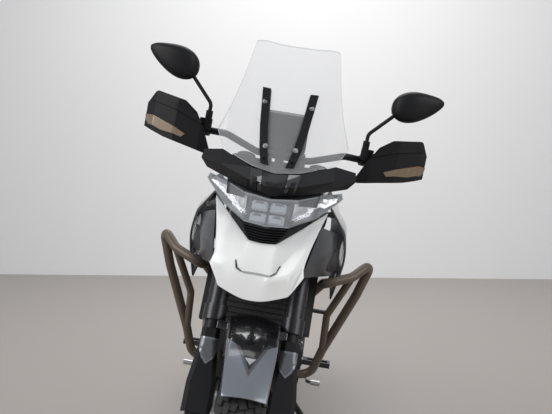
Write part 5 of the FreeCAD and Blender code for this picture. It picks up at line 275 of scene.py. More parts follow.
@dataclass(frozen=True)
class Finish:
    """A surface finish with its colour variation, gloss and relief."""

    name: str
    color: Point
    roughness: float
    slot: str
    metallic: float = 0.0
    coat: float = 0.0
    grain: Grain = Grain.FINE
    size: float = 0.0012
    depth: float = 0.00008
    mottle: float = 0.08
    mottle_size: float = 0.045
    haze: float = 0.10
    alpha: float = 1.0
    glow: float = 0.0
    specular: float = 0.5
    coat_roughness: float = 0.04

    def relief(self, tree: Tree) -> Flow | None:
        """The height that gives this finish its relief.

        Args:
            tree: The material's node tree.

        Returns:
            The height, or None for a smooth finish.
        """
        if self.grain is Grain.NONE:
            return None
        if self.grain is Grain.LEATHER:
            creases = tree.cells(self.size, tree.place())
            swell = tree.noise(self.size * LEATHER_SWELL_CELLS, tree.place())
            return creases + LEATHER_SWELL * swell
        if self.grain is Grain.CAST:
            return tree.noise(self.size, tree.place(), CAST_DETAIL)
        if self.grain is Grain.BRUSHED:
            return tree.noise(self.size, tree.place(None, BRUSHED_STRETCH))
        if self.grain in BANDS:
            wave = tree.add("ShaderNodeTexWave", {"bands_direction": BANDS[self.grain]},
                            {"Vector": tree.place(), "Scale": 1.0 / self.size})
            return Flow(tree, wave.outputs[1])
        return tree.noise(self.size, tree.place())

    def marked(self, tree: Tree, ground: bpy.types.NodeSocket) -> bpy.types.NodeSocket:
        """The colour with the finish's own marks, of which a plain finish has none."""
        return ground

    def tinted(self, tree: Tree) -> bpy.types.NodeSocket:
        """The colour, a little darker in some spots and paler in others.

        Args:
            tree: The material's node tree.

        Returns:
            The colour's socket.
        """
        spots = tree.noise(self.mottle_size, tree.place())
        dark = opaque(tuple(value * (1.0 - self.mottle) for value in self.color))
        pale = opaque(tuple(min(1.0, value * (1.0 + self.mottle)) for value in self.color))
        return tree.mixed(spots, dark, pale)

    def material(self) -> bpy.types.Material:
        """The finish's material, made once.

        Returns:
            The material.
        """
        known = bpy.data.materials.get(self.name)
        if known:
            return known
        made = bpy.data.materials.new(self.name)
        tree = Tree(made)
        sockets = tree.shader.inputs
        tree.feed(sockets["Base Color"], self.marked(tree, self.tinted(tree)))
        smears = tree.noise(self.mottle_size / SMEARS_PER_SPOT, tree.place(), SMEAR_DETAIL)
        tree.feed(sockets["Roughness"], (smears - 0.5) * self.haze + self.roughness)
        height = self.relief(tree)
        if height is not None:
            tree.bump(height, self.depth)
        tree.feed(sockets["Metallic"], self.metallic)
        tree.feed(sockets["Coat Weight"], self.coat)
        tree.feed(sockets["Coat Roughness"], self.coat_roughness)
        tree.feed(sockets["Specular IOR Level"], self.specular)
        tree.feed(sockets["Alpha"], self.alpha)
        # Lamps glow with their own light; the reflector's glow is painted light.
        if self.glow:
            tree.feed(sockets["Emission Color"], opaque(self.color))
            tree.feed(sockets["Emission Strength"], self.glow)
        return made


@dataclass(frozen=True)
class FenderFinish(Finish):
    """The front fender's paint, with a painted dark reflection: black on top, a rimmed point
    down its nose.
    """

    # Colours of the painted dark reflection and its rim, and of a pale grey patch inside its
    # point.
    black: Point = (0.012, 0.012, 0.014)
    rim: Point = (0.085, 0.092, 0.105)
    plate: Point = (0.42, 0.43, 0.46)
    # Where the painted dark reflection lies: over the top, and on a point down the nose with its
    # rim.
    top: float = 0.205
    top_slope: float = 0.55
    tip: float = 0.146
    tip_slope: float = 2.0
    reflection_rim_drop: float = 0.016
    # Heights and slope of the pale grey patch.
    plate_low: float = 0.176
    plate_high: float = 0.193
    plate_slope: float = 1.2

    def marked(self, tree: Tree, ground: bpy.types.NodeSocket) -> bpy.types.NodeSocket:
        """Lays the painted dark reflection, black with a dark grey rim, and a pale grey patch
        over the paint.

        Args:
            tree: The material's node tree.
            ground: The paint's colour.

        Returns:
            The marked colour.
        """
        across, _, up = tree.axes(tree.place(Posture().fork()))
        out = across.absolute()
        # Painted dark reflection: a dark grey rim, then black, on a point down the nose.
        reflection_point = up - out * self.tip_slope
        color = tree.mixed(reflection_point.above(self.tip), ground, opaque(self.rim))
        color = tree.mixed(reflection_point.above(self.tip + self.reflection_rim_drop), color, opaque(self.black))
        # A pale grey patch inside the point.
        inside = (up - out * self.plate_slope).above(self.plate_low)
        inside = inside * (1.0 - up.above(self.plate_high))
        color = tree.mixed(inside, color, opaque(self.plate))
        # Painted dark reflection: black over the top.
        return tree.mixed((up - out * self.top_slope).above(self.top), color,
                          opaque(self.black))


class Coats(Enum):
    """Every finish on the machine."""

    WHITE = Finish("white_gloss", (0.87, 0.87, 0.86), 0.26, "white_plastic", coat=0.5,
                   grain=Grain.NONE, mottle=0.004, haze=0.02)
    SILVER = Finish("silver_gloss", (0.22, 0.235, 0.265), 0.27, "silver_plastic", metallic=0.45,
                    coat=0.8, depth=0.00002, size=0.0008)
    # The fender's finish paints a dark reflection on its top and nose.
    FENDER = FenderFinish("fender_paint", (0.19, 0.205, 0.235), 0.24, "silver_plastic",
                          metallic=0.35, coat=0.8, depth=0.00001, size=0.0008, mottle=0.02,
                          haze=0.02)
    PANEL = Finish("panel_plastic", (0.026, 0.030, 0.038), 0.30, "grey_plastic", coat=0.1,
                   depth=0.00003, size=0.0008, specular=0.3)
    SHADOW = Finish("shadow_gap", (0.40, 0.40, 0.40), 0.5, "grey_plastic", grain=Grain.NONE,
                    mottle=0.01, specular=0.2)
    SCREEN_RIM = Finish("screen_rim", (0.80, 0.82, 0.84), 0.12, "clear", grain=Grain.NONE,
                        haze=0.02, mottle=0.02, alpha=0.5)
    CAP = Finish("grey_cap", (0.15, 0.155, 0.17), 0.30, "silver_plastic", metallic=0.4,
                 coat=0.5, depth=0.00003, size=0.0008)
    GREY = Finish("grey_gloss", (0.085, 0.092, 0.10), 0.20, "grey_plastic", metallic=0.35,
                  coat=0.9, depth=0.00002, size=0.0008)
    TANK = Finish("tank_paint", (0.10, 0.108, 0.118), 0.18, "grey_paint", metallic=0.4,
                  coat=1.0, depth=0.00001, size=0.0008)
    PLASTIC = Finish("moulded_plastic", (0.012, 0.012, 0.0135), 0.40, "black_plastic",
                     depth=0.00012, size=0.0009, specular=0.22)
    GLOSSY = Finish("black_gloss", (0.012, 0.012, 0.014), 0.10, "black_plastic", coat=1.0,
                    grain=Grain.NONE)
    BRONZE = Finish("bronze_powder", (0.150, 0.117, 0.089), 0.40, "bronze_paint", metallic=0.25,
                    size=0.0007, depth=0.0001)
    FRAME = Finish("black_powder", (0.016, 0.016, 0.018), 0.40, "black_metal", metallic=0.1,
                   size=0.0007, depth=0.0001, specular=0.3)
    TUBE = Finish("fork_tube", (0.05, 0.05, 0.055), 0.28, "dark_aluminium", metallic=0.7,
                  grain=Grain.BRUSHED, depth=0.00002)
    CAST = Finish("cast_case", (0.075, 0.076, 0.080), 0.46, "dark_aluminium", metallic=0.65,
                  grain=Grain.CAST, size=0.0035, depth=0.00025, mottle=0.14)
    COVER = Finish("painted_cover", (0.045, 0.046, 0.050), 0.38, "dark_aluminium",
                   metallic=0.5, grain=Grain.CAST, size=0.002, depth=0.0001)
    STEEL = Finish("machined_steel", (0.50, 0.50, 0.51), 0.30, "steel", metallic=1.0,
                   grain=Grain.BRUSHED, depth=0.00002, mottle=0.12)
    EXHAUST = Finish("warm_steel", (0.36, 0.31, 0.26), 0.34, "steel", metallic=1.0,
                     grain=Grain.BRUSHED, depth=0.00003, mottle=0.35, mottle_size=0.09)
    MUFFLER = Finish("muffler_steel", (0.34, 0.34, 0.35), 0.32, "steel", metallic=1.0,
                     grain=Grain.BRUSHED, depth=0.00003, mottle=0.15)
    CHAIN = Finish("chain_steel", (0.28, 0.25, 0.20), 0.36, "steel", metallic=1.0,
                   mottle=0.2, mottle_size=0.01)
    TYRE = Finish("tyre_rubber", (0.022, 0.022, 0.023), 0.78, "tyre_rubber", size=0.0016,
                  depth=0.00018, mottle=0.18, specular=0.25)
    RUBBER = Finish("grip_rubber", (0.020, 0.020, 0.021), 0.70, "rubber", grain=Grain.RIBBED,
                    size=0.02, depth=0.0006)
    SEAT = Finish("seat_cover", (0.030, 0.030, 0.032), 0.58, "seat_cover",
                  grain=Grain.LEATHER, size=0.0028, depth=0.00035, mottle=0.12)
    PIPING = Finish("seat_piping", (0.05, 0.05, 0.052), 0.45, "seat_cover",
                    grain=Grain.LEATHER, size=0.002, depth=0.0001)
    CLEAR = Finish("clear_screen", (0.72, 0.73, 0.75), 0.06, "clear", grain=Grain.NONE,
                   haze=0.02, mottle=0.02, alpha=0.17)
    LENS = Finish("lamp_lens", (0.85, 0.88, 0.92), 0.05, "clear", grain=Grain.NONE,
                  haze=0.02, mottle=0.02, alpha=0.12)
    # The wings' reflector: its glow is painted light, as it gives none of its own.
    REFLECTOR = Finish("lamp_mirror", (0.86, 0.88, 0.92), 0.22, "lamp_shell", metallic=0.6,
                       grain=Grain.NONE, mottle=0.2, mottle_size=0.02, glow=0.06)
    LAMP_INSIDE = Finish("lamp_inside", (0.20, 0.21, 0.22), 0.35, "lamp_shell", metallic=0.5)
    LIGHT = Finish("lit_strip", (0.93, 0.95, 1.0), 0.4, "clear", grain=Grain.NONE, glow=0.5)
    OPTIC = Finish("lamp_optic", (0.42, 0.45, 0.50), 0.16, "clear", grain=Grain.FINNED,
                   size=0.05, depth=0.0004, coat=1.0, metallic=0.4, glow=0.04)
    AMBER = Finish("bronze_lens", (0.25, 0.185, 0.12), 0.26, "bronze_paint", coat=0.6,
                   metallic=0.2, depth=0.00002)
    RED = Finish("red_lens_shell", (0.42, 0.01, 0.012), 0.12, "red_lens", coat=1.0,
                 grain=Grain.NONE)
    MIRROR = Finish("mirror_glass", (0.86, 0.88, 0.90), 0.02, "steel", metallic=1.0,
                    grain=Grain.NONE, mottle=0.01, haze=0.01)
    CORE = Finish("radiator_core", (0.045, 0.045, 0.047), 0.55, "black_metal", metallic=0.4,
                  grain=Grain.FINNED, size=0.012, depth=0.002)

    @property
    def material(self) -> bpy.types.Material:
        """The material of this finish."""
        return self.value.material()


NODE_COATS = {
    Coats.WHITE: ("beak",),
    Coats.FENDER: ("front_fender",),
    Coats.GREY: ("tank_shrouds", "side_panels"),
    Coats.TANK: ("fuel_tank",),
    Coats.PLASTIC: ("grille", "cowl", "display", "rear_fender", "hand_controls", "hand_guards",
                    "mirrors", "screen_strips"),
    Coats.BRONZE: ("crash_bars",),
    Coats.FRAME: ("main_frame", "rear_subframe", "swingarm", "rear_shock", "luggage_rack",
                  "fork_guards", "rear_rim", "front_rim", "yokes", "fork_lowers",
                  "handlebar", "side_stand"),
    Coats.TUBE: ("fork_tubes",),
    Coats.CAST: ("engine", "skid_plate"),
    Coats.COVER: ("engine_covers", "front_calipers", "rear_caliper", "footrests",
                  "passenger_pegs"),
    Coats.STEEL: ("front_sprocket", "rear_axle", "front_axle", "foot_controls", "rear_sprocket",
                  "rear_disc", "front_discs"),
    Coats.EXHAUST: ("exhaust_header",),
    Coats.MUFFLER: ("muffler",),
    Coats.CHAIN: ("chain",),
    Coats.TYRE: ("front_tyre", "rear_tyre"),
    Coats.RUBBER: ("grips",),
    Coats.SEAT: ("rider_seat", "pillion_seat"),
    Coats.CLEAR: ("windscreen",),
    Coats.LENS: ("headlight_lens",),
    Coats.LAMP_INSIDE: ("headlight",),
    Coats.RED: ("tail_lamp",),
    Coats.CORE: ("radiator",),
}


# Places and shapes


@dataclass(frozen=True)
class Posture:
    """The machine's own directions, read from the model's joints."""

    wheelbase: float = 1.560
    rear_axle_height: float = 0.333
    rake: float = math.radians(24.5)

    def joint(self, name: str) -> tuple[Vector, Vector]:
        """A joint's place and axis.

        Args:
            name: The joint.

        Returns:
            Its place and its unit axis.
        """
        for joint in MODEL["record"]["behaviour"]["joints"]:
            if joint["name"] == name:
                return Vector(joint["pos_m"]), Vector(joint["axis"]).normalized()
        raise ValueError("no joint named " + name)

    def chassis(self) -> Matrix:
        """The upright machine's own frame: left, rear and up.

        Returns:
            The frame, from the floor midway between the axles.
        """
        place, left = self.joint("rear_wheel")
        steer = self.joint("steering")[1]
        across = left.cross(steer)
        rear = steer * math.sin(self.rake) - across * math.cos(self.rake)
        up = steer * math.cos(self.rake) + across * math.sin(self.rake)
        turn = Matrix((left, rear, up)).transposed().to_4x4()
        start = Vector((0.0, self.wheelbase / 2, self.rear_axle_height))
        return Matrix.Translation(place) @ turn @ Matrix.Translation(-start)

    def fork(self) -> Matrix:
        """The fork's own frame: left, back and up the fork.

        Returns:
            The frame, from the front axle.
        """
        place, left = self.joint("front_wheel")
        up = self.joint("steering")[1]
        turn = Matrix((left, up.cross(left), up)).transposed().to_4x4()
        return Matrix.Translation(place) @ turn

    def wheel(self, name: str) -> Matrix:
        """The frame of a wheel, with X along its axle.

        Args:
            name: The wheel's joint.

        Returns:
            The frame, from the joint's place.
        """
        place, axle = self.joint(name)
        up = axle.cross(Vector((0.0, 1.0, 0.0))).normalized()
        turn = Matrix((axle, up.cross(axle), up)).transposed().to_4x4()
        return Matrix.Translation(place) @ turn

    def frame(self, body: Body) -> Matrix:
        """The local frame in which the sizes of a body's pieces are written."""
        return self.fork() if body is Body.STEERING else self.chassis()


class Skin:
    """The surface of some CAD nodes, to lay pieces on."""

    def __init__(self, *nodes: str) -> None:
        """Gathers the triangles of the nodes.

        Args:
            nodes: The nodes' names.
        """
        points: list[Vector] = []
        faces: list[tuple[int, ...]] = []
        graph = bpy.context.evaluated_depsgraph_get()
        for name in nodes:
            item = bpy.data.objects.get(name + "_skin") or MODEL["nodes"][name]
            mesh = item.evaluated_get(graph).data
            start = len(points)
            points += [vertex.co.copy() for vertex in mesh.vertices]
            faces += [tuple(start + i for i in face.vertices) for face in mesh.polygons]
        self.tree = BVHTree.FromPolygons(points, faces)

    def meet(self, start: Vector, direction: Vector) -> tuple[Vector, Vector] | None:
        """Where a ray first meets the surface.

        Args:
            start: The ray's start.
            direction: Its direction.

        Returns:
            The place and the outward normal, or None.
        """
        place, normal, _, _ = self.tree.ray_cast(start, direction)
        if place is None:
            return None
        if normal.dot(direction) > 0:
            normal = -normal
        return place, normal


@dataclass
class Maker:
    """Turns finished bmeshes into pieces of the model."""

    posture: Posture = Posture()
    made: int = 0

    def piece(self, name: str, mesh: bmesh.types.BMesh, coat: Coats, body: Body,
              sharp: float = 32.0) -> bpy.types.Object:
        """Makes a piece that rides on a body.

        Args:
            name: The piece's name.
            mesh: Its shape, which is freed.
            coat: Its finish.
            body: What it rides on.
            sharp: Angle in degrees above which an edge stays sharp.

        Returns:
            The object.
        """
        data = bpy.data.meshes.new(name)
        mesh.to_mesh(data)
        mesh.free()
        data.shade_smooth()
        data.set_sharp_from_angle(angle=math.radians(sharp))
        data.materials.append(coat.material)
        piece = bpy.data.objects.new(name, data)
        bpy.context.scene.collection.objects.link(piece)
        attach(piece, body.value)
        self.made += 1
        LOG.info("made %s with %d faces", name, len(data.polygons))
        return piece

    def subdivide(self, piece: bpy.types.Object, levels: int) -> None:
        """Smooths a piece with a subdivision surface.

        Args:
            piece: The piece.
            levels: How often each face is divided.
        """
        smooth = piece.modifiers.new("smooth", "SUBSURF")
        smooth.levels = levels
        smooth.render_levels = levels


def along(start: Vector, end: Vector) -> Matrix:
    """A frame at the start whose Z runs to the end."""
    run = (end - start).normalized()
    return Matrix.Translation(start) @ run.to_track_quat("Z", "Y").to_matrix().to_4x4()


def add_rod(mesh: bmesh.types.BMesh, start: Vector, end: Vector, radius: float,
            end_radius: float | None = None, segments: int = 20) -> None:
    """Adds a round bar or cone between two points.

    Args:
        mesh: The mesh that gets it.
        start: Middle of its first end.
        end: Middle of its other end.
        radius: Radius at the start.
        end_radius: Radius at the end, the same if None.
        segments: Faces round it.
    """
    length = (end - start).length
    place = along(start, end) @ Matrix.Translation((0.0, 0.0, length / 2))
    bmesh.ops.create_cone(mesh, cap_ends=True, segments=segments, radius1=radius,
                          radius2=radius if end_radius is None else end_radius,
                          depth=length, matrix=place)


def add_block(mesh: bmesh.types.BMesh, place: Matrix, size: Point, bevel: float) -> None:
    """Adds a box with bevelled edges.

    Args:
        mesh: The mesh that gets it.
        place: The frame of its middle.
        size: Its length along each axis.
        bevel: Width of the bevel.
    """
    scale = Matrix.Diagonal((size[0], size[1], size[2], 1.0))
    made = bmesh.ops.create_cube(mesh, size=1.0, matrix=place @ scale)
    edges = dict.fromkeys(edge for vertex in made["verts"] for edge in vertex.link_edges)
    bmesh.ops.bevel(mesh, geom=list(edges), offset=bevel, segments=1, profile=0.5,
                    affect="EDGES", material=-1)


@dataclass(frozen=True)
class BoltHead:
    """A round-headed bolt with its washer and a hexagon socket, in shares of its radius."""

    radius: float
    washer: float = 1.35
    washer_sunk: float = 0.2
    washer_height: float = 0.25
    height: float = 1.05
    top: float = 0.86
    socket: float = 0.5
    socket_floor: float = 0.36
    socket_depth: float = 0.1
    socket_height: float = 1.06
    segments: int = 18

    def add(self, mesh: bmesh.types.BMesh, place: Vector, out: Vector) -> None:
        """Adds the bolt to a mesh.

        Args:
            mesh: The mesh that gets it.
            place: Middle of the seat.
            out: Direction away from the seat.
        """
        step = out.normalized() * self.radius
        shoulder = place + step * self.washer_height
        add_rod(mesh, place - step * self.washer_sunk, shoulder, self.radius * self.washer,
                segments=self.segments)
        add_rod(mesh, shoulder, place + step * self.height, self.radius,
                self.radius * self.top, segments=self.segments)
        seat = place + step * self.socket_height
        made = bmesh.ops.create_cone(mesh, cap_ends=True, segments=6,
                                     radius1=self.radius * self.socket,
                                     radius2=self.radius * self.socket_floor,
                                     depth=self.radius * self.socket_depth,
                                     matrix=along(seat, seat + out.normalized()))
        faces = dict.fromkeys(face for vertex in made["verts"] for face in vertex.link_faces)
        bmesh.ops.recalc_face_normals(mesh, faces=list(faces))


@dataclass
class Drape:
    """A thin piece laid on the surface of some nodes, cut to a convex outline.

    The outline lies across and up in its body's frame and is cast along a direction of it.
    """

    name: str
    nodes: tuple[str, ...]
    outline: tuple[Flat, ...]
    coat: Coats
    body: Body = Body.CHASSIS
    direction: Point = (0.0, 1.0, 0.0)
    lift: float = 0.0003
    thickness: float = 0.0012
    cell: float = 0.005
    ripple: float = 0.0
    start: float = -1.4
    sides: tuple[int, ...] = (1, -1)
    margin: float = 1.02
    ripple_cells: int = 3
    tear_cells: int = 6

    def sheet(self, side: int) -> bmesh.types.BMesh:
        """A flat grid cut to the outline.

        Args:
            side: One for the left, minus one for its mirror image.

        Returns:
            The mesh, across and up in its X and Z.
        """
        points = [Vector((side * x, 0.0, z)) for x, z in self.outline]
        middle = sum(points, Vector()) / len(points)
        half = max((point - middle).length for point in points) * self.margin
        count = max(2, int(2 * half / self.cell))
        mesh = bmesh.new()
        turn = Matrix.Translation(middle) @ Matrix.Rotation(math.radians(90.0), 4, "X")
        bmesh.ops.create_grid(mesh, x_segments=count, y_segments=count, size=half, matrix=turn)
        for index, point in enumerate(points):
            edge = point - points[index - 1]
            out = Vector((edge.z, 0.0, -edge.x))
            if out.dot(point - middle) < 0:
                out = -out
            geometry = mesh.verts[:] + mesh.edges[:] + mesh.faces[:]
            bmesh.ops.bisect_plane(mesh, geom=geometry, plane_co=point, plane_no=out,
                                   clear_outer=True, dist=1e-6)
        return mesh

    def lay(self, mesh: bmesh.types.BMesh, skin: Skin, frame: Matrix) -> None:
        """Casts the sheet onto the surface and thickens it.

        Args:
            mesh: The flat sheet.
            skin: The surface.
            frame: The local frame.
        """
        ahead = (frame.to_3x3() @ Vector(self.direction)).normalized()
        missed = []
        for vertex in mesh.verts:
            column = math.floor(vertex.co.x / (self.cell * self.ripple_cells))
            begin = frame @ (vertex.co + Vector(self.direction) * self.start)
            met = skin.meet(begin, ahead)
            if met is None:
                missed.append(vertex)
                continue
            wave = self.ripple * (column % 2)
            vertex.co = met[0] + met[1] * (self.lift + self.thickness) - ahead * wave
        bmesh.ops.delete(mesh, geom=missed, context="VERTS")
        longest = self.cell * self.tear_cells
        torn = [edge for edge in mesh.edges if edge.calc_length() > longest]
        bmesh.ops.delete(mesh, geom=torn, context="EDGES")
        bmesh.ops.recalc_face_normals(mesh, faces=mesh.faces)
        mesh.normal_update()
        tilt = sum(face.normal.dot(ahead) for face in mesh.faces)
        if tilt > 0:
            bmesh.ops.reverse_faces(mesh, faces=mesh.faces)
        copied = bmesh.ops.extrude_face_region(mesh, geom=mesh.faces[:])
        back = [item for item in copied["geom"] if isinstance(item, bmesh.types.BMVert)]
        bmesh.ops.translate(mesh, vec=ahead * self.thickness, verts=back)
        bmesh.ops.recalc_face_normals(mesh, faces=mesh.faces)

    def build(self, maker: Maker) -> None:
        """Makes one piece for its sides.

        Args:
            maker: Makes the piece.
        """
        frame = maker.posture.frame(self.body)
        skin = Skin(*self.nodes)
        whole = bmesh.new()
        for side in self.sides:
            part = self.sheet(side)
            self.lay(part, skin, frame)
            data = bpy.data.meshes.new("part")
            part.to_mesh(data)
            part.free()
            whole.from_mesh(data)
            bpy.data.meshes.remove(data)
        maker.piece(self.name, whole, self.coat, self.body)


@dataclass
class SoftPanel:
    """A smooth panel over a creased CAD panel, whose rims and chosen creases stay."""

    node: str
    coat: Coats
    body: Body = Body.CHASSIS
    rim_angle: float = 50.0
    crease_angle: float = 30.0
    crease: float = 0.75
    levels: int = 3
    rim: Coats | None = None
    rim_width: float = 0.006
    rim_crease: float = 0.95
    merge_gap: float = 2e-5
    flat_angle: float = 0.3
    join_angle: float = 30.0
    join_shape_angle: float = 60.0
    sharp_angle: float = 70.0

    def merged(self) -> bmesh.types.BMesh:
        """A copy of the node's mesh with its triangles joined to larger faces.

        Returns:
            The mesh.
        """
        mesh = bmesh.new()
        mesh.from_mesh(MODEL["nodes"][self.node].data)
        bmesh.ops.remove_doubles(mesh, verts=mesh.verts, dist=self.merge_gap)
        bmesh.ops.dissolve_limit(mesh, angle_limit=math.radians(self.flat_angle),
                                 verts=mesh.verts, edges=mesh.edges)
        bmesh.ops.triangulate(mesh, faces=[face for face in mesh.faces if len(face.verts) > 4])
        bmesh.ops.join_triangles(mesh, faces=mesh.faces,
                                 angle_face_threshold=math.radians(self.join_angle),
                                 angle_shape_threshold=math.radians(self.join_shape_angle))
        return mesh

    def mark(self, mesh: bmesh.types.BMesh) -> None:
        """Marks the creases that stay, and the narrow faces of the rim.

        Args:
            mesh: The panel's mesh.
        """
        layer = mesh.edges.layers.float.new("crease_edge")
        for edge in mesh.edges:
            if len(edge.link_faces) != 2:
                edge[layer] = 1.0
                continue
            angle = math.degrees(edge.calc_face_angle(0.0))
            if angle > self.rim_angle:
                edge[layer] = self.rim_crease
            elif angle > self.crease_angle:
                edge[layer] = self.crease
        if not self.rim:
            return
        for face in mesh.faces:
            longest = max(edge.calc_length() for edge in face.edges)
            sharp = sum(edge[layer] > self.crease for edge in face.edges)
            if sharp > 1 and face.calc_area() < longest * self.rim_width:
                face.material_index = 1

    def build(self, maker: Maker) -> None:
        """Makes the smooth panel in place of its node.

        Args:
            maker: Makes the piece.
        """
        mesh = self.merged()
        self.mark(mesh)
        piece = maker.piece(self.node + "_skin", mesh, self.coat, self.body, self.sharp_angle)
        if self.rim:
            piece.data.materials.append(self.rim.material)
        maker.subdivide(piece, self.levels)
        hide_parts(self.node)
        bpy.context.view_layer.update()


@dataclass
class Patch:
    """A curved panel between four corners, bulging to one side."""

    name: str
    corners: tuple[Point, Point, Point, Point]
    bulge: Point
    coat: Coats
    wall: float = 0.003
    steps: int = 12
    sharp_angle: float = 40.0

    def build(self, maker: Maker) -> None:
        """Makes the panel on both sides of the chassis.

        Args:
            maker: Makes the piece.
        """
        frame = maker.posture.chassis()
        mesh = bmesh.new()
        for side in (1, -1):
            made = bmesh.ops.create_grid(mesh, x_segments=self.steps, y_segments=self.steps,
                                         size=0.5)
            low, next_low, high, next_high = (Vector(point) for point in self.corners)
            for vertex in made["verts"]:
                u, v = vertex.co.x + 0.5, vertex.co.y + 0.5
                point = low.lerp(next_low, u).lerp(high.lerp(next_high, u), v)
                # The product of the four is 1/16 in the middle and zero at the rims.
                point += Vector(self.bulge) * (16 * u * (1 - u) * v * (1 - v))
                vertex.co = frame @ Vector((point.x * side, point.y, point.z))
        bmesh.ops.recalc_face_normals(mesh, faces=mesh.faces)
        bmesh.ops.solidify(mesh, geom=mesh.faces[:], thickness=self.wall)
        bmesh.ops.recalc_face_normals(mesh, faces=mesh.faces)
        maker.piece(self.name, mesh, self.coat, Body.CHASSIS, self.sharp_angle)


# The stage


@dataclass(frozen=True)
class Lamp:
    """One soft square lamp of the studio."""

    name: str
    place: Point
    target: Point
    size: float
    power: float

    def build(self) -> None:
        """Hangs the lamp and turns it to its target."""
        data = bpy.data.lights.new(self.name, "AREA")
        data.shape = "SQUARE"
        data.size = self.size
        data.energy = self.power
        lamp = bpy.data.objects.new(self.name, data)
        lamp.location = self.place
        run = Vector(self.target) - Vector(self.place)
        lamp.rotation_euler = run.to_track_quat("-Z", "Y").to_euler()
        bpy.context.scene.collection.objects.link(lamp)


@dataclass
class Stage:
    """Floor, backdrop, lights and the camera of the photograph."""

    camera_place: Point = (0.0694, -2.7144, 1.1143)
    camera_turn: float = 3.12
    camera_dip: float = 4.49
    focal_share: float = 742.8 / 552.0
    floor_half: float = 9.0
    floor_color: Point = (0.37, 0.34, 0.315)
    floor_roughness: float = 0.45
    wall_place: float = 3.69
    wall_color: Point = (0.83, 0.83, 0.835)
    wall_roughness: float = 0.75
    spot_size: float = 0.9
    spot_dark: float = 0.97
    world_light: Point = (0.95, 0.97, 1.0)
    world_power: float = 0.50
    world_seen: Point = (0.74, 0.74, 0.75)
    lamps: tuple[Lamp, ...] = (
        Lamp("key", (-2.6, -2.4, 2.6), (0.0, -0.2, 0.7), 2.0, 52.0),
        Lamp("fill", (2.8, -2.2, 2.2), (0.0, 0.0, 0.7), 2.2, 34.0),
        Lamp("back", (0.0, 1.4, 3.6), (0.0, 3.4, 1.2), 2.4, 60.0),
        Lamp("top", (0.0, 1.0, 4.2), (0.0, 0.0, 0.0), 2.4, 34.0),
    )

    def camera(self) -> None:
        """Places the camera."""
        data = bpy.data.cameras.new("camera")
        data.sensor_width = 36.0
        data.lens = self.focal_share * data.sensor_width
        camera = bpy.data.objects.new("camera", data)
        camera.location = self.camera_place
        camera.rotation_euler = (math.radians(90.0 - self.camera_dip), 0.0,
                                 math.radians(self.camera_turn))
        bpy.context.scene.collection.objects.link(camera)
        bpy.context.scene.camera = camera

    def surface(self, name: str, color: Point, roughness: float,
                mesh: bmesh.types.BMesh, one_sided: bool = False) -> None:
        """Makes a surface of the stage.

        Args:
            name: Its name.
            color: Its colour.
            roughness: Its roughness.
            mesh: Its shape.
            one_sided: Whether it is seen through from behind.
        """
        data = bpy.data.meshes.new(name)
        mesh.to_mesh(data)
        mesh.free()
        data.shade_smooth()
        material = bpy.data.materials.new(name)
        tree = Tree(material)
        spots = tree.noise(self.spot_size, tree.place())
        dark = opaque(tuple(value * self.spot_dark for value in color))
        tree.feed(tree.shader.inputs["Base Color"], tree.mixed(spots, dark, opaque(color)))
        tree.feed(tree.shader.inputs["Roughness"], roughness)
        if one_sided:
            behind = tree.add("ShaderNodeNewGeometry", {}, {}).outputs["Backfacing"]
            tree.feed(tree.shader.inputs["Alpha"], 1.0 - Flow(tree, behind))
        data.materials.append(material)
        item = bpy.data.objects.new(name, data)
        bpy.context.scene.collection.objects.link(item)

    def floor(self) -> None:
        """Lays the floor and stands the backdrop behind it."""
        mesh = bmesh.new()
        bmesh.ops.create_grid(mesh, x_segments=1, y_segments=1, size=self.floor_half)
        self.surface("floor", self.floor_color, self.floor_roughness, mesh)
        wall = bmesh.new()
        stand = Matrix.Translation((0.0, self.wall_place, self.floor_half)) @ Matrix.Rotation(
            math.radians(90.0), 4, "X")
        bmesh.ops.create_grid(wall, x_segments=1, y_segments=1, size=self.floor_half,
                              matrix=stand)
        self.surface("backdrop", self.wall_color, self.wall_roughness, wall, one_sided=True)

    def world(self) -> None:
        """Lights the scene from all round and shows a pale background to the camera."""
        world = bpy.data.worlds.new("studio")
        bpy.context.scene.world = world
        tree = Tree(world, "Background")
        lit = tree.shader
        tree.feed(lit.inputs["Color"], opaque(self.world_light))
        tree.feed(lit.inputs["Strength"], self.world_power)
        seen = tree.add("ShaderNodeBackground", {}, {"Color": opaque(self.world_seen),
                                                     "Strength": 1.0})
        path = tree.add("ShaderNodeLightPath", {}, {})
        camera = Flow(tree, path.outputs["Is Camera Ray"])
        through = Flow(tree, path.outputs["Is Transmission Ray"])
        mix = tree.add("ShaderNodeMixShader", {}, {0: camera.either(through),
                                                   1: lit.outputs[0], 2: seen.outputs[0]})
        tree.feed(tree.nodes["World Output"].inputs["Surface"], mix.outputs[0])

    def build(self) -> None:
        """Builds the whole stage."""
        bpy.context.scene.view_settings.view_transform = "Standard"
        self.camera()
        self.floor()
        self.world()
        for lamp in self.lamps:
            lamp.build()
        LOG.info("stage built")


# Wheels


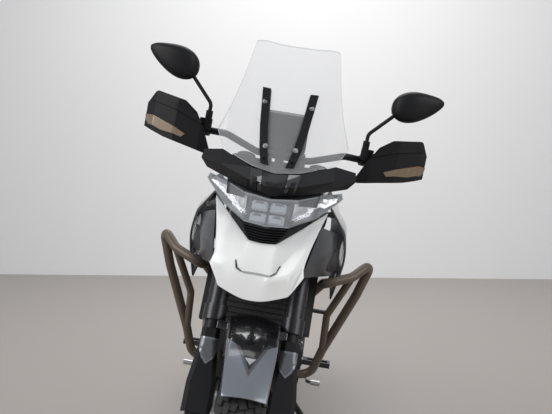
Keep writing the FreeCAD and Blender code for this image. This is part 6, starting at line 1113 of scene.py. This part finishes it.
@dataclass
class Tyre:
    """A tyre with its carcass, rim band and tread blocks."""

    node: str
    joint: str
    body: Body
    radius: float
    width: float
    rim_radius: float
    rim_width: float
    count: int
    tread: float = 0.007
    steps: int = 96
    crown_drop: float = 0.30
    crown_power: float = 2.6
    bead_inset: float = 0.0065
    bead_lip: float = 0.012
    bead_gap: float = 0.0005
    bead_height: float = 0.010
    sides: tuple[Flat, ...] = ((0.93, 0.24), (0.995, 0.44))
    crown_shares: tuple[float, ...] = (0.97, 0.90, 0.80, 0.66, 0.5, 0.33, 0.16, 0.0)
    rows: tuple[float, ...] = (0.0, 0.30, 0.58, 0.82)
    row_lag: float = 0.28
    side_lag: float = 0.5
    slant: float = 0.32
    middle_block: Flat = (0.30, 0.80)
    outer_block: Flat = (0.235, 0.70)
    block_bevel: float = 0.0012
    sharp_angle: float = 30.0

    def crown(self, across: float) -> Flat:
        """The tread surface's radius and slope at a place across it.

        Args:
            across: Share of the half width.

        Returns:
            The radius, and the surface's angle from level.
        """
        fall = self.crown_drop * (self.radius - self.rim_radius)
        steep = fall * self.crown_power * across ** (self.crown_power - 1)
        return self.radius - fall * across ** self.crown_power, math.atan2(steep, self.width / 2)

    def section(self) -> list[Flat]:
        """Places across and radii of the carcass, from one bead to the other.

        Returns:
            The points.
        """
        half = self.width / 2
        side = self.radius - self.rim_radius
        bead = self.rim_width / 2 - self.bead_inset
        points = [(bead - self.bead_lip, self.rim_radius + self.bead_gap * 2),
                  (bead, self.rim_radius + self.bead_gap),
                  (bead + self.bead_gap, self.rim_radius + self.bead_height)]
        points += [(half * x, self.rim_radius + side * up) for x, up in self.sides]
        points += [(half * x, self.crown(x)[0] - self.tread) for x in self.crown_shares]
        return points + [(-x, r) for x, r in reversed(points[:-1])]

    def carcass(self, mesh: bmesh.types.BMesh) -> None:
        """Spins the carcass about the axle.

        Args:
            mesh: The mesh that gets it.
        """
        points = [mesh.verts.new((x, 0.0, r)) for x, r in self.section()]
        edges = [mesh.edges.new(pair) for pair in zip(points, points[1:])]
        bmesh.ops.spin(mesh, geom=points + edges, cent=(0.0, 0.0, 0.0), axis=(1.0, 0.0, 0.0),
                       angle=2 * math.pi, steps=self.steps, use_merge=True)
        bmesh.ops.recalc_face_normals(mesh, faces=mesh.faces)

    def block(self, mesh: bmesh.types.BMesh, turn: float, share: float, side: int) -> None:
        """Adds one tread block, half sunk into the carcass.

        Args:
            mesh: The mesh that gets it.
            turn: Its angle round the axle.
            share: Its place across, as a share of the half width.
            side: One for the left, minus one for the right.
        """
        half = self.width / 2
        radius, slope = self.crown(share)
        place = (Matrix.Rotation(turn, 4, "X")
                 @ Matrix.Translation((side * half * share, 0.0, radius - self.tread))
                 @ Matrix.Rotation(side * slope, 4, "Y")
                 @ Matrix.Rotation(side * self.slant, 4, "Z"))
        wide, long = self.outer_block if share else self.middle_block
        pitch = 2 * math.pi / self.count
        size = (half * wide, pitch * self.radius * long, self.tread * 2)
        add_block(mesh, place, size, self.block_bevel)

    def blocks(self, mesh: bmesh.types.BMesh) -> None:
        """Sets the tread blocks in slanted rows round the crown.

        Args:
            mesh: The mesh that gets them.
        """
        pitch = 2 * math.pi / self.count
        for index in range(self.count):
            for row, share in enumerate(self.rows):
                for side in (-1, 1) if share else (1,):
                    lag = self.side_lag if side > 0 and row else 0.0
                    turn = pitch * (index + self.row_lag * row + lag)
                    self.block(mesh, turn, share, side)

    def build(self, maker: Maker) -> None:
        """Builds the tyre in place of its node.

        Args:
            maker: Makes the piece.
        """
        mesh = bmesh.new()
        self.carcass(mesh)
        self.blocks(mesh)
        bmesh.ops.transform(mesh, matrix=maker.posture.wheel(self.joint), verts=mesh.verts)
        piece = maker.piece(self.node + "_rubber", mesh, Coats.TYRE, self.body,
                            self.sharp_angle)
        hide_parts(self.node)


# Seats


@dataclass
class Seat:
    """A padded seat made from its solid, with sewn channels and piping."""

    node: str
    channels: tuple[float, ...]
    fill: float = 0.85
    voxel: float = 0.006
    merge_gap: float = 1e-5
    smoothings: int = 4
    channel_depth: float = 0.0035
    channel_width: float = 0.006
    channel_sweep: float = 0.35
    top_slope: float = 0.15
    top_gain: float = 1.6
    piping_share: float = 0.372
    piping_radius: float = 0.0022
    piping_stride: int = 3
    piping_shortest: float = 1e-4
    piping_segments: int = 6
    sharp_angle: float = 60.0
    piping_angle: float = 80.0

    def swollen(self) -> bmesh.types.BMesh:
        """The solid as an even mesh with softened edges.

        Returns:
            The mesh.
        """
        source = bmesh.new()
        source.from_mesh(MODEL["nodes"][self.node].data)
        bmesh.ops.remove_doubles(source, verts=source.verts, dist=self.merge_gap)
        data = bpy.data.meshes.new(self.node + "_block")
        source.to_mesh(data)
        source.free()
        block = bpy.data.objects.new(self.node + "_block", data)
        bpy.context.scene.collection.objects.link(block)
        remesh = block.modifiers.new("even", "REMESH")
        remesh.mode = "VOXEL"
        remesh.voxel_size = self.voxel
        graph = bpy.context.evaluated_depsgraph_get()
        even = bpy.data.meshes.new_from_object(block.evaluated_get(graph))
        bpy.data.objects.remove(block)
        mesh = bmesh.new()
        mesh.from_mesh(even)
        for _ in range(self.smoothings):
            bmesh.ops.smooth_vert(mesh, verts=mesh.verts, factor=0.5, use_axis_x=True,
                                  use_axis_y=True, use_axis_z=True)
        return mesh

    def sew(self, mesh: bmesh.types.BMesh, chassis: Matrix) -> None:
        """Draws the sewn channels into the top of the cover.

        Args:
            mesh: The seat's mesh.
            chassis: The upright machine's frame.
        """
        inverse = chassis.inverted()
        mesh.normal_update()
        for vertex in mesh.verts:
            place = inverse @ vertex.co
            up = (inverse.to_3x3() @ vertex.normal).z
            if up < self.top_slope:
                continue
            swept = place.y - self.channel_sweep * abs(place.x)
            gap = min(abs(swept - channel) for channel in self.channels) / self.channel_width
            sink = math.exp(-gap * gap) * min(1.0, up * self.top_gain)
            vertex.co -= vertex.normal * (self.channel_depth * sink)

    def build(self, maker: Maker) -> None:
        """Builds the seat in place of its node.

        Args:
            maker: Makes the pieces.
        """
        chassis = maker.posture.chassis()
        mesh = self.swollen()
        self.sew(mesh, chassis)
        self.piping(maker, mesh, chassis)
        piece = maker.piece(self.node + "_cover", mesh, Coats.SEAT, Body.CHASSIS,
                            self.sharp_angle)
        maker.subdivide(piece, 1)
        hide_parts(self.node)

    def piping(self, maker: Maker, mesh: bmesh.types.BMesh, chassis: Matrix) -> None:
        """Sews a piping round the seat where its top meets its sides.

        Args:
            maker: Makes the piece.
            mesh: The seat's mesh.
            chassis: The upright machine's frame.
        """
        copy = mesh.copy()
        inverse = chassis.inverted()
        heights = [(inverse @ vertex.co).z for vertex in copy.verts]
        level = min(heights) + (max(heights) - min(heights)) * self.piping_share
        up = chassis.to_3x3() @ Vector((0.0, 0.0, 1.0))
        cut = bmesh.ops.bisect_plane(copy, geom=copy.verts[:] + copy.edges[:] + copy.faces[:],
                                     plane_co=chassis @ Vector((0.0, 0.0, level)), plane_no=up)
        edges = [item for item in cut["geom_cut"] if isinstance(item, bmesh.types.BMEdge)]
        loop = self.ordered(edges)
        copy.free()
        tube = bmesh.new()
        for start, end in zip(loop, loop[1:] + loop[:1]):
            if (end - start).length > self.piping_shortest:
                add_rod(tube, start, end, self.piping_radius, segments=self.piping_segments)
        maker.piece(self.node + "_piping", tube, Coats.PIPING, Body.CHASSIS,
                    self.piping_angle)

    def ordered(self, edges: list[bmesh.types.BMEdge]) -> list[Vector]:
        """The points of a cut loop in order, thinned out.

        Args:
            edges: The edges of the cut.

        Returns:
            Some of the points round the loop.
        """
        left = set(edges)
        edge = edges[0]
        vertex = edge.verts[0]
        points = []
        while edge is not None:
            left.discard(edge)
            vertex = edge.other_vert(vertex)
            points.append(vertex.co.copy())
            edge = next((item for item in vertex.link_edges if item in left), None)
        return points[::self.piping_stride]


# Lamps, bolts, chain and discs


@dataclass
class LampModules:
    """What is seen through the lamp's lens: four square modules in a frame."""

    middle: Point = (0.0, -0.752, 0.951)
    lean: float = 32.0
    across: float = 0.0250
    rise: float = 0.0185
    size: Point = (0.043, 0.031, 0.016)
    proud: float = 0.0015
    bevel: float = 0.0045
    frame_rim: Flat = (0.006, 0.004)
    frame_depth: float = 0.012
    frame_sunk: float = 0.004
    frame_bevel: float = 0.003

    def build(self, maker: Maker) -> None:
        """Builds the frame and the modules.

        Args:
            maker: Makes the pieces.
        """
        place = (maker.posture.chassis() @ Matrix.Translation(self.middle)
                 @ Matrix.Rotation(math.radians(90.0 - self.lean), 4, "X"))
        bezel = bmesh.new()
        size = (self.across * 4 + self.frame_rim[0], self.rise * 4 + self.frame_rim[1],
                self.frame_depth)
        add_block(bezel, place @ Matrix.Translation((0.0, 0.0, -self.frame_sunk)), size,
                  self.frame_bevel)
        maker.piece("lamp_frame", bezel, Coats.GLOSSY, Body.CHASSIS)
        optics = bmesh.new()
        for x in (-self.across, self.across):
            for y in (-self.rise, self.rise):
                seat = place @ Matrix.Translation((x, y, self.proud))
                add_block(optics, seat, self.size, self.bevel)
        maker.piece("lamp_modules", optics, Coats.OPTIC, Body.CHASSIS)


@dataclass
class Bolts:
    """Bolt heads set on the surface of nodes."""

    name: str
    nodes: tuple[str, ...]
    places: tuple[Flat, ...]
    radius: float
    coat: Coats
    direction: Point = (0.0, 1.0, 0.0)
    side_start: float = 0.6
    front_start: float = 1.4

    def ray(self, side: int, place: Flat) -> tuple[Vector, Vector]:
        """The start and direction of the ray that finds a bolt's seat.

        Args:
            side: One for the left, minus one for the right.
            place: Across and up for rays fore and aft, or back and up for rays from the side.

        Returns:
            The start and the direction in the chassis frame.
        """
        ahead = Vector(self.direction)
        if abs(ahead.x) > 0.5:
            ahead.x *= side
            return Vector((0.0, *place)) - ahead * self.side_start, ahead
        return Vector((side * place[0], 0.0, place[1])) - ahead * self.front_start, ahead

    def build(self, maker: Maker) -> None:
        """Sets the bolts on both sides of the chassis.

        Args:
            maker: Makes the piece.
        """
        frame = maker.posture.chassis()
        turn = frame.to_3x3()
        skin = Skin(*self.nodes)
        head = BoltHead(self.radius)
        mesh = bmesh.new()
        for side in (1, -1):
            for place in self.places:
                start, ahead = self.ray(side, place)
                met = skin.meet(frame @ start, (turn @ ahead).normalized())
                if met is not None:
                    head.add(mesh, *met)
        maker.piece(self.name, mesh, self.coat, Body.CHASSIS)


def circle(y: float, z: float, radius: float, count: int) -> tuple[Flat, ...]:
    """Places on a circle.

    Args:
        y: Middle, back.
        z: Middle, up.
        radius: Radius.
        count: Number of places.

    Returns:
        The places.
    """
    turns = (2 * math.pi * index / count for index in range(count))
    return tuple((y + radius * math.cos(turn), z + radius * math.sin(turn)) for turn in turns)


@dataclass
class Chain:
    """A roller chain with its side plates, pins and rollers, in place of its node."""

    front: Flat = (0.190, 0.432)
    rear: Flat = (0.780, 0.333)
    front_radius: float = 0.0453
    rear_radius: float = 0.1110
    across: float = 0.097
    pitch: float = 0.015875
    plate_gap: float = 0.0052
    plate: float = 0.0022
    plate_share: float = 0.92
    plate_length: float = 1.55
    height: float = 0.0145
    bevel: float = 0.0007
    pin_reach: float = 2.4
    pin_radius: float = 0.0024
    pin_segments: int = 8
    roller_share: float = 0.5
    roller_radius: float = 0.0048
    roller_segments: int = 10
    arc_steps: int = 60

    def arc(self, middle: Vector, radius: float, start: float, end: float) -> list[Vector]:
        """Points round a sprocket.

        Args:
            middle: The sprocket's middle.
            radius: Its radius.
            start: Angle of the first point.
            end: Angle of the last point.

        Returns:
            The points.
        """
        turns = (start + (end - start) * index / self.arc_steps
                 for index in range(self.arc_steps + 1))
        return [middle + Vector((0.0, math.cos(turn), math.sin(turn))) * radius
                for turn in turns]

    def line(self) -> list[Vector]:
        """Points of the chain's pins, evenly spaced round both sprockets.

        Returns:
            The points in the chassis frame.
        """
        front, rear = Vector((0.0, *self.front)), Vector((0.0, *self.rear))
        run = rear - front
        slope = math.atan2(run.z, run.y)
        swing = math.asin((self.rear_radius - self.front_radius) / run.length)
        top, low = slope + math.pi / 2 + swing, slope - math.pi / 2 - swing
        path = self.arc(front, self.front_radius, top, low + 2 * math.pi)
        path += self.arc(rear, self.rear_radius, low, top)
        path.append(path[0].copy())
        steps = [(b - a).length for a, b in zip(path, path[1:])]
        count = 2 * round(sum(steps) / self.pitch / 2)
        gap = sum(steps) / count
        points: list[Vector] = []
        walked, target = 0.0, 0.0
        for start, end, step in zip(path, path[1:], steps):
            while target < walked + step and len(points) < count:
                points.append(start.lerp(end, (target - walked) / step))
                target += gap
            walked += step
        return points

    def link(self, mesh: bmesh.types.BMesh, frame: Matrix, pin: Vector, after: Vector,
             outer: bool) -> None:
        """Adds one link: its two plates, its pin and its roller.

        Args:
            mesh: The mesh that gets it.
            frame: The chassis frame.
            pin: Its pin.
            after: The next link's pin.
            outer: Whether its plates lie outside its neighbours'.
        """
        run = after - pin
        middle = (pin + after) / 2
        outward = self.plate_gap + (self.plate if outer else 0.0) + self.plate / 2
        turn = Matrix.Rotation(math.atan2(run.z, run.y), 4, "X")
        size = (self.plate * self.plate_share, self.pitch * self.plate_length, self.height)
        for side in (-1, 1):
            place = Matrix.Translation((self.across + side * outward, middle.y, middle.z))
            add_block(mesh, frame @ place @ turn, size, self.bevel)
        seat = Vector((self.across, pin.y, pin.z))
        reach = Vector((self.plate_gap + self.plate * self.pin_reach, 0.0, 0.0))
        add_rod(mesh, frame @ (seat - reach), frame @ (seat + reach), self.pin_radius,
                segments=self.pin_segments)
        reach = reach * self.roller_share
        add_rod(mesh, frame @ (seat - reach), frame @ (seat + reach), self.roller_radius,
                segments=self.roller_segments)

    def build(self, maker: Maker) -> None:
        """Builds the chain.

        Args:
            maker: Makes the piece.
        """
        frame = maker.posture.chassis()
        points = self.line()
        mesh = bmesh.new()
        for index, pin in enumerate(points):
            after = points[(index + 1) % len(points)]
            self.link(mesh, frame, pin, after, index % 2 == 1)
        piece = maker.piece("chain_links", mesh, Coats.CHAIN, Body.CHASSIS)
        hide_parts("chain")


@dataclass
class DiscHoles:
    """Black plugs on both faces of brake discs, painted shade where the holes are drilled."""

    name: str
    joint: str
    body: Body
    across: tuple[float, ...]
    radii: tuple[float, ...]
    thickness: float = 0.005
    proud: float = 0.00025
    count: int = 30
    hole: float = 0.0034
    segments: int = 10

    def build(self, maker: Maker) -> None:
        """Sets the black plugs, painted shade in the drilled holes.

        Args:
            maker: Makes the piece.
        """
        frame = maker.posture.wheel(self.joint)
        half = self.thickness / 2 + self.proud
        mesh = bmesh.new()
        for x in self.across:
            for row, radius in enumerate(self.radii):
                for index in range(self.count):
                    angle = 2 * math.pi * (index + row / len(self.radii)) / self.count
                    y, z = radius * math.cos(angle), radius * math.sin(angle)
                    add_rod(mesh, frame @ Vector((x - half, y, z)),
                            frame @ Vector((x + half, y, z)), self.hole,
                            segments=self.segments)
        # Black plugs: painted shade where the holes are drilled.
        maker.piece(self.name, mesh, Coats.GLOSSY, self.body)


# Sub-assemblies


class Part(Protocol):
    """Anything that a maker can build."""

    def build(self, maker: Maker) -> None:
        """Builds the part's pieces."""


class Assembly:
    """Parts of the machine that are built one after another."""

    def parts(self) -> tuple[Part, ...]:
        """The parts in the order in which they are built.

        Returns:
            The parts.
        """
        raise NotImplementedError

    def build(self, maker: Maker) -> None:
        """Builds every part.

        Args:
            maker: Makes the pieces.
        """
        for part in self.parts():
            part.build(maker)


@dataclass
class Wheels(Assembly):
    """Both tyres."""

    front: Tyre = field(default_factory=lambda: Tyre(
        "front_tyre", "front_wheel", Body.FRONT_WHEEL, 0.325, 0.120, 0.243, 0.078, 64))
    rear: Tyre = field(default_factory=lambda: Tyre(
        "rear_tyre", "rear_wheel", Body.REAR_WHEEL, 0.333, 0.150, 0.230, 0.106, 60))

    def parts(self) -> tuple[Part, ...]:
        """The tyres."""
        return self.front, self.rear


@dataclass
class Beak(Assembly):
    """Smooth painted panels and screen, and the painted shade of the beak's slot."""

    fender_crease: float = 18.0
    shroud_crease: float = 22.0
    screen_crease: float = 26.0
    # The slot's painted shade: a grey shadow line in the middle, black ends and grey corners
    # between them.
    slot_line: tuple[Flat, ...] = ((-0.037, 0.8130), (0.037, 0.8130), (0.031, 0.8088),
                                   (-0.031, 0.8088))
    slot_end: tuple[Flat, ...] = ((0.0575, 0.834), (0.0545, 0.835), (0.0475, 0.820),
                                  (0.0515, 0.8165))
    slot_corner: tuple[Flat, ...] = ((0.0515, 0.8165), (0.0475, 0.820), (0.035, 0.8125),
                                     (0.037, 0.8100))

    def parts(self) -> tuple[Part, ...]:
        """The panels, then the slot's painted shade that is laid on the beak.

        Returns:
            The parts.
        """
        return (
            SoftPanel("beak", Coats.WHITE),
            SoftPanel("front_fender", Coats.FENDER, Body.STEERING,
                      crease_angle=self.fender_crease),
            SoftPanel("tank_shrouds", Coats.GREY, crease_angle=self.shroud_crease),
            SoftPanel("windscreen", Coats.CLEAR, crease_angle=self.screen_crease,
                      rim=Coats.SCREEN_RIM),
            # Painted shade in the slot, laid on the beak.
            Drape("beak_slot_line", ("beak",), self.slot_line, Coats.SHADOW, sides=(1,)),
            Drape("beak_slot_shade_ends", ("beak",), self.slot_end, Coats.GLOSSY),
            Drape("beak_slot_shade_corners", ("beak",), self.slot_corner, Coats.CAP),
        )


@dataclass
class Cowl(Assembly):
    """Recesses and raised pads of the cowl."""

    recess: tuple[Flat, ...] = ((0.036, 1.059), (0.071, 1.063), (0.057, 1.003),
                                (0.029, 0.999))
    pad: tuple[Flat, ...] = ((0.046, 1.040), (0.060, 1.042), (0.052, 1.008), (0.040, 1.006))
    centre: tuple[Flat, ...] = ((-0.033, 1.054), (0.033, 1.054), (0.027, 1.000),
                                (-0.027, 1.000))
    pad_lift: float = 0.0025

    def parts(self) -> tuple[Part, ...]:
        """The recesses, and the pads inside and between them.

        Returns:
            The parts.
        """
        return (
            Drape("cowl_recesses", ("cowl",), self.recess, Coats.GLOSSY),
            Drape("cowl_recess_pads", ("cowl",), self.pad, Coats.PLASTIC, lift=self.pad_lift),
            Drape("cowl_centre", ("cowl",), self.centre, Coats.PLASTIC, lift=self.pad_lift,
                  sides=(1,)),
        )


@dataclass
class Guards(Assembly):
    """Rims and caps of the fork guards, lenses and ridges of the hand guards."""

    rim: tuple[Flat, ...] = ((0.086, 0.264), (0.134, 0.264), (0.134, 0.236), (0.127, 0.208),
                             (0.110, 0.190), (0.094, 0.206), (0.087, 0.234))
    cap: tuple[Flat, ...] = ((0.091, 0.258), (0.129, 0.258), (0.129, 0.236), (0.122, 0.212),
                             (0.110, 0.198), (0.098, 0.210), (0.091, 0.234))
    lens: tuple[Flat, ...] = ((0.308, 0.857), (0.441, 0.914), (0.438, 0.898), (0.425, 0.880),
                              (0.385, 0.862), (0.318, 0.847))
    ridge: tuple[Flat, ...] = ((0.262, 0.905), (0.300, 0.925), (0.425, 0.955),
                               (0.425, 0.945), (0.302, 0.905), (0.266, 0.893))

    def parts(self) -> tuple[Part, ...]:
        """The pieces on the fork guards, then those on the hand guards.

        Returns:
            The parts.
        """
        fork, hand = ("fork_guards",), ("hand_guards",)
        return (
            Drape("guard_rims", fork, self.rim, Coats.SILVER, Body.STEERING,
                  lift=0.0006, thickness=0.002),
            Drape("guard_caps", fork, self.cap, Coats.CAP, Body.STEERING,
                  lift=0.0026, thickness=0.0015),
            Drape("hand_guard_lenses", hand, self.lens, Coats.AMBER, Body.STEERING,
                  lift=0.0012, thickness=0.0025),
            Drape("hand_guard_ridges", hand, self.ridge, Coats.PLASTIC, Body.STEERING,
                  lift=0.003, thickness=0.003),
        )


@dataclass
class Headlight(Assembly):
    """Wings, lights, modules and brow of the headlight, and the screen strips' bolts."""

    wing: tuple[Flat, ...] = ((0.060, 0.984), (0.184, 1.013), (0.176, 1.003), (0.130, 0.975),
                              (0.058, 0.932))
    inner_light: tuple[Flat, ...] = ((0.062, 0.940), (0.130, 0.981), (0.131, 0.974),
                                     (0.062, 0.932))
    outer_light: tuple[Flat, ...] = ((0.130, 0.981), (0.176, 1.010), (0.175, 1.002),
                                     (0.131, 0.974))
    light_lift: float = 0.0105
    light_cell: float = 0.003
    wall: float = 0.002
    strip_bolts: tuple[Flat, ...] = ((0.067, 1.251), (0.042, 1.127))
    strip_bolt_radius: float = 0.0055
    brow: tuple[Point, Point, Point, Point] = (
        (0.0, -0.724, 0.974), (0.126, -0.668, 0.982), (0.0, -0.712, 1.008),
        (0.132, -0.640, 1.022))
    brow_bulge: Point = (0.0, -0.004, 0.0)

    def light(self, name: str, outline: tuple[Flat, ...]) -> Drape:
        """One light strip along a wing."""
        return Drape(name, ("headlight",), outline, Coats.LIGHT, lift=self.light_lift,
                     thickness=self.wall, cell=self.light_cell)

    def parts(self) -> tuple[Part, ...]:
        """The wings, their lights, the modules, the bolts and the brow.

        Returns:
            The parts.
        """
        return (
            Drape("lamp_wings", ("headlight",), self.wing, Coats.REFLECTOR, lift=0.004,
                  thickness=self.wall, cell=0.004, ripple=0.0028),
            self.light("wing_light_inners", self.inner_light),
            self.light("wing_light_outers", self.outer_light),
            LampModules(),
            Bolts("strip_bolt_heads", ("screen_strips",), self.strip_bolts,
                  self.strip_bolt_radius, Coats.STEEL),
            Patch("lamp_brow", self.brow, self.brow_bulge, Coats.PLASTIC),
        )


@dataclass
class ShroudInsides(Assembly):
    """Dark panels and intakes on the inner sides of the shrouds."""

    inner: tuple[Point, Point, Point, Point] = (
        (0.116, -0.832, 0.812), (0.214, -0.484, 0.772), (0.148, -0.664, 0.930),
        (0.200, -0.530, 0.905))
    inner_bulge: Point = (0.010, 0.0, 0.0)
    intake: tuple[Point, Point, Point, Point] = (
        (0.160, -0.664, 0.800), (0.222, -0.480, 0.790), (0.172, -0.620, 0.850),
        (0.216, -0.500, 0.862))
    intake_bulge: Point = (0.010, -0.004, 0.0)

    def parts(self) -> tuple[Part, ...]:
        """The panels and the intakes."""
        return (Patch("shroud_inners", self.inner, self.inner_bulge, Coats.PANEL),
                Patch("shroud_intakes", self.intake, self.intake_bulge, Coats.CORE))


@dataclass
class Mirrors(Assembly):
    """Glasses of the mirrors, laid on their rear faces."""

    outline: tuple[Flat, ...] = ((0.304, 1.098), (0.330, 1.120), (0.380, 1.134),
                                 (0.428, 1.128), (0.446, 1.112), (0.410, 1.082),
                                 (0.350, 1.062), (0.312, 1.070))
    ahead: Point = (0.0, -0.91, -0.4147)
    thickness: float = 0.0015

    def parts(self) -> tuple[Part, ...]:
        """The pair of glasses."""
        return (Drape("mirror_glasses", ("mirrors",), self.outline, Coats.MIRROR,
                      Body.STEERING, self.ahead, thickness=self.thickness),)


@dataclass
class Sides(Assembly):
    """Painted shade in the drillings of the discs, and bolts along the machine's sides."""

    front_discs: Flat = (-0.066, 0.066)
    front_rows: Point = (0.131, 0.141, 0.151)
    rear_disc: float = -0.078
    rear_rows: Point = (0.114, 0.124, 0.134)
    sideways: Point = (-1.0, 0.0, 0.0)
    cover: tuple[float, float, float, int] = (-0.015, 0.420, 0.083, 9)
    cover_bolt_radius: float = 0.0048
    panel: tuple[Flat, ...] = ((0.300, 0.760), (0.080, 0.800), (-0.330, 0.840),
                               (-0.180, 0.790))
    panel_bolt_radius: float = 0.0050

    def parts(self) -> tuple[Part, ...]:
        """The drillings' painted shade, then the bolts.

        Returns:
            The parts.
        """
        return (
            DiscHoles("front_disc_hole_shade", "front_wheel", Body.FRONT_WHEEL,
                      self.front_discs, self.front_rows),
            DiscHoles("rear_disc_hole_shade", "rear_wheel", Body.REAR_WHEEL,
                      (self.rear_disc,), self.rear_rows),
            Bolts("cover_bolts", ("engine_covers",), circle(*self.cover),
                  self.cover_bolt_radius, Coats.STEEL, self.sideways),
            Bolts("panel_bolts", ("side_panels", "tank_shrouds"), self.panel,
                  self.panel_bolt_radius, Coats.FRAME, self.sideways),
        )


@dataclass
class Seats(Assembly):
    """The rider's and the pillion's seat."""

    rider_channels: Flat = (0.16, 0.34)
    pillion_channels: Flat = (0.50, 0.66)

    def parts(self) -> tuple[Part, ...]:
        """The seats from front to rear."""
        return Seat("rider_seat", self.rider_channels), Seat("pillion_seat",
                                                             self.pillion_channels)


def dress_nodes() -> None:
    """Gives every CAD node its finish."""
    for coat, nodes in NODE_COATS.items():
        for node in nodes:
            item = MODEL["nodes"][node]
            item.data.materials.clear()
            item.data.materials.append(coat.material)


def main() -> None:
    """Builds the scene, one sub-assembly after another."""
    logging.basicConfig(level=logging.INFO)
    MODEL.update(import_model())
    Stage().build()
    dress_nodes()
    maker = Maker()
    for assembly in (Wheels(), Beak(), Cowl(), Guards(), Headlight(), ShroudInsides(),
                     Mirrors(), Sides(), Chain(), Seats()):
        assembly.build(maker)
    LOG.info("%d pieces", maker.made)


if __name__ == "__main__":
    main()
